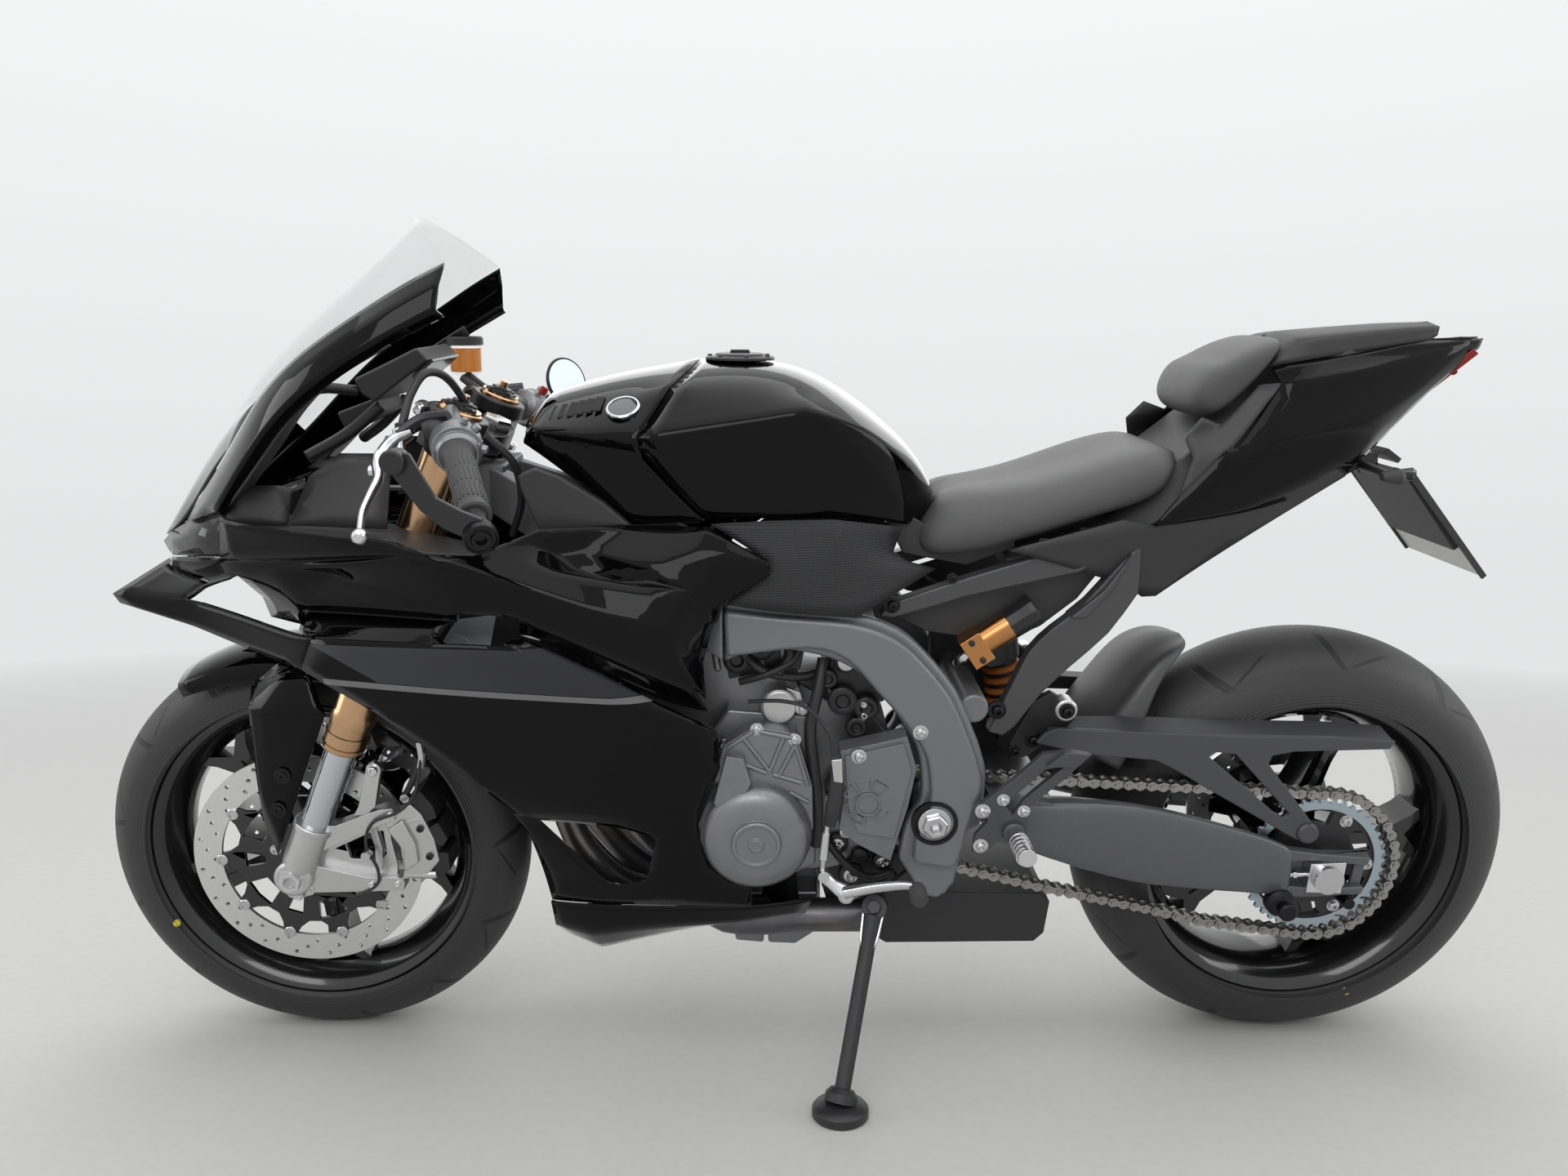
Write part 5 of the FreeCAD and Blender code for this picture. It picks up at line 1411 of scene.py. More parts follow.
class MOTORCYCLE_OT_tyres(bpy.types.Operator):
    """Both tyres: round crown, wall with a rim guard, balance dot"""
    bl_idname = "motorcycle.tyres"
    bl_label = "Tyres"

    def execute(self, context):
        sizes = [("front_tread", "front_tyre", "front_wheel", FRONT_AXLE, 300.0, 60.0, 44.0, "front_rubber"),
                 ("rear_tread", "rear_tyre", "rear_wheel", REAR_AXLE, 315.0, 92.0, 68.0, "rear_rubber")]
        for name, node, body, axle, radius, half, bead, rubber in sizes:
            middle = radius - half
            crown = [(half * math.sin(a), middle + half * math.cos(a))
                     for a in (math.radians(-86 + 172 * i / 34) for i in range(35))]
            wall = [(half * 0.985, middle - 6), (half * 0.95, 241), (half * 0.93, 238), (half * 0.93, 236.5),
                    (bead + 7, 233.5), (bead + 5, 230), (bead + 1, 226), (bead - 2, 219)]
            if middle < 238:
                wall = [(half * 0.99, 236), (half * 0.96, 234.5), (bead + 9, 233.5), (bead + 5, 230),
                        (bead + 1, 226), (bead - 2, 219)]
            profile = [(-y, r) for y, r in reversed(wall)] + crown + wall + [(0, 214)]
            draft = Draft()
            draft.turned(profile + profile[:1], on_axis(axle), SIDE, 120)
            place(draft, name, rubber, [node], body=body, slot="tyre_rubber", angle=60)
            dot = Draft()
            spot = math.radians(-28 if body == "front_wheel" else 248)
            radial = ray(spot)
            middle = Vector(on_axis(axle, half * 0.955)) + radial * (middle - 6 if middle > 238 else 238)
            dot.turned(at("-2 0, -2 5, 1.6 5, 1.8 0"), middle, SIDE + radial * (-0.2), 20)
            place(dot, name + "_dot", "yellow_dot", body=body)
        return {"FINISHED"}


class MOTORCYCLE_OT_rims(bpy.types.Operator):
    """Cast rims with five forked spokes"""
    bl_idname = "motorcycle.rims"
    bl_label = "Rims"

    def execute(self, context):
        sizes = [("front_wheel_casting", "front_rim", "front_wheel", FRONT_AXLE, 44.0, 62.0, 33.0, 50.0,
                  20.0),
                 ("rear_wheel_casting", "rear_rim", "rear_wheel", REAR_AXLE, 68.0, 72.0, 42.0, 35.0, 26.0)]
        for name, node, body, axle, bead, hub_half, hub_radius, phase, depth in sizes:
            draft = Draft()
            lip = [(bead + 6, 231.5), (bead + 7, 227), (bead + 3, 220), (bead - 4, 213), (bead - 14, 207),
                   (bead - 24, 199), (12, 195)]
            outer = [(-bead - 4, 232.5), (-bead + 1, 231), (-bead + 2, 221), (bead - 2, 221), (bead - 1, 231),
                     (bead + 4, 232.5)]
            profile = outer + lip + [(-y, r) for y, r in reversed(lip)]
            draft.turned(profile + profile[:1], on_axis(axle), SIDE, 96)
            hub = [(-hub_half, 13), (-hub_half, hub_radius - 6), (-hub_half + 5, hub_radius),
                   (-24, hub_radius), (-16, hub_radius + 9), (16, hub_radius + 9), (24, hub_radius),
                   (hub_half - 5, hub_radius), (hub_half, hub_radius - 6), (hub_half, 13)]
            draft.turned(hub + hub[:1], on_axis(axle), SIDE, 48)
            for i in range(5):
                angle = phase + i * 72
                edge = at("34 30, 58 21, 92 15.5, 128 14, 158 17, 180 29, 203 50")
                outline = edge + [(u, -v) for u, v in reversed(edge)]
                window = at("176 0, 183 9, 199 29, 203 22, 205 0, 203 -22, 199 -29, 183 -9")
                draft.plate(spun(outline, angle, axle), -depth, depth, [spun(window, angle, axle)])
                groove = at("52 7, 120 4.5, 165 5, 165 -5, 120 -4.5, 52 -7")
                for low, high in ((depth - 1, depth + 3), (-depth - 3, -depth + 1)):
                    draft.plate(spun(groove, angle, axle), low, high)
            place(draft, name, "wheel_black", [node], body=body, soften=3.2)
            valve = Draft()
            turn = math.radians(phase + 36)
            radial = ray(turn)
            valve.turned(at("0 4, 14 4, 14 3, 30 3, 30 4, 38 4, 38 0"), Vector(on_axis(axle)) + radial * 198,
                         -radial + SIDE * 0.5, 12)
            place(valve, name + "_valve", "black_bolt", body=body, slot="wheel_black")
            weight = Draft()
            for spread in (-6, -2, 2):
                a = math.radians((148 if body == "front_wheel" else 20) + spread)
                x, z = around(axle, 206, a)
                weight.turned(at("0 0, 0 6, 2.5 6, 2.5 0"), (x, bead - 16, z), -ray(a), 4)
            place(weight, name + "_weights", "zinc", body=body, soften=0.5)
        return {"FINISHED"}


def disc_tree():
    """A flat ring with rows of round holes, given thickness: its sizes are the tree's inputs."""
    tree = Tree("perforated_ring", Outer="Float", Inner="Float", Hole="Float", Count="Int", Thickness="Float",
                Finish="Material")
    outer, inner, small = (tree.node("GeometryNodeCurvePrimitiveCircle", Radius=tree.given(key),
                                     Resolution=sides)
                           for key, sides in (("Outer", 120), ("Inner", 120), ("Hole", 10)))
    index = tree.node("GeometryNodeInputIndex")
    band = tree.given("Outer") - tree.given("Inner")
    radius = tree.given("Inner") + band * (index.maths("MODULO", 3.0) * 0.27 + 0.23)
    turn = index * FULL_TURN / tree.given("Count")
    spot = tree.node("ShaderNodeCombineXYZ", X=radius * turn.maths("COSINE"), Y=radius * turn.maths("SINE"))
    points = tree.node("GeometryNodePoints", Count=tree.given("Count"), Position=spot)
    holes = tree.node("GeometryNodeInstanceOnPoints", Points=points, Instance=small)
    joined = tree.node("GeometryNodeJoinGeometry", None, [outer, inner, holes])
    real = tree.node("GeometryNodeRealizeInstances", None, joined)
    filled = tree.node("GeometryNodeFillCurve", Curve=real)
    wall = tree.node("GeometryNodeExtrudeMesh", Mesh=filled, Offset_Scale=tree.given("Thickness"),
                     Individual=False)
    both = tree.node("GeometryNodeJoinGeometry", None,
                     [wall, tree.node("GeometryNodeFlipFaces", Mesh=filled)])
    return tree.close(tree.node("GeometryNodeMergeByDistance", Geometry=both))


class MOTORCYCLE_OT_brake_discs(bpy.types.Operator):
    """Drilled discs on their carriers, with their bobbins"""
    bl_idname = "motorcycle.brake_discs"
    bl_label = "Brake discs"

    def execute(self, context):
        tree = disc_tree()
        hole = context.scene.motorcycle_sizes.disc_hole / MM
        sizes = [("left_disc", "front_wheel", FRONT_AXLE, 66.0, 160.0, 121.0, 60, "front_disc_steel",
                  "front_discs"),
                 ("right_disc", "front_wheel", FRONT_AXLE, -71.0, 160.0, 121.0, 60, "front_disc_steel", None),
                 ("rear_rotor", "rear_wheel", REAR_AXLE, -79.0, 110.0, 76.0, 42, "rear_disc_steel",
                  "rear_disc")]
        for name, body, axle, y, outer, inner, count, steel, node in sizes:
            rotor = tree.apply(wires(name + "_seed", [(0, 0, 0)]), name, steel, turn=False, Outer=outer,
                               Inner=inner, Hole=hole, Count=count, Thickness=5.0)
            stand = Matrix.Translation(on_axis(axle, y + 5)) @ Matrix.Rotation(math.radians(90), 4, "X")
            rotor.data.transform(PARK @ stand)
            work = bmesh.new()
            work.from_mesh(rotor.data)
            bmesh.ops.recalc_face_normals(work, faces=work.faces)
            work.to_mesh(rotor.data)
            work.free()
            settle(rotor, body, "disc_steel", [node] if node else ())
        carriers = Draft()
        bobbins = Draft()
        bolts = Draft()
        for y, face in ((65.0, 1), (-71.0, -1)):
            outline = rayed(at("99 -13, 110 -7, 126 -4, 126 4, 110 7, 99 13"), 10, FRONT_AXLE)
            narrow, wide = sheet("60 -6, 88 -11, 88 11, 60 6; 66 -13, 92 -22, 95 0, 92 22, 66 13")
            windows = [spun(wide if i % 2 else narrow, i * 36, FRONT_AXLE) for i in range(10)]
            carriers.plate(outline, y, y + 6, windows + [round_hole(FRONT_AXLE, 30, 24)])
            for i in range(10):
                (x, z), = spun([(121, 0)], i * 36, FRONT_AXLE)
                bobbins.turned(at("-1 8.5, 1.6 8.5, 2.6 7.6, 2.6 5, 1.2 4.4, 1.2 0"),
                               (x, y + 3 + face * 3, z), SIDE * face, 24)
            for i in range(5):
                (x, z), = spun([(47, 0)], i * 72 + 20, FRONT_AXLE)
                bolts.bolt((x, y + 3 + face * 3, z), SIDE * face, 6, 5)
        place(carriers, "disc_carriers", "wheel_black", body="front_wheel", soften=0.8)
        place(bobbins, "disc_bobbins", "bolt_steel", body="front_wheel")
        place(bolts, "disc_bolts", "bolt_steel", body="front_wheel")
        rear = Draft()
        rear.plate(rayed(at("46 -24, 78 -8, 84 -5, 84 5, 78 8, 46 24"), 5, REAR_AXLE), -80, -75,
                   [round_hole(REAR_AXLE, 28, 24)])
        for i in range(5):
            (x, z), = spun([(78, 0)], i * 72, REAR_AXLE)
            rear.bolt((x, -80, z), -SIDE, 6, 4)
        place(rear, "rear_disc_carrier", "wheel_black", body="rear_wheel", soften=0.6)
        return {"FINISHED"}


class MOTORCYCLE_OT_chain(bpy.types.Operator):
    """Roller chain and the rear sprocket with its carrier"""
    bl_idname = "motorcycle.chain"
    bl_label = "Chain"

    def execute(self, context):
        pitch = context.scene.motorcycle_sizes.link_pitch / MM
        tree = Tree("chain_links", Inner_Link="Object", Outer_Link="Object", Count="Int", Finish="Material")
        line = tree.node("GeometryNodeMeshToCurve", Mesh=tree.given("Geometry"))
        spaced = tree.node("GeometryNodeResampleCurve", {"mode": "COUNT"}, Curve=line,
                           Count=tree.given("Count"))
        turn = tree.node("FunctionNodeAlignRotationToVector", {"axis": "X", "pivot_axis": "Y"},
                         Vector=tree.node("GeometryNodeInputTangent"))
        odd = tree.node("GeometryNodeInputIndex").maths("MODULO", 2.0)
        both = []
        for key, chosen in (("Inner Link", odd), ("Outer Link", 1.0 - odd)):
            link = tree.node("GeometryNodeObjectInfo", Object=tree.given(key)).port("Geometry")
            both.append(tree.node("GeometryNodeInstanceOnPoints", Points=spaced, Selection=chosen,
                                  Instance=link, Rotation=turn))
        tree.close(tree.node("GeometryNodeJoinGeometry", None, both))
        links = {}
        for name, half, wall, size in (("inner", 4.6, 1.9, 7.6), ("outer", 7.2, 1.9, 7.2)):
            draft = Draft()
            side_view = [(-pitch / 2 - size, 0), (-pitch / 2 - size * 0.7, size * 0.7), (-pitch / 2, size),
                         (0, size * 0.52), (pitch / 2, size), (pitch / 2 + size * 0.7, size * 0.7),
                         (pitch / 2 + size, 0)]
            outline = side_view + [(x, -z) for x, z in reversed(side_view[1:-1])]
            for low in (half, -half - wall):
                draft.plate(outline, low, low + wall)
            for x in (-pitch / 2, pitch / 2):
                reach, radius = (half, 5.0) if name == "inner" else (half + wall + 2.0, 3.3)
                draft.turned([(-reach, 0), (-reach, radius), (reach, radius), (reach, 0)], (x, 0, 0), SIDE, 8)
            links[name] = draft.object(name + "_link_pattern", turn=False)
        loop = [around((-69, 420), 41, math.radians(a)) for a in range(-100, 96, 14)]
        loop += [around(REAR_AXLE, r, math.radians(a))
                 for a, r in zip(range(90, 286, 13), [109, 110.5] + [111.5] * 11 + [110.5, 109])]
        loop += at("-560 229, -470 252, -346 279, -219 311")
        path = [(x, 108, z) for x, z in loop]
        length = sum((Vector(a) - Vector(b)).length for a, b in zip(path, path[1:] + path[:1]))
        source = wires("chain_line", path, [(i, (i + 1) % len(path)) for i in range(len(path))])
        chain = tree.apply(source, "roller_chain", "chain_steel", Inner_Link=links["inner"],
                           Outer_Link=links["outer"], Count=2 * round(length / pitch / 2))
        for pattern in links.values():
            bpy.data.objects.remove(pattern)
        settle(chain, "chassis", "chain_steel", ["drive_chain"])
        self.sprocket()
        return {"FINISHED"}

    def sprocket(self):
        teeth = Draft()
        teeth.plate(rayed(at("95.5 -2.6, 100.5 -0.9, 100.5 0.9, 95.5 2.6"), 43, REAR_AXLE), 105, 110.5,
                    [round_hole(REAR_AXLE, 85, 60)])
        place(teeth, "sprocket_ring", "zinc", ["rear_sprocket"], body="rear_wheel", soften=0.5)
        carrier = Draft()
        windows = [spun(at("60 -14, 79 -20, 82 0, 79 20, 60 14"), i * 60 + 30, REAR_AXLE) for i in range(6)]
        carrier.plate(round_hole(REAR_AXLE, 87, 60), 98, 107, windows + [round_hole(REAR_AXLE, 24, 24)])
        holes = [spun(at("34 -9, 50 -6, 50 6, 34 9"), i * 60, REAR_AXLE) for i in range(6)]
        carrier.plate(round_hole(REAR_AXLE, 56, 36), 86, 100, holes + [round_hole(REAR_AXLE, 24, 24)])
        carrier.turned(at("0 24, 0 52, 14 46, 16 24"), on_axis(REAR_AXLE, 74), SIDE, 48)
        place(carrier, "sprocket_carrier", "silencer_black", body="rear_wheel", slot="wheel_black", soften=1)
        nuts = Draft()
        for i in range(6):
            (x, z), = spun([(76, 0)], i * 60, REAR_AXLE)
            nuts.bolt((x, 107, z), SIDE, 7, 6)
        place(nuts, "sprocket_nuts", "bolt_steel", body="rear_wheel")


# ------------------------------------------------------------------ front end, carried by the steering

FORK_UP = Vector((-math.sin(RAKE), 0, math.cos(RAKE)))
BAR_INNER = Vector((450, 122, 940))
GRIP_INNER = Vector((414, 232, 904))
BAR_OUTER = Vector((366, 352, 852))
GRIP_LINE = (BAR_OUTER - GRIP_INNER).normalized()


def on_side(point, side):
    """A point or direction of the left bar, or the same of the right one for a side of -1."""
    return Vector((point.x, point.y * side, point.z))


def on_fork(z, y=105.0):
    """A point on the left fork leg at a height."""
    return Vector((834.3 - 0.4158 * z, y, z))


def steer(along, ahead=0.0, y=0.0):
    """A point by its distance up the steering axis and ahead of it."""
    return Vector((804.0, y, 0)) + FORK_UP * along + ray(RAKE) * ahead


class MOTORCYCLE_OT_fork(bpy.types.Operator):
    """Fork legs with their cast lower ends, calipers and hoses"""
    bl_idname = "motorcycle.fork"
    bl_label = "Fork"

    def execute(self, context):
        legs = Draft()
        legs.turned(at("0 22, 0 25, 3 28, 9 28.6, 10 27, 13 27, 14 29.2, 27 29.2, 28 27.8, 42 27.8, 43 29.2, "
                       "58 29.2, 61 27.5, 491 27.5, 493 25.5, 495 25.5, 495 22"), on_fork(488), FORK_UP, 48)
        legs.turned(at("0 0, 0 6, 8 6, 9 4, 9 0"), on_fork(945) + FORK_UP * 8, FORK_UP, 20)
        legs.mirror()
        place(legs, "fork_outer_tubes", "bronze", ["fork_tubes"], body="steering")
        tops = Draft()
        tops.turned(at("-4 0, -4 22, 3 22, 3 15, 8 14, 8 0"), on_fork(945), FORK_UP, 6)
        for turn in range(4):
            a = math.radians(45 + turn * 90)
            side = Vector((math.cos(RAKE) * math.cos(a), math.sin(a), math.sin(RAKE) * math.cos(a)))
            tops.turned(at("-4 0, -4 6, 5 5.5, 5 0"), on_fork(945) + side * 16, FORK_UP, 6)
        tops.mirror()
        place(tops, "fork_caps", "satin_black", body="steering", soften=0.6)
        ends = Draft()
        ends.turned(at("0 0, 0 19, 4 25, 10 26.5, 66 26.5, 67 28.8, 75 28.8, 76.5 27, 76.5 21.6"),
                    on_fork(FRONT_AXLE[1] + 7), FORK_UP, 40)
        ends.turned(at("-23 0, -23 22, -19 26, 19 26, 22 22, 22 0"), on_axis(FRONT_AXLE, 105), SIDE, 40)
        ends.plate(at("655 372, 592 396, 576 388, 578 352, 572 312, 574 292, 690 288, 672 330"), 97, 104,
                   [at("641 344, 604 362, 588 364, 586 330, 594 318, 636 322")])
        ends.plate(at("664 378, 648 378, 586 402, 568 404, 566 386, 584 380, 644 352, 668 340"), 93, 117)
        ends.plate(at("694 322, 660 312, 612 300, 568 300, 560 292, 562 280, 606 278, 690 276"), 93, 117)
        ends.plate(at("606 372, 596 372, 590 340, 592 306, 602 306, 600 340"), 96, 108)
        ends.plate(at("624 390, 606 392, 593 404, 584 446, 580 460, 590 470, 600 464, 606 440, 616 404"), 100,
                   111)
        ends.plate(at("684 280, 722 276, 726 268, 716 262, 690 270"), 96, 112)
        ends.mirror()
        place(ends, "fork_feet", "cast_aluminium", ["fork_bottoms"], body="steering", soften=3.2)
        fittings = Draft()
        axle = on_axis(FRONT_AXLE, 127)
        fittings.turned(at("-2 0, -2 19.5, 1 19.5, 1 16, 9 15, 9 9.5, -8 8.5, -8 0"), axle, SIDE, 6)
        fittings.bolt((590, 111, 459), SIDE, 7, 9, False)
        for x, z in at("572 394, 570 290, 606 289, 690 283, 708 270"):
            fittings.bolt((x, 116, z), SIDE, 4.5, 4, False)
        fittings.mirror()
        place(fittings, "axle_nuts", "machined_aluminium", body="steering", soften=0.4)
        self.calipers()
        return {"FINISHED"}

    def calipers(self):
        body = Draft()
        body.plate(at("584 382, 545 408, 531 394, 516 356, 511 322, 530 300, 566 292, 562 310, 565 345, "
                      "578 366"), 84, 112)
        body.plate(at("578 372, 556 388, 540 352, 538 322, 560 308, 558 340"), 110, 118)
        for x, z in ((577, 374), (561, 300)):
            body.pipe([(x, 106, z), (x - 44, 106, z + (12 if z > 340 else -1))], 6.5, 12, 1)
        body.mirror()
        place(body, "caliper_bodies", "cast_aluminium", ["front_calipers"], body="steering", soften=3)
        dark = Draft()
        dark.plate(at("560 400, 536 424, 520 410, 500 362, 498 320, 512 300, 560 290, 566 380"), 42, 60)
        dark.plate(at("546 412, 532 426, 516 404, 512 386, 526 380"), 58, 108)
        dark.plate(at("523 372, 510 380, 498 356, 506 344, 520 350"), 60, 111)
        dark.plate(at("516 334, 500 332, 499 306, 514 296, 522 312"), 60, 108)
        for x, z in ((534, 372), (524, 330)):
            dark.bolt((x, 111, z), SIDE, 5.5, 5)
        dark.mirror()
        place(dark, "caliper_pistons", "satin_black", body="steering", soften=2)
        lines = Draft()
        lines.pipe(at("548 60 742, 540 72 690, 530 92 620, 522 108 540, 524 110 480, 545 102 434, "
                      "556 94 412, 548 88 396"), 4.5, 10, 8)
        lines.pipe(at("524 112 480, 534 122 430, 556 124 404, 596 122 384, 606 122 350, 594 121 316, "
                      "598 120 290, 630 118 272, 660 112 276"), 2.2, 8, 8)
        lines.mirror()
        place(lines, "brake_lines", "hose_rubber", ["brake_hoses"], body="steering")
        unions = Draft()
        unions.pipe(at("526 110 500, 524 110 478, 528 108 462"), 5.6, 10, 2)
        for spot in ((556, 96, 411), (606, 124, 338)):
            unions.turned(at("-6 0, -6 7, 5 7, 5 0"), spot, SIDE, 6)
        unions.mirror()
        place(unions, "brake_unions", "bolt_steel", body="steering", slot="bare_aluminium", soften=0.3)


BLADE_POINTS = named("""
    a 726 120 545, b 703 96 592, c 664 108 590, d 642 125 544, e 722 121 533, f 688 124 435, g 727 122 337,
    h 742 119 388, i 747 116 453, j 747 112 545, k 757 76 566, l 662 80 604, m 716 80 600""")
BLADE_FACES = ["a b c d", "a d f e", "e f g h", "e h i", "a e i j", "j k b a", "k m l c b"]


class MOTORCYCLE_OT_fender(bpy.types.Operator):
    """Front mudguard over the tyre with a blade down each leg"""
    bl_idname = "motorcycle.fender"
    bl_label = "Front mudguard"

    def execute(self, context):
        draft = Draft()
        across = at("-73 272, -71 290, -60 305, -36 313, 0 316, 36 313, 60 305, 71 290, 73 272")
        rings = []
        for i in range(13):
            turn = math.radians(60 + 72 * i / 12)
            tuck = 10 * max(0, abs(i - 6) - 3)
            ring = []
            for y, r in across:
                x, z = around(FRONT_AXLE, r + (tuck * 0.4 if r < 300 else 0), turn)
                ring.append((x, y, z))
            rings.append(ring)
        draft.loft(rings, open_rings=True)
        place(draft, "fender_crown", "gloss_black", ["front_fender"], body="steering", rounds=1, thick=3)
        panel("fender_blades", [(BLADE_POINTS, BLADE_FACES)], "gloss_black", body="steering", thick=3,
              limit=9)
        screws = Draft()
        for x, z in ((707, 456), (718, 406)):
            screws.turned(at("-1 0, -1 11, 0.6 11, 0.8 8, -0.6 7.4"), (x, 125, z), SIDE, 20)
            screws.bolt((x, 124.5, z), SIDE, 6, 3, False)
        screws.mirror()
        place(screws, "fender_screws", "black_bolt", body="steering")
        return {"FINISHED"}


class MOTORCYCLE_OT_controls(bpy.types.Operator):
    """Clamps, clip-on bars, switches, grips, levers, guard, brake fluid pot and mirror"""
    bl_idname = "motorcycle.controls"
    bl_label = "Controls"

    def execute(self, context):
        clamps = Draft()
        plan = at("-20 -36, -22 0, -20 36, -4 76, -4 132, 8 142, 48 142, 60 132, 58 82, 40 44, 34 0, 40 -44, "
                  "58 -82, 60 -132, 48 -142, 8 -142, -4 -132, -4 -76")
        for low, high in ((955, 982), (792, 824)):
            clamps.loft([[steer(along, ahead, y) for ahead, y in plan] for along in (low, high)])
        clamps.turned(at("0 0, 0 15, 190 15, 190 0"), steer(796), FORK_UP, 24)
        for side in SIDES:
            clamps.turned(at("0 28, 0 37, 3 39, 19 39, 22 37, 22 28, 0 28"), on_fork(918, side * 105),
                          FORK_UP, 36)
            clamps.pipe([steer(993, 60, side * 128), steer(993, 70, side * 112), steer(993, 66, side * 96)],
                        [8, 11, 8], 12, 3)
        place(clamps, "steering_clamps", "satin_black", ["triple_clamps", "handlebars"], body="steering",
              soften=2.5)
        nuts = Draft()
        nuts.turned(at("0 12, 0 20, 3 21, 12 21, 15 19, 15 12"), steer(982), FORK_UP, 6)
        for side in SIDES:
            nuts.bolt(steer(993, 70, side * 126), (0.4, side * 0.9, 0.1), 6.5, 5, False)
            nuts.bolt(steer(968, 60, side * 84), (1, 0, 0.4), 5, 5, False)
        place(nuts, "stem_nut", "machined_aluminium", body="steering", soften=0.5)
        lock = Draft()
        lock.turned(at("0 0, 0 20, 16 20, 19 17, 19 9, 16 9, 16 0"), steer(975, 52), FORK_UP, 28)
        place(lock, "ignition_lock", "silencer_black", body="steering", soften=0.6)
        self.bars()
        self.grips()
        self.levers()
        self.fittings()
        return {"FINISHED"}

    def bars(self):
        bars = Draft()
        bars.pipe([BAR_INNER, GRIP_INNER, BAR_OUTER], 11, 20, 1)
        inward = (BAR_INNER - GRIP_INNER).normalized()
        start = GRIP_INNER + inward * 2
        bars.turned(at("-6 0, -6 23, 0 26, 2 26, 3 24, 9 24, 10 29, 30 30, 34 26, 52 24, 54 20, 54 0"), start,
                    inward, 28)
        for off, size in (((-22, 0, 18), 11), ((-30, 2, -4), 10), ((-12, 6, 26), 8)):
            knob = start + inward * 24 + Vector(off)
            bars.pipe([knob - Vector(off) * 0.4, knob], [size + 4, size], 6, 1)
            bars.pipe([knob, knob + Vector(off).normalized() * 7], [size * 0.6, size * 0.45], 8, 1)
        bars.mirror()
        place(bars, "bars_and_switches", "engine_grey", body="steering", slot="frame_black", soften=1.6)
        stop = Draft()
        stop.pipe([(404, -206, 934), (398, -206, 944)], [7, 6], 8, 1)
        place(stop, "stop_switch", "brake_red", body="steering", soften=0.8)

    def grips(self):
        grips = Draft()
        grips.turned(at("0 11, 0 21, 4 22, 8 19, 14 17, 118 16.2, 124 18.5, 130 18.5, 132 16, 132 11"),
                     GRIP_INNER, GRIP_LINE, 32)
        grips.mirror()
        place(grips, "grip_sleeves", "grip_rubber", ["grips"], body="steering")
        tree = Tree("grip_ribs", Rib="Float", Half_Length="Float", Finish="Material")
        rib = tree.node("GeometryNodeMeshCylinder", Vertices=6, Radius=tree.given("Rib"),
                        Depth=tree.given("Half Length"))
        run = tree.node("GeometryNodeInputNamedAttribute", {"data_type": "FLOAT_VECTOR"}, Name="run")
        turn = tree.node("FunctionNodeAlignRotationToVector", {"axis": "Z"}, Vector=run)
        tree.close(tree.node("GeometryNodeInstanceOnPoints", Points=tree.given("Geometry"), Instance=rib,
                             Rotation=turn))
        for side, word in ((1, "left"), (-1, "right")):
            line, start = on_side(GRIP_LINE, side), on_side(GRIP_INNER, side)
            across = line.orthogonal().normalized()
            third = line.cross(across)
            spots = []
            for row, along in enumerate((34, 66, 98)):
                for i in range(20):
                    a = FULL_TURN * (i + row % 2 / 2) / 20
                    spots.append(start + line * along + (across * math.cos(a) + third * math.sin(a)) * 16.6)
            source = wires(word + "_rib_places", spots)
            for item in source.data.attributes.new("run", "FLOAT_VECTOR", "POINT").data:
                item.vector = line
            ribs = tree.apply(source, word + "_grip_ribs", "grip_rubber", Rib=1.0, Half_Length=27.0)
            settle(ribs, "steering", "grip_rubber")
        ends = Draft()
        for side in SIDES:
            line, end = on_side(GRIP_LINE, side), on_side(BAR_OUTER, side)
            reach = 22 if side == 1 else 0
            ends.turned([(-2, 0), (-2, 13), (reach, 13), (reach, 17), (reach + 5, 18), (reach + 14, 18),
                         (reach + 15, 16), (reach + 13, 15), (reach + 13, 11), (reach + 15, 10),
                         (reach + 15, 6), (reach + 11, 5), (reach + 11, 0)], end, line, 36)
        place(ends, "bar_ends", "black_bolt", body="steering")

    def levers(self):
        perches = Draft()
        perches.pipe(at("412 208 908, 446 198 926, 462 202 926"), [20, 18, 12], 12, 3)
        perches.pipe(at("430 200 944, 462 196 938, 488 210 922"), [9, 11, 9], 8, 4, flatten=0.7)
        perches.block((468, 188, 926), (492, 206, 936))
        perches.mirror()
        place(perches, "lever_perches", "satin_black", body="steering", soften=1.5)
        levers = Draft()
        levers.pipe(at("474 204 924, 492 216 914, 502 238 896, 496 262 880, 497 288 866, 496 318 852, "
                       "490 346 838"), [8, 13, 12, 9, 8, 7, 6], 14, 5, flatten=0.62)
        levers.turned(at("-9 0, -8 5, -4.5 8, 0 9.2, 4.5 8, 8 5, 9 0"), (489, 350, 834), SIDE, 20)
        levers.turned(at("-13 0, -13 6, 12 6, 14 4, 14 0"), (486, 212, 918), (0.15, -0.3, 1), 16)
        levers.pipe([(500, 230, 888), (514, 226, 884)], [3, 3], 8, 1)
        levers.turned(at("0 0, 0 7, 5 7, 6 5, 6 0"), (512, 227, 884), AHEAD, 12)
        levers.mirror()
        place(levers, "lever_blades", "machined_aluminium", ["hand_levers"], body="steering", soften=0.4)
        guard = Draft()
        guard.plate(at("362 836, 350 846, 352 860, 372 868, 398 882, 421 926, 437 930, 446 914, 414 868, "
                       "392 850"), 375, 382)
        guard.turned(at("-8 0, -8 11, -6 13, 16 13, 18 11, 18 0"), (437, 372, 918), SIDE, 24)
        guard.turned(at("16 6, 16 14, 24 14, 24 6, 16 6"), BAR_OUTER, GRIP_LINE, 28)
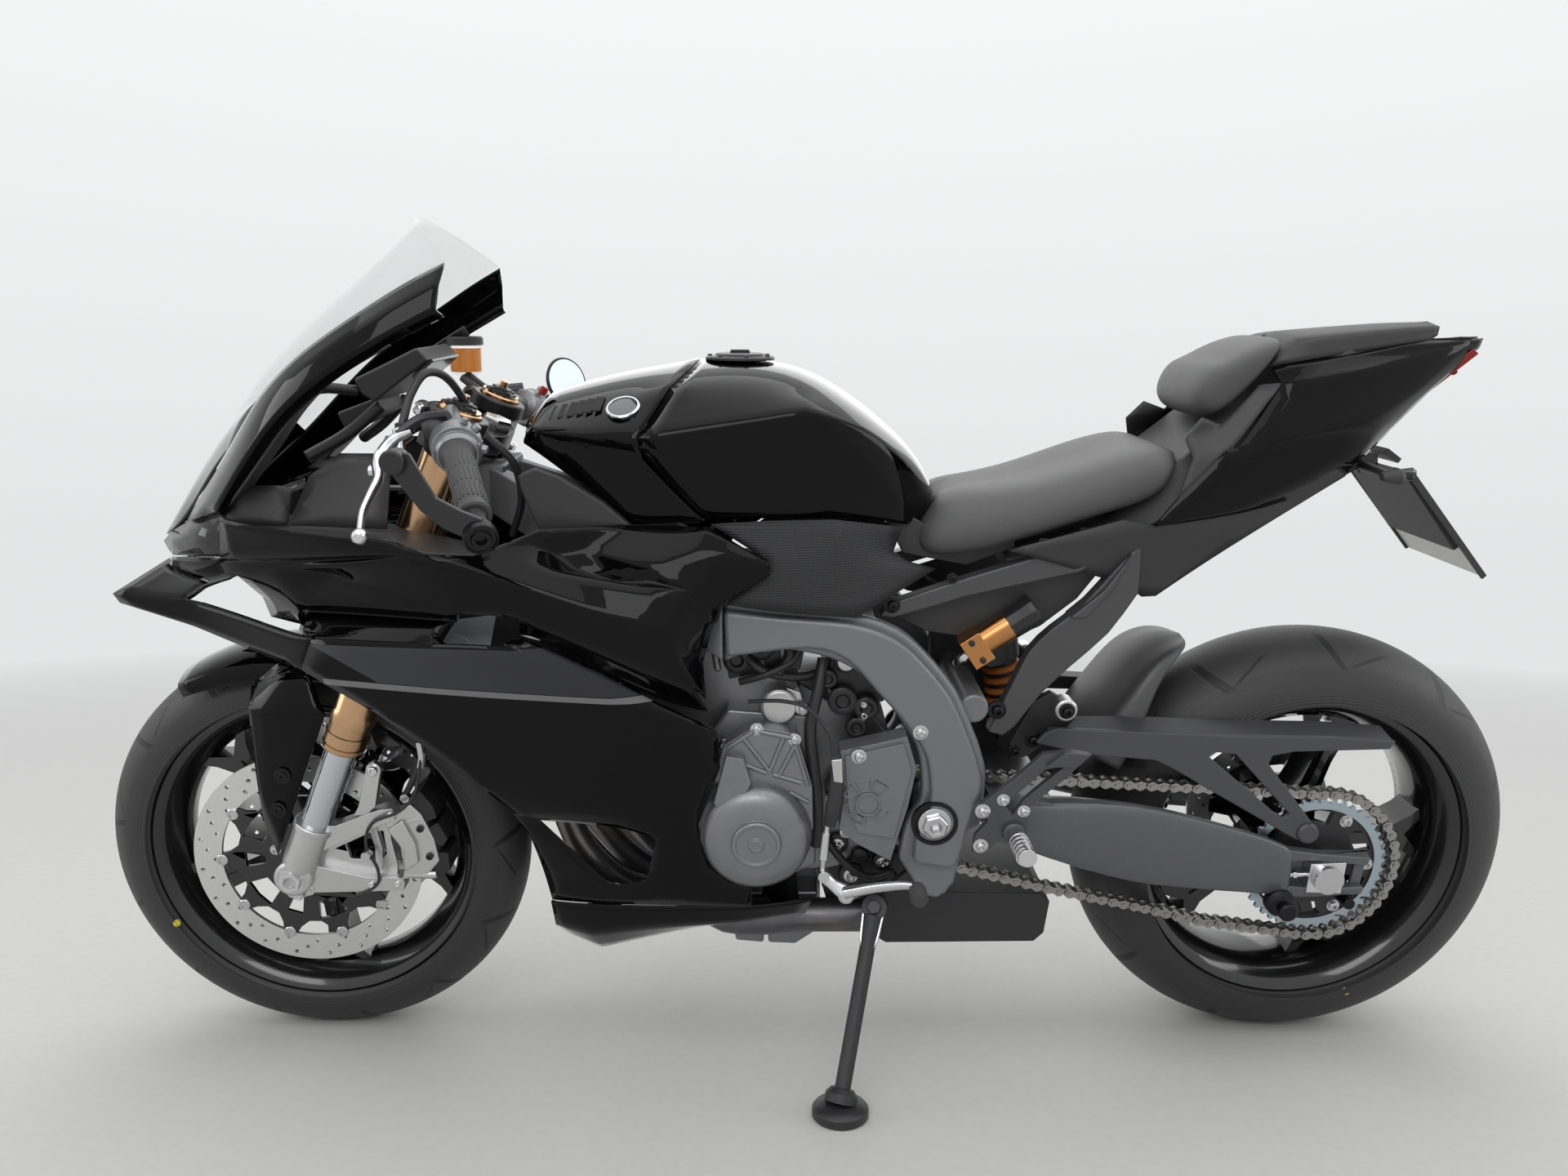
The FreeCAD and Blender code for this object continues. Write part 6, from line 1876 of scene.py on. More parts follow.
        place(guard, "lever_guard_blade", "satin_black", ["lever_guard"], body="steering", slot="matt_black",
              soften=1.6)

    def fittings(self):
        foot = Vector((504, -162, 962))
        pot = Draft()
        pot.turned(at("0 0, 0 13, 6 22, 8 25, 50 25, 50 0"), foot, UP, 32)
        place(pot, "fluid_pot", "clear_pot", ["brake_reservoir"], body="steering", slot="fluid_amber")
        fluid = Draft()
        fluid.turned(at("0 0, 2 22, 36 23.4, 36 0"), foot + UP * 6, UP, 32)
        place(fluid, "pot_fluid", "brake_fluid", body="steering")
        lid = Draft()
        lid.turned(at("0 0, 0 26.5, 10 26.5, 12 24, 12 0"), foot + UP * 46, UP, 28)
        lid.pipe(at("462 -198 930, 484 -184 944, 504 -162 962"), [8, 6, 9], 12, 4)
        lid.pipe(at("506 -146 962, 486 -140 948, 470 -160 932"), 6, 10, 5)
        place(lid, "pot_lid", "matt_black", body="steering")
        mirror = Draft()
        face = Vector((-0.74, 0.62, 0.25)).normalized()
        middle = Vector((400, -386, 938))
        mirror.turned(at("-9 0, -8 26, -3 38, 2 41, 4.5 40, 4 38.5, 4 0"), middle, face, 44)
        mirror.pipe(at("360 -372 846, 350 -390 862, 366 -400 892, 396 -392 912"), [9, 6, 5, 6], 12, 5)
        mirror.turned(at("16 6, 16 14, 24 14, 24 6, 16 6"), on_side(BAR_OUTER, -1), on_side(GRIP_LINE, -1),
                      28)
        place(mirror, "mirror_shell", "satin_black", ["bar_end_mirror"], body="steering", slot="matt_black")
        glass = Draft()
        glass.turned(at("0 0, 0 37.5, 1.2 37, 1.2 0"), middle + face * 4, face, 44)
        place(glass, "mirror_glass", "mirror_glass", body="steering")
        cables = Draft()
        cables.pipe(at("486 200 930, 478 184 966, 464 166 990, 448 140 984, 436 104 950, 420 78 900"), 5, 10,
                    8)
        cables.pipe(at("440 196 926, 470 160 900, 440 110 860, 420 84 790"), 4, 8, 8)
        cables.pipe(at("440 -196 926, 474 -160 900, 452 -100 850, 440 -84 790"), 4, 8, 8)
        cables.pipe(at("402 150 916, 376 128 880, 372 110 830, 390 92 780"), 5, 8, 8)
        harness = cables.object("control_cables", "hose_rubber")
        shade(harness)
        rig.slot(harness, "grip_rubber")
        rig.blend(harness, "chassis", "steering", PARK @ Vector((400, 0, 800)), PARK @ Vector((450, 0, 925)))


# ------------------------------------------------------------------ frame, engine and rear end

BOBBIN_Z = 277.0
# where the pad of the side stand meets the ground, in metres
STAND_FOOT = Vector((-0.0295, 0.1358, 0.0))


def curve(points, steps=3):
    """A smooth line through (x, z) points."""
    return [(p.x, p.z) for p in smoothed([(x, 0, z) for x, z in points], steps)]


def plates(rows):
    """Flat parts from (outline, inner side, outer side) rows, the same on both sides of the bike."""
    draft = Draft()
    for outline, low, high in rows:
        draft.plate(outline, low, high)
    draft.mirror()
    return draft


def screw_tree():
    """Bolt heads on a cloud of points, facing away from the middle of the machine."""
    tree = Tree("screw_heads", Head="Object", Size="Float", Finish="Material")
    head = tree.node("GeometryNodeObjectInfo", Object=tree.given("Head")).port("Geometry")
    share = tree.node("GeometryNodeInputNamedAttribute", {"data_type": "FLOAT"}, Name="share")
    where = tree.node("ShaderNodeSeparateXYZ", None, tree.node("GeometryNodeInputPosition"))
    turn = tree.node("ShaderNodeCombineXYZ", Z=(where.port("Y") < 0.0) * math.pi)
    return tree.close(tree.node("GeometryNodeInstanceOnPoints", Points=tree.given("Geometry"), Instance=head,
                                Rotation=turn, Scale=share * tree.given("Size")))


def screws(tree, rows, name, paint):
    """Bolt heads at (x, y, z, share of the common size) rows and across from them, facing outwards."""
    rows = rows + [(x, -y, z, share) for x, y, z, share in rows]
    source = wires(name + "_places", [row[:3] for row in rows])
    source.data.attributes.new("share", "FLOAT", "POINT").data.foreach_set("value", [row[3] for row in rows])
    head = Draft()
    head.turned(at("-0.4 0, -0.4 1.7, 0.16 1.7, 0.32 1.15, 0.32 1, 1.1 0.96, 1.3 0.75, 1.3 0.5, 0.7 0.45, "
                   "0.7 0"), (0, 0, 0), SIDE, 14)
    pattern = head.object("screw_pattern", turn=False)
    size = bpy.context.scene.motorcycle_sizes.bolt_radius / MM
    made = tree.apply(source, name, paint, Head=pattern, Size=size)
    bpy.data.objects.remove(pattern)
    settle(made, "chassis", SLOT_OF[paint])


class MOTORCYCLE_OT_frame(bpy.types.Operator):
    """Twin-spar frame, seat rails and the panel between them"""
    bl_idname = "motorcycle.frame"
    bl_label = "Frame"

    def execute(self, context):
        outer = at("116 711, 43 703, -46 695, -105 675, -143 643, -182 595, -208 542, -224 500, -230 469, "
                   "-228 401")
        inner = at("-118 352, -126 404, -143 435, -144 471, -135 514, -110 556, -71 604, -34 629, 10 642, "
                   "68 648, 116 628")
        foot = at("-205 388, -203 354, -196 314, -175 290, -151 296")
        spars = plates([(curve(outer) + foot + curve(inner), 136, 158)])
        ridge = [(x * 0.98 + 2, z - 9) for x, z in outer[:-1]] + at("-214 430, -196 352, -176 345")
        back = at("-136 352, -140 404, -154 440, -154 471, -145 510, -119 550, -79 596, -40 637, 10 652, "
                  "112 640")
        top = plates([(curve(ridge) + curve(back), 150, 172)])
        place(spars, "frame_spars", "frame_grey", ["main_frame"], soften=7)
        place(top, "frame_ridges", "frame_grey", soften=9)
        beams = Draft()
        beams.loft(sheet("116 136 630, 116 168 634, 116 170 704, 116 138 708; 280 96 726, 280 128 730, "
                         "280 128 800, 280 96 804; 428 26 800, 428 58 804, 428 58 866, 428 26 868"))
        beams.mirror()
        beams.turned(at("0 24, 0 34, 118 34, 118 24, 0 24"), steer(831), FORK_UP, 36)
        beams.block((404, -60, 802), (440, 60, 866))
        for x, z, r in ((-212, 560, 20), (-182, 296, 9)):
            beams.turned([(-140, 0), (-140, r), (140, r), (140, 0)], (x, 0, z), SIDE, 20)
        place(beams, "frame_beams", "frame_grey", soften=4)
        pivots = Draft()
        pivots.turned(at("-4 0, -4 31, 2 31, 2 26, -1 25, -1 0"), on_axis(SWING_PIVOT, 172), SIDE, 36)
        pivots.mirror()
        place(pivots, "pivot_recess", "black_bolt")
        nuts = Draft()
        nuts.turned(at("-2 0, -2 21, 2 22, 3 19, 3 0"), on_axis(SWING_PIVOT, 172), SIDE, 28)
        nuts.turned(at("2 9, 2 17.5, 12 17.5, 14 15, 14 9, 2 9"), on_axis(SWING_PIVOT, 172), SIDE, 6)
        nuts.mirror()
        place(nuts, "pivot_nuts", "bolt_steel", soften=0.6)
        upper = at("-84 683, -97 701, -200 737, -334 780, -404 806, -412 792, -340 744, -200 712, -102 681")
        lower = at("-234 524, -262 590, -282 637, -310 668, -347 700, -402 768, -416 780, -418 716, "
                   "-384 662, -338 616, -300 575, -272 534, -254 518")
        rails = plates([(upper, 106, 130), (curve(lower[:7], 2) + curve(lower[7:], 2), 108, 130),
                        (at("-330 684, -372 722, -404 770, -384 724, -352 684"), 104, 136)])
        place(rails, "seat_rails", "rail_black", ["subframe"], soften=5)
        infill = plates([(at("-105 677, -151 656, -193 650, -250 640, -300 664, -346 702, -396 772, "
                             "-340 752"), 98, 106)])
        place(infill, "rail_infill", "matt_black", soften=2)
        # Dark matt plates behind the spars, under the seat and in the gaps beside the ducts: painted shade where these
        # spaces lie in shadow, also standing in for the dark shock mount and linkage there
        shadow = Draft()
        shadow.plate(at("-170 690, -250 650, -262 610, -300 560, -345 538, -340 440, -240 372, -180 400, "
                        "-180 600"), -70, -40)
        shadow.plate(at("-86 816, -116 760, -200 744, -262 768, -262 778, -180 770, -130 806"), -96, 96)
        shadow.plate(at("-196 640, -214 606, -244 598, -262 604, -268 640, -236 664"), 40, 84)
        for side in SIDES:
            shadow.plate(at("500 636, 500 698, 370 698, 350 636"), *sorted((side * 145, side * 150)))
        shadow.turned(at("-4 0, -4 13, 6 13, 8 10, 8 0"), (-226, 84, 622), SIDE, 20)
        place(shadow, "frame_inner_pieces", "matt_black", soften=3)
        # the duct liners are painted far paler than their own grey: painted light in the shade of the duct
        liners = plates([(at("480 642, 452 684, 402 690, 412 648"), 150, 154),
                         (at("474 642, 456 666, 440 660, 434 648"), 154, 157)])
        place(liners, "duct_liners", "duct_grey", soften=1)
        links = plates([(at("-269 503, -296 562, -320 575, -361 549, -350 530, -320 503, -296 482, -269 476"),
                         100, 114)])
        place(links, "linkage_plates", "satin_black", soften=3)
        eyes = Draft()
        eyes.turned(at("-14 8, -14 15, 10 15, 12 13, 12 8, -14 8"), (-337, 120, 555), SIDE, 28)
        for x, z in ((-296, 777), (-348, 792)):
            eyes.turned(at("-6 0, -6 7, 5 7, 6 5, 6 0"), (x, 112, z), UP, 18)
        eyes.mirror()
        place(eyes, "linkage_eyes", "cast_aluminium")
        heads = screw_tree()
        screws(heads, [(-138, 172, 541, 1.2), (-70, 134, 500, 1.1)], "frame_bolts", "bolt_steel")
        screws(heads,
               at("-100 131 700 1.3, -244 131 556 1.5, -337 132 555 1.3, -300 114 506 1.4, -276 114 490 1.0, "
                  "-176 131 736 0.8"), "dark_bolts", "black_bolt")
        return {"FINISHED"}


# place and share of the common size
COVER_BOLTS = at("""
    73 168 543 1, 24 168 529 1, 7 150 455 1, 115 150 513 1, 140 140 398 1, -1 140 386 1,
    -60 164 504 1.2, -48 140 382 1, -95 140 363 1.2, 98 140 328 0.8, 36 140 330 0.8, 136 140 459 0.8,
    -69 124 546 1, -68 124 562 1, 14 140 560 1, -40 97 340 1.1, -60 97 292 1.2, -104 97 312 1""")


class MOTORCYCLE_OT_engine(bpy.types.Operator):
    """Engine with its covers, hoses, radiator, header pipes and silencer"""
    bl_idname = "motorcycle.engine"
    bl_label = "Engine"

    def execute(self, context):
        case = Draft()
        case.plate(at("150 330, 150 500, 132 585, 37 590, -25 552, -60 560, -110 500, -118 380, -40 296, "
                      "90 296"), -132, 88)
        case.plate(at("150 330, 150 500, 112 556, 0 548, -8 500, -8 330, 60 296, 100 300"), 60, 134)
        case.plate(at("140 500, 232 560, 196 690, 60 690, 10 560"), -106, 106)
        for x in range(30, 151, 30):
            case.plate([(x, 600), (x + 10, 600), (x + 22, 684), (x + 12, 684)], -110, 112)
        case.plate(at("110 166, 108 304, -20 300, -22 182, 16 160"), -62, 28)
        case.plate(at("104 170, 104 250, 64 250, 62 166"), 26, 70)
        case.plate(at("56 166, 56 250, -16 250, -12 184, 16 164"), 26, 70)
        case.turned(at("0 0, 0 78, 50 78, 62 70, 66 30, 66 0"), (10, -130, 408), -SIDE, 48)
        case.turned(at("0 0, 0 27, 8 26, 10 0"), (10, -194, 408), -SIDE, 32)
        place(case, "engine_cases", "engine_grey", ["engine_block"], soften=4)
        covers = Draft()
        covers.turned(at("0 0, 0 78, 16 78, 18 75, 44 74, 57 71, 66 62, 70 48, 71 36, 71 33, 76 32, "
                         "77.5 30.5, 77.5 26.5, 75.6 26, 75.6 10.5, 77.5 10, 77.5 0"),
                      on_axis(GENERATOR, 124), SIDE, 64)
        covers.turned(at("0 6, 0 9, 2 9, 2 6, 0 6"), on_axis(GENERATOR, 200), SIDE, 6)
        for turn, reach in at("18 64, 40 62, 62 60, 84 58"):
            line = ray(math.radians(180 - turn))
            covers.pipe([Vector(on_axis(GENERATOR, 191)) + line * 44,
                         Vector(on_axis(GENERATOR, 180)) + line * reach,
                         Vector(on_axis(GENERATOR, 164)) + line * 71], [2, 3.4, 3], 8, 3)
        covers.plate(at("128 446, 112 512, 90 508, 80 474, 96 440, 112 428"), 130, 184)
        covers.plate(at("128 470, 116 520, 76 546, 22 536, 0 462, -2 400, 60 440"), 120, 168)
        for x0, z0, x1, z1 in at("56 484 90 530, 56 484 38 532, 52 480 14 468, 44 478 24 520, "
                                 "60 482 104 500, 112 516 76 541, 76 541 26 531, 26 531 6 464, "
                                 "30 455 4 440"):
            covers.pipe([(x0, 168, z0), (x1, 168, z1)], 3.6, 8, 1)
        covers.plate(at("84 438, 60 446, 30 440, 14 420, 30 404, 70 420"), 160, 190)
        place(covers, "generator_cover", "engine_grey", soften=3)
        sprocket = Draft()
        outline = at("-36 509, -84 520, -123 530, -137 485, -128 430, -107 350, -60 376, -37 398, -44 450")
        sprocket.plate(outline, 126, 160)
        sprocket.plate(at("-42 503, -118 522, -130 484, -110 386, -62 394, -48 430"), 158, 165)
        sprocket.turned(at("0 14, 0 17, 2.5 17, 2.5 14, 0 14"), on_axis(DRIVE_SHAFT, 165), SIDE, 28)
        for turn in (20, 62, 104, 200, 242, 284, 326):
            a0, a1 = math.radians(turn), math.radians(turn + 32)
            reach = 36 if turn < 110 else 30
            corners = [around(DRIVE_SHAFT, r, a) for r, a in ((20, a0), (reach, a0), (reach, a1), (20, a1))]
            for (x0, z0), (x1, z1) in zip(corners, corners[1:] + corners[:1]):
                sprocket.pipe([(x0, 165, z0), (x1, 165, z1)], 1.4, 6, 1)
        place(sprocket, "sprocket_cover", "frame_grey", soften=3)
        rear = Draft()
        rear.plate(at("-20 300, -118 380, -150 440, -150 330, -100 290"), -100, 84)
        rear.plate(at("-20 300, -150 330, -160 268, -20 268"), -90, 88)
        rear.plate(at("-20 268, -140 270, -150 236, -30 232"), -70, 76)
        for x, z, radius in at("-40 340 16, -72 322 12, -104 312 14, -60 292 17, -118 284 10"):
            rear.turned([(0, 0), (0, radius), (9, radius), (11, radius * 0.7), (11, 0)], (x, 86, z), SIDE, 20)
        rear.pipe(at("-20 100 356, -50 112 320, -84 108 296, -120 100 300"), 6, 10, 5)
        place(rear, "engine_rear", "satin_black", slot="engine_grey", soften=3)
        screws(screw_tree(), COVER_BOLTS, "cover_bolts", "bolt_steel")
        self.plumbing()
        self.exhaust()
        return {"FINISHED"}

    def plumbing(self):
        hoses = Draft()
        hoses.pipe(at("-14 116 622, -8 130 588, 3 144 533, -3 150 477, -8 152 428, -8 146 366"), 8, 12, 6)
        hoses.pipe(at("96 120 590, 60 128 604, 26 122 622, 14 110 650"), 5, 10, 6)
        hoses.pipe(at("-40 96 640, -10 106 600, 30 116 596, 70 124 610, 104 110 640"), 6, 10, 6)
        hoses.pipe(at("44 106 660, 30 118 630, 46 124 604"), 7, 10, 6)
        hoses.pipe(at("-22 190 420, -26 192 440, -30 188 468, -30 184 500"), [8, 10.5, 10.5, 8], 14, 3)
        hoses.pipe(at("364 110 640, 340 124 600, 300 128 560, 240 122 520, 150 118 470"), 17, 14, 5)
        place(hoses, "engine_hoses", "hose_rubber", slot="engine_grey")
        cable = Draft()
        cable.pipe(at("84 150 574, 40 164 580, 6 172 572, -20 180 540, -26 184 504"), 2.8, 8, 8)
        place(cable, "sensor_cable", "silencer_black", slot="engine_grey")
        fittings = Draft()
        fittings.turned(at("0 0, 0 25, 34 25, 38 21, 38 14, 36 0"), (44, 104, 562), SIDE, 32)
        fittings.plate(at("22 548, 10 560, 16 580, 34 586, 40 560"), 118, 132)
        fittings.turned(at("0 0, 0 17, 14 17, 22 11, 24 0"), (-44, 102, 618), SIDE, 24)
        fittings.plate(at("-38 480, -26 482, -22 512, -36 514"), 176, 196)
        place(fittings, "engine_fittings", "cast_aluminium", slot="engine_grey", soften=1.5)
        dark = Draft()
        for x, z, r, y in at("-40 566 20 118, -72 556 17 118, -96 590 16 112, -20 596 13 116, "
                             "100 620 18 112, 70 640 22 106, -60 526 15 112"):
            dark.turned([(0, 0), (0, r), (10, r), (12, r * 0.8), (12, r * 0.5), (8, r * 0.4), (8, 0)],
                        (x, y, z), SIDE, 20)
        dark.plate(at("-30 640, -96 634, -110 596, -96 560, -40 548, -16 590"), -110, 112)
        dark.plate(at("120 640, 60 650, 10 636, 16 604, 60 600, 110 590"), -108, 110)
        place(dark, "throttle_bodies", "satin_black", soften=2)
        core = Draft()
        core.plate(at("392 440, 364 436, 330 664, 358 668"), -150, 150)
        place(core, "radiator_core", "radiator_black", ["radiator"], soften=3)
        link = Draft()
        link.pipe([(-20, 190, 424), (-18, 190, 404)], 3.5, 10, 1)
        link.pipe([(-18, 190, 408), (-15, 190, 370)], [5.5, 6.5], 12, 1)
        link.pipe([(-15, 190, 372), (-14, 188, 350)], 4, 10, 1)
        link.pipe([(-14, 178, 346), (-16, 196, 346)], 8, 12, 1)
        link.pipe(at("-44 192 320, -84 194 330, -124 198 336, -138 202 332"), [13, 10, 8, 7], 14, 4,
                  flatten=0.7)
        link.pipe(at("-14 186 346, -28 188 332, -46 190 320"), [9, 8, 12], 12, 3, flatten=0.6)
        link.turned(at("-10 0, -10 11, 8 11, 11 8, 11 0"), (-46, 190, 319), SIDE, 20)
        link.pipe(at("-200 -194 392, -120 -196 340, -96 -222 336"), [8, 7, 7], 12, 4)
        link.plate(at("-84 344, -112 340, -112 332, -84 334"), -250, -222)
        place(link, "gear_and_brake_levers", "machined_aluminium", ["foot_levers"], soften=0.6)
        toe = Draft()
        toe.turned(at("0 0, 0 9, 3 11") + [(5 + i * 3, 10.5 + (i % 2) * 1.3) for i in range(9)]
                   + [(33, 9), (34, 0)], (-138, 200, 333), SIDE, 20)
        place(toe, "lever_rubber", "grip_rubber")

    def exhaust(self):
        pipes = Draft()
        for y in (-84.0, 0.0, 84.0):
            pipes.pipe([(226, y, 610), (300, y, 560), (336, y * 1.15, 400), (284, y * 1.1, 296),
                        (214, y * 0.6, 240), (150, y * 0.3, 232)], 19, 18, 6)
        pipes.pipe(at("170 0 232, 112 88 226, 0 90 226, -80 90 226"), [30, 27, 24, 24], 20, 5)
        place(pipes, "header_pipes", "heated_pipe", ["exhaust"])
        box = Draft()
        outline = at("-84 208, -84 262, -112 272, -330 268, -343 256, -338 206, -324 192, -112 190")
        box.plate(outline, -106, 106)
        box.turned(at("0 18, 0 27, 10 27, 12 24, 12 18, 0 18"), (-338, -66, 232), (-1, 0, 0), 28)
        place(box, "silencer_box", "silencer_black", slot="exhaust_black", soften=12)


# x, top, bottom, near side and far side
SWINGARM_STATIONS = at("""
    -236 440 372 88 140, -300 425 348 98 146, -360 428 328 108 148, -416 426 312 116 150,
    -470 418 300 119 149, -530 402 294 121 146, -590 384 289 122 144, -630 371 286 122 142,
    -650 362 284 122 146, -666 356 283 122 144""")
CHAIN_GUARD = at("""
    -300 508, -312 522, -329 529, -555 519, -700 517, -786 512, -780 500, -650 496, -622 490, -618 478,
    -690 390, -694 374, -684 362, -668 366, -490 470, -464 483, -365 492""")
# angle about the axle in degrees, crown radius, lower edge radius, half width
MUDGUARD_STATIONS = at("""
    26 374 316 98, 31 371 317 98, 36 370 322 97, 41 372 334 94, 46 376 346 88, 50 377 354 80,
    54 372 357 68, 56.6 365 354 52, 58.3 358 351 35, 59.2 352 348 15""")


class MOTORCYCLE_OT_rear_end(bpy.types.Operator):
    """Swingarm with its adjusters, guards, shock, rear caliper, footrests and stand"""
    bl_idname = "motorcycle.rear_end"
    bl_label = "Rear end"

    def execute(self, context):
        arm = Draft()
        rings = []
        for x, top, bottom, near, far in SWINGARM_STATIONS:
            middle, half, depth = (top + bottom) / 2, (top - bottom) / 2, (far - near) / 2
            ring = []
            for i in range(20):
                a = FULL_TURN * i / 20
                c, s = math.cos(a), math.sin(a)
                ring.append((x, near + depth + depth * math.copysign(abs(c) ** 0.55, c),
                             middle + half * math.copysign(abs(s) ** 0.7, s)))
            rings.append(ring)
        arm.loft(rings)
        arm.mirror()
        place(arm, "swingarm_beams", "arm_black", ["swingarm"], rounds=1)
        forks = plates([(at("-656 356, -700 350, -772 344, -768 332, -700 339, -656 338"), 124, 141),
                        (at("-656 302, -700 297, -768 300, -766 288, -700 284, -656 283"), 124, 141),
                        (at("-656 350, -690 350, -690 286, -656 286"), 122, 127),
                        (at("-756 344, -772 344, -766 288, -752 290"), 124, 132),
                        (at("-636 300, -668 300, -664 262, -642 262"), 124, 142),
                        (at("-240 372, -240 438, -330 424, -330 344"), 66, 140)])
        forks.plate(at("-150 388, -150 436, -250 440, -330 424, -340 340, -250 368"), -86, 86)
        forks.turned(at("-122 0, -122 24, 122 24, 122 0"), on_axis(SWING_PIVOT), SIDE, 28)
        place(forks, "swingarm_ends", "arm_black", soften=3)
        blocks = plates([(at("-735 340, -686 338, -684 295, -733 293"), 128, 147)])
        blocks.turned(at("-10 9, -10 20, 3 20, 5 18, 5 9, -10 9"), (-710, 147, 317), SIDE, 28)
        blocks.turned(at("-10 9, -10 20, 3 20, 5 18, 5 9, -10 9"), (-710, -147, 317), -SIDE, 28)
        for side in SIDES:
            blocks.pipe([(-686, side * 136, 317), (-662, side * 136, 316)], 4, 10, 1)
            blocks.pipe([(-672, side * 136, 317), (-666, side * 136, 317)], 7, 6, 1)
        place(blocks, "axle_blocks", "machined_aluminium", soften=1)
        bobbins = Draft()
        bobbins.turned(at("-8 0, -8 20, 4 20, 8 14, 10 9, 20 9, 23 13, 28 13, 30 10, 30 0"),
                       (-652, 142, BOBBIN_Z), SIDE, 28)
        bobbins.turned(at("-20 0, -20 8, 8 8, 8 0"), (-746, 142, 278), SIDE, 16)
        bobbins.mirror()
        place(bobbins, "stand_bobbins", "black_bolt", soften=0.6)
        self.guards()
        self.shock()
        self.footrests()
        self.stand()
        return {"FINISHED"}

    def guards(self):
        guard = Draft()
        guard.plate(CHAIN_GUARD, 122, 129, [at("-536 488, -545 495, -572 492, -656 404, -650 398, -640 402")])
        guard.loft([[(x, 90, z + 10), (x, 126, z + 2), (x, 129, z - 1), (x, 124, z - 6), (x, 90, z + 5)]
                    for x, z in at("-318 520, -420 523, -560 518, -700 516, -784 510")])
        guard.turned(at("0 0, 0 15, 8 15, 10 12, 10 0"), (-684, 124, 376), SIDE, 28)
        place(guard, "chain_guard", "guard_grey", soften=2)
        shell = Draft()
        rings = []
        for angle, crown, edge, half in MUDGUARD_STATIONS:
            turn = math.radians(angle)
            fall = crown - edge
            side = [(half, edge), (half * 0.99, crown - fall * 0.45), (half * 0.9, crown - fall * 0.14),
                    (half * 0.62, crown - 1), (half * 0.3, crown + 3)]
            across = [(-y, r) for y, r in side] + [(0, crown + 4)] + side[::-1]
            rings.append([on_axis(around(REAR_AXLE, r, turn), y) for y, r in across])
        shell.loft(rings, open_rings=True)
        place(shell, "rear_mudguard", "textured_guard", ["rear_hugger"], rounds=2, thick=3)
        tabs = plates([(at("-362 502, -372 524, -440 520, -448 500"), 96, 124)])
        tabs.plate(at("-735 330, -735 400, -690 404, -640 350, -640 330"), -121, -104,
                   [round_hole((-710, 345), 8)])
        place(tabs, "guard_tabs", "matt_black", soften=2)
        caliper = Draft()
        halves = at("-662 396, -676 430, -706 446, -738 440, -748 416, -734 396, -700 392")
        for low, high in ((-104, -84), (-72, -54)):
            caliper.plate(halves, low, high)
        caliper.plate(at("-664 432, -676 444, -706 450, -738 446, -744 436, -706 430"), -104, -54)
        caliper.bolt((-690, -104, 418), -SIDE, 9, 6)
        caliper.bolt((-722, -104, 420), -SIDE, 9, 6)
        place(caliper, "rear_brake", "satin_black", ["rear_caliper"], slot="engine_grey", soften=2.5)

    def shock(self):
        damper = Draft()
        low, high = Vector((-290, 0, 466)), Vector((-266, 0, 642))
        axis = (high - low).normalized()
        damper.turned(at("0 0, 0 14, 30 14, 30 20, 120 20, 124 27, 176 27, 178 0"), low, axis, 28)
        for end in (low, high):
            damper.turned(at("-16 0, -16 15, 16 15, 16 0"), end, SIDE, 20)
        place(damper, "shock_body", "silencer_black", ["rear_shock"])
        spring = Draft()
        path = []
        for i in range(73):
            a = FULL_TURN * i / 12
            path.append(low + axis * (26 + 94 * i / 72) + (AHEAD * axis.z - UP * axis.x) * 23 * math.cos(a)
                        + SIDE * 23 * math.sin(a))
        spring.pipe(path, 4.6, 8, 1)
        place(spring, "shock_spring", "spring_orange")
        pot = Draft()
        front, back = Vector((-206, 120, 636)), Vector((-288, 120, 692))
        line = (back - front).normalized()
        pot.turned(at("-4 0, -4 21, 6 21, 7 19, 62 19, 62 0"), front, line, 32)
        across = line.cross(SIDE)
        corners = [front + line * a + across * b for a, b in at("-7 -21, 22 -21, 22 21, -7 21")]
        pot.plate([(p.x, p.z) for p in corners], 98, 141)
        place(pot, "shock_reservoir", "reservoir_bronze", soften=1)
        cap = Draft()
        for reach in (-14, 14):
            cap.turned(at("-1 0, -1 4, 3 4, 4 3, 4 0"), front + line * 7 + across * reach + SIDE * 21, SIDE,
                       14)
        cap.turned(at("60 0, 60 20, 84 20.5, 92 22, 99 22, 101 20, 99 17, 96 0"), front, line, 10)
        place(cap, "reservoir_cap", "satin_black", soften=0.8)
        pipe = Draft()
        pipe.pipe(at("-204 122 632, -192 118 620, -196 96 612, -230 50 620, -262 12 636"), 5.5, 10, 5)
        pipe.turned(at("0 0, 0 8, 5 8, 6 6, 14 6, 14 0"), (-206, 122, 634), (0.6, 0, -0.8), 6)
        place(pipe, "shock_hose", "bolt_steel")

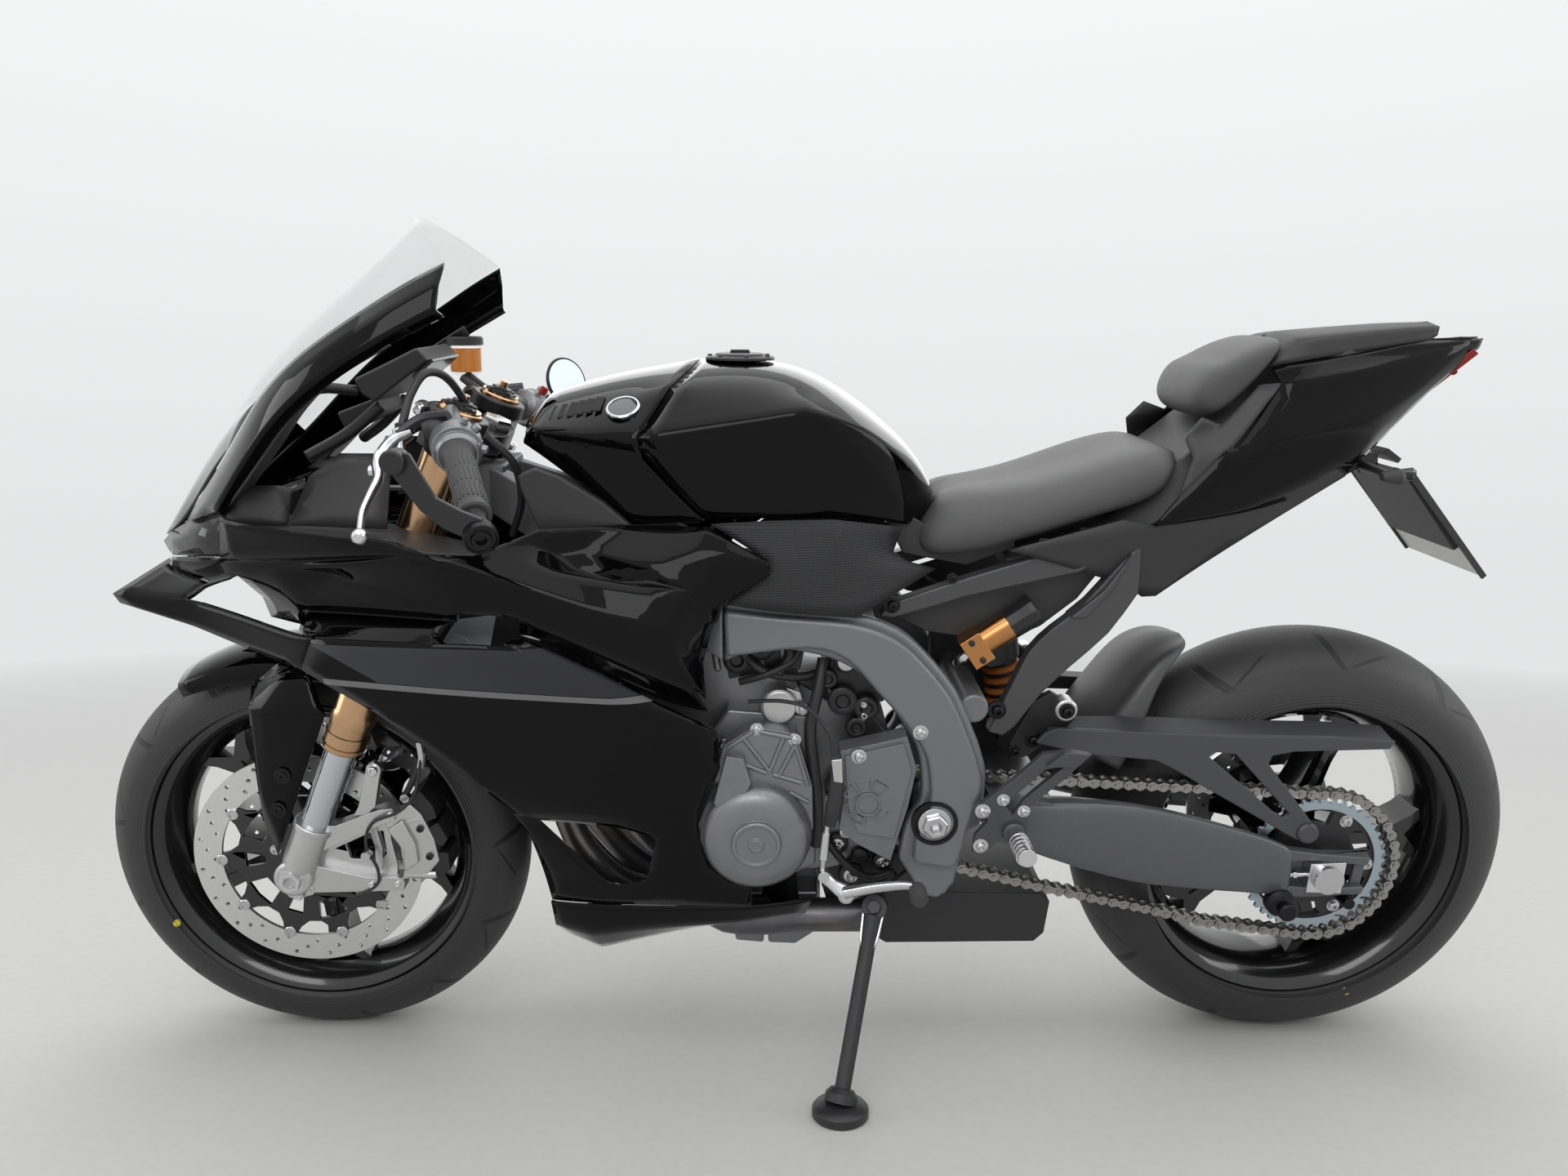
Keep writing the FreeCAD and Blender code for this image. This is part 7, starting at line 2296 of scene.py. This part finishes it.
    def footrests(self):
        hangers = Draft()
        outline = at("-212 374, -214 400, -230 420, -220 446, -260 480, -296 516, -330 520, -357 516, "
                     "-330 484, -276 436, -284 400, -294 374, -270 386, -250 398, -232 378")
        hangers.plate(outline, 174, 184, [at("-250 444, -300 494, -326 500, -276 452, -262 430")])
        hangers.plate(at("-300 500, -322 520, -357 518, -340 500"), 182, 190)
        hangers.turned(at("0 0, 0 15, 12 15, 14 12, 14 0"), (-264, 178, 406), SIDE, 20)
        hangers.mirror()
        place(hangers, "footrest_hangers", "guard_grey", ["footrests"], slot="frame_black", soften=2.5)
        pegs = Draft()
        pegs.pipe(at("-264 190 406, -265 206 406.5, -266 258 408"), [9, 12.5, 12], 14, 1)
        for i in range(5):
            pegs.turned(at("0 11, 0 13.2, 4 13.2, 4 11, 0 11"), (-265.3, 210 + i * 9.5, 406.8), SIDE, 14)
        pegs.mirror()
        place(pegs, "footrest_pegs", "machined_aluminium", soften=0.5)
        screws(screw_tree(), at("-222 184 436 1.2, -222 184 386 1.2, -248 184 452 1, -276 184 436 1"),
               "footrest_bolts", "bolt_steel")

    def stand(self):
        unpark = PARK.inverted()
        down = unpark @ (STAND_FOOT + UP * 0.020)
        pivot = Vector((-87, 166, 283))
        line = (down - pivot).normalized()
        axis = line.cross(Vector((-0.975, 0.2, -0.05))).normalized()
        leg = Draft()
        leg.turned(at("-8 6.5, -8 17, 8 17, 8 6.5, -8 6.5"), pivot, axis, 28)
        leg.pipe([pivot + line * 10, pivot + line * 44, pivot + line * 52, down - line * 14],
                 [14, 11.5, 10.5, 10.5], 16, 1)
        leg.turned(at("-2 0, -2 15, 5 21, 16 21, 16 0"), down - line * 14, line, 24)
        place(leg, "stand_tube", "silencer_black", ["stand_leg"], body="side_stand", soften=0.8)
        ears = Draft()
        side = axis.cross(line)
        ring = []
        for along, wide in at("8 15, 40 13, 62 6"):
            ring.append([pivot + line * along + side * wide * s + axis * t
                         for s, t in at("-1 -6, 1 -6, 1 6, -1 6")])
        ears.loft(ring)
        place(ears, "stand_shoulder", "machined_aluminium", body="side_stand", soften=1.5)
        puck = Draft()
        upright = (unpark.to_3x3() @ UP).normalized()
        base = unpark @ STAND_FOOT
        puck.turned(at("0 0, 0 34, 3 36.5, 12 36.5, 16 33, 18 26, 19.5 22, 19.5 0"), base, upright, 40)
        place(puck, "stand_pad", "hose_rubber", ["stand_puck"], body="side_stand", slot="matt_black")
        lug = Draft()
        lug.turned(at("13 0, 13 18, 30 18, 32 16, 32 0"), pivot, -axis, 24)
        lug.turned(at("-14 0, -14 5.6, 14 5.6, 14 0"), pivot, axis, 14)
        lug.turned(at("10 0, 10 10, 17 10, 17 0"), pivot, axis, 6)
        lug.loft(sheet("-150 138 300, -150 150 300, -150 150 345, -150 138 345; -92 138 262, -92 150 262, "
                       "-92 150 292, -92 138 292"))
        place(lug, "stand_lug", "satin_black", soften=1.2)


# ------------------------------------------------------------------ the add-on

SECTION_CLASSES = [item for item in list(globals().values()) if isinstance(item, type)
                   and issubclass(item, bpy.types.Operator) and item.__name__.startswith("MOTORCYCLE_OT")]


class MOTORCYCLE_PT_panel(bpy.types.Panel):
    """Lists every step in building order"""
    bl_label = "Motorcycle"
    bl_idname = "MOTORCYCLE_PT_panel"
    bl_space_type = "VIEW_3D"
    bl_region_type = "UI"
    bl_category = "Motorcycle"

    def draw(self, context):
        for group in (context.scene.motorcycle_sizes, context.scene.motorcycle_colours):
            for key in group.__annotations__:
                self.layout.prop(group, key)
        for section in SECTION_CLASSES:
            self.layout.operator(section.bl_idname)


CLASSES = [MOTORCYCLE_PG_sizes, MOTORCYCLE_PG_colours] + SECTION_CLASSES + [MOTORCYCLE_PT_panel]


def register():
    for item in CLASSES:
        bpy.utils.register_class(item)
    bpy.types.Scene.motorcycle_sizes = bpy.props.PointerProperty(type=MOTORCYCLE_PG_sizes)
    bpy.types.Scene.motorcycle_colours = bpy.props.PointerProperty(type=MOTORCYCLE_PG_colours)


def unregister():
    del bpy.types.Scene.motorcycle_colours
    del bpy.types.Scene.motorcycle_sizes
    for item in reversed(CLASSES):
        bpy.utils.unregister_class(item)


def main():
    register()
    for section in SECTION_CLASSES:
        getattr(bpy.ops.motorcycle, section.bl_idname.split(".")[1])()
    with open("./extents.json", "w") as report:
        json.dump({"cad": [list(corner) for corner in CAD_BOX], "visual": [list(c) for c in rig.bounds()]},
                  report)


if __name__ == "__main__":
    main()
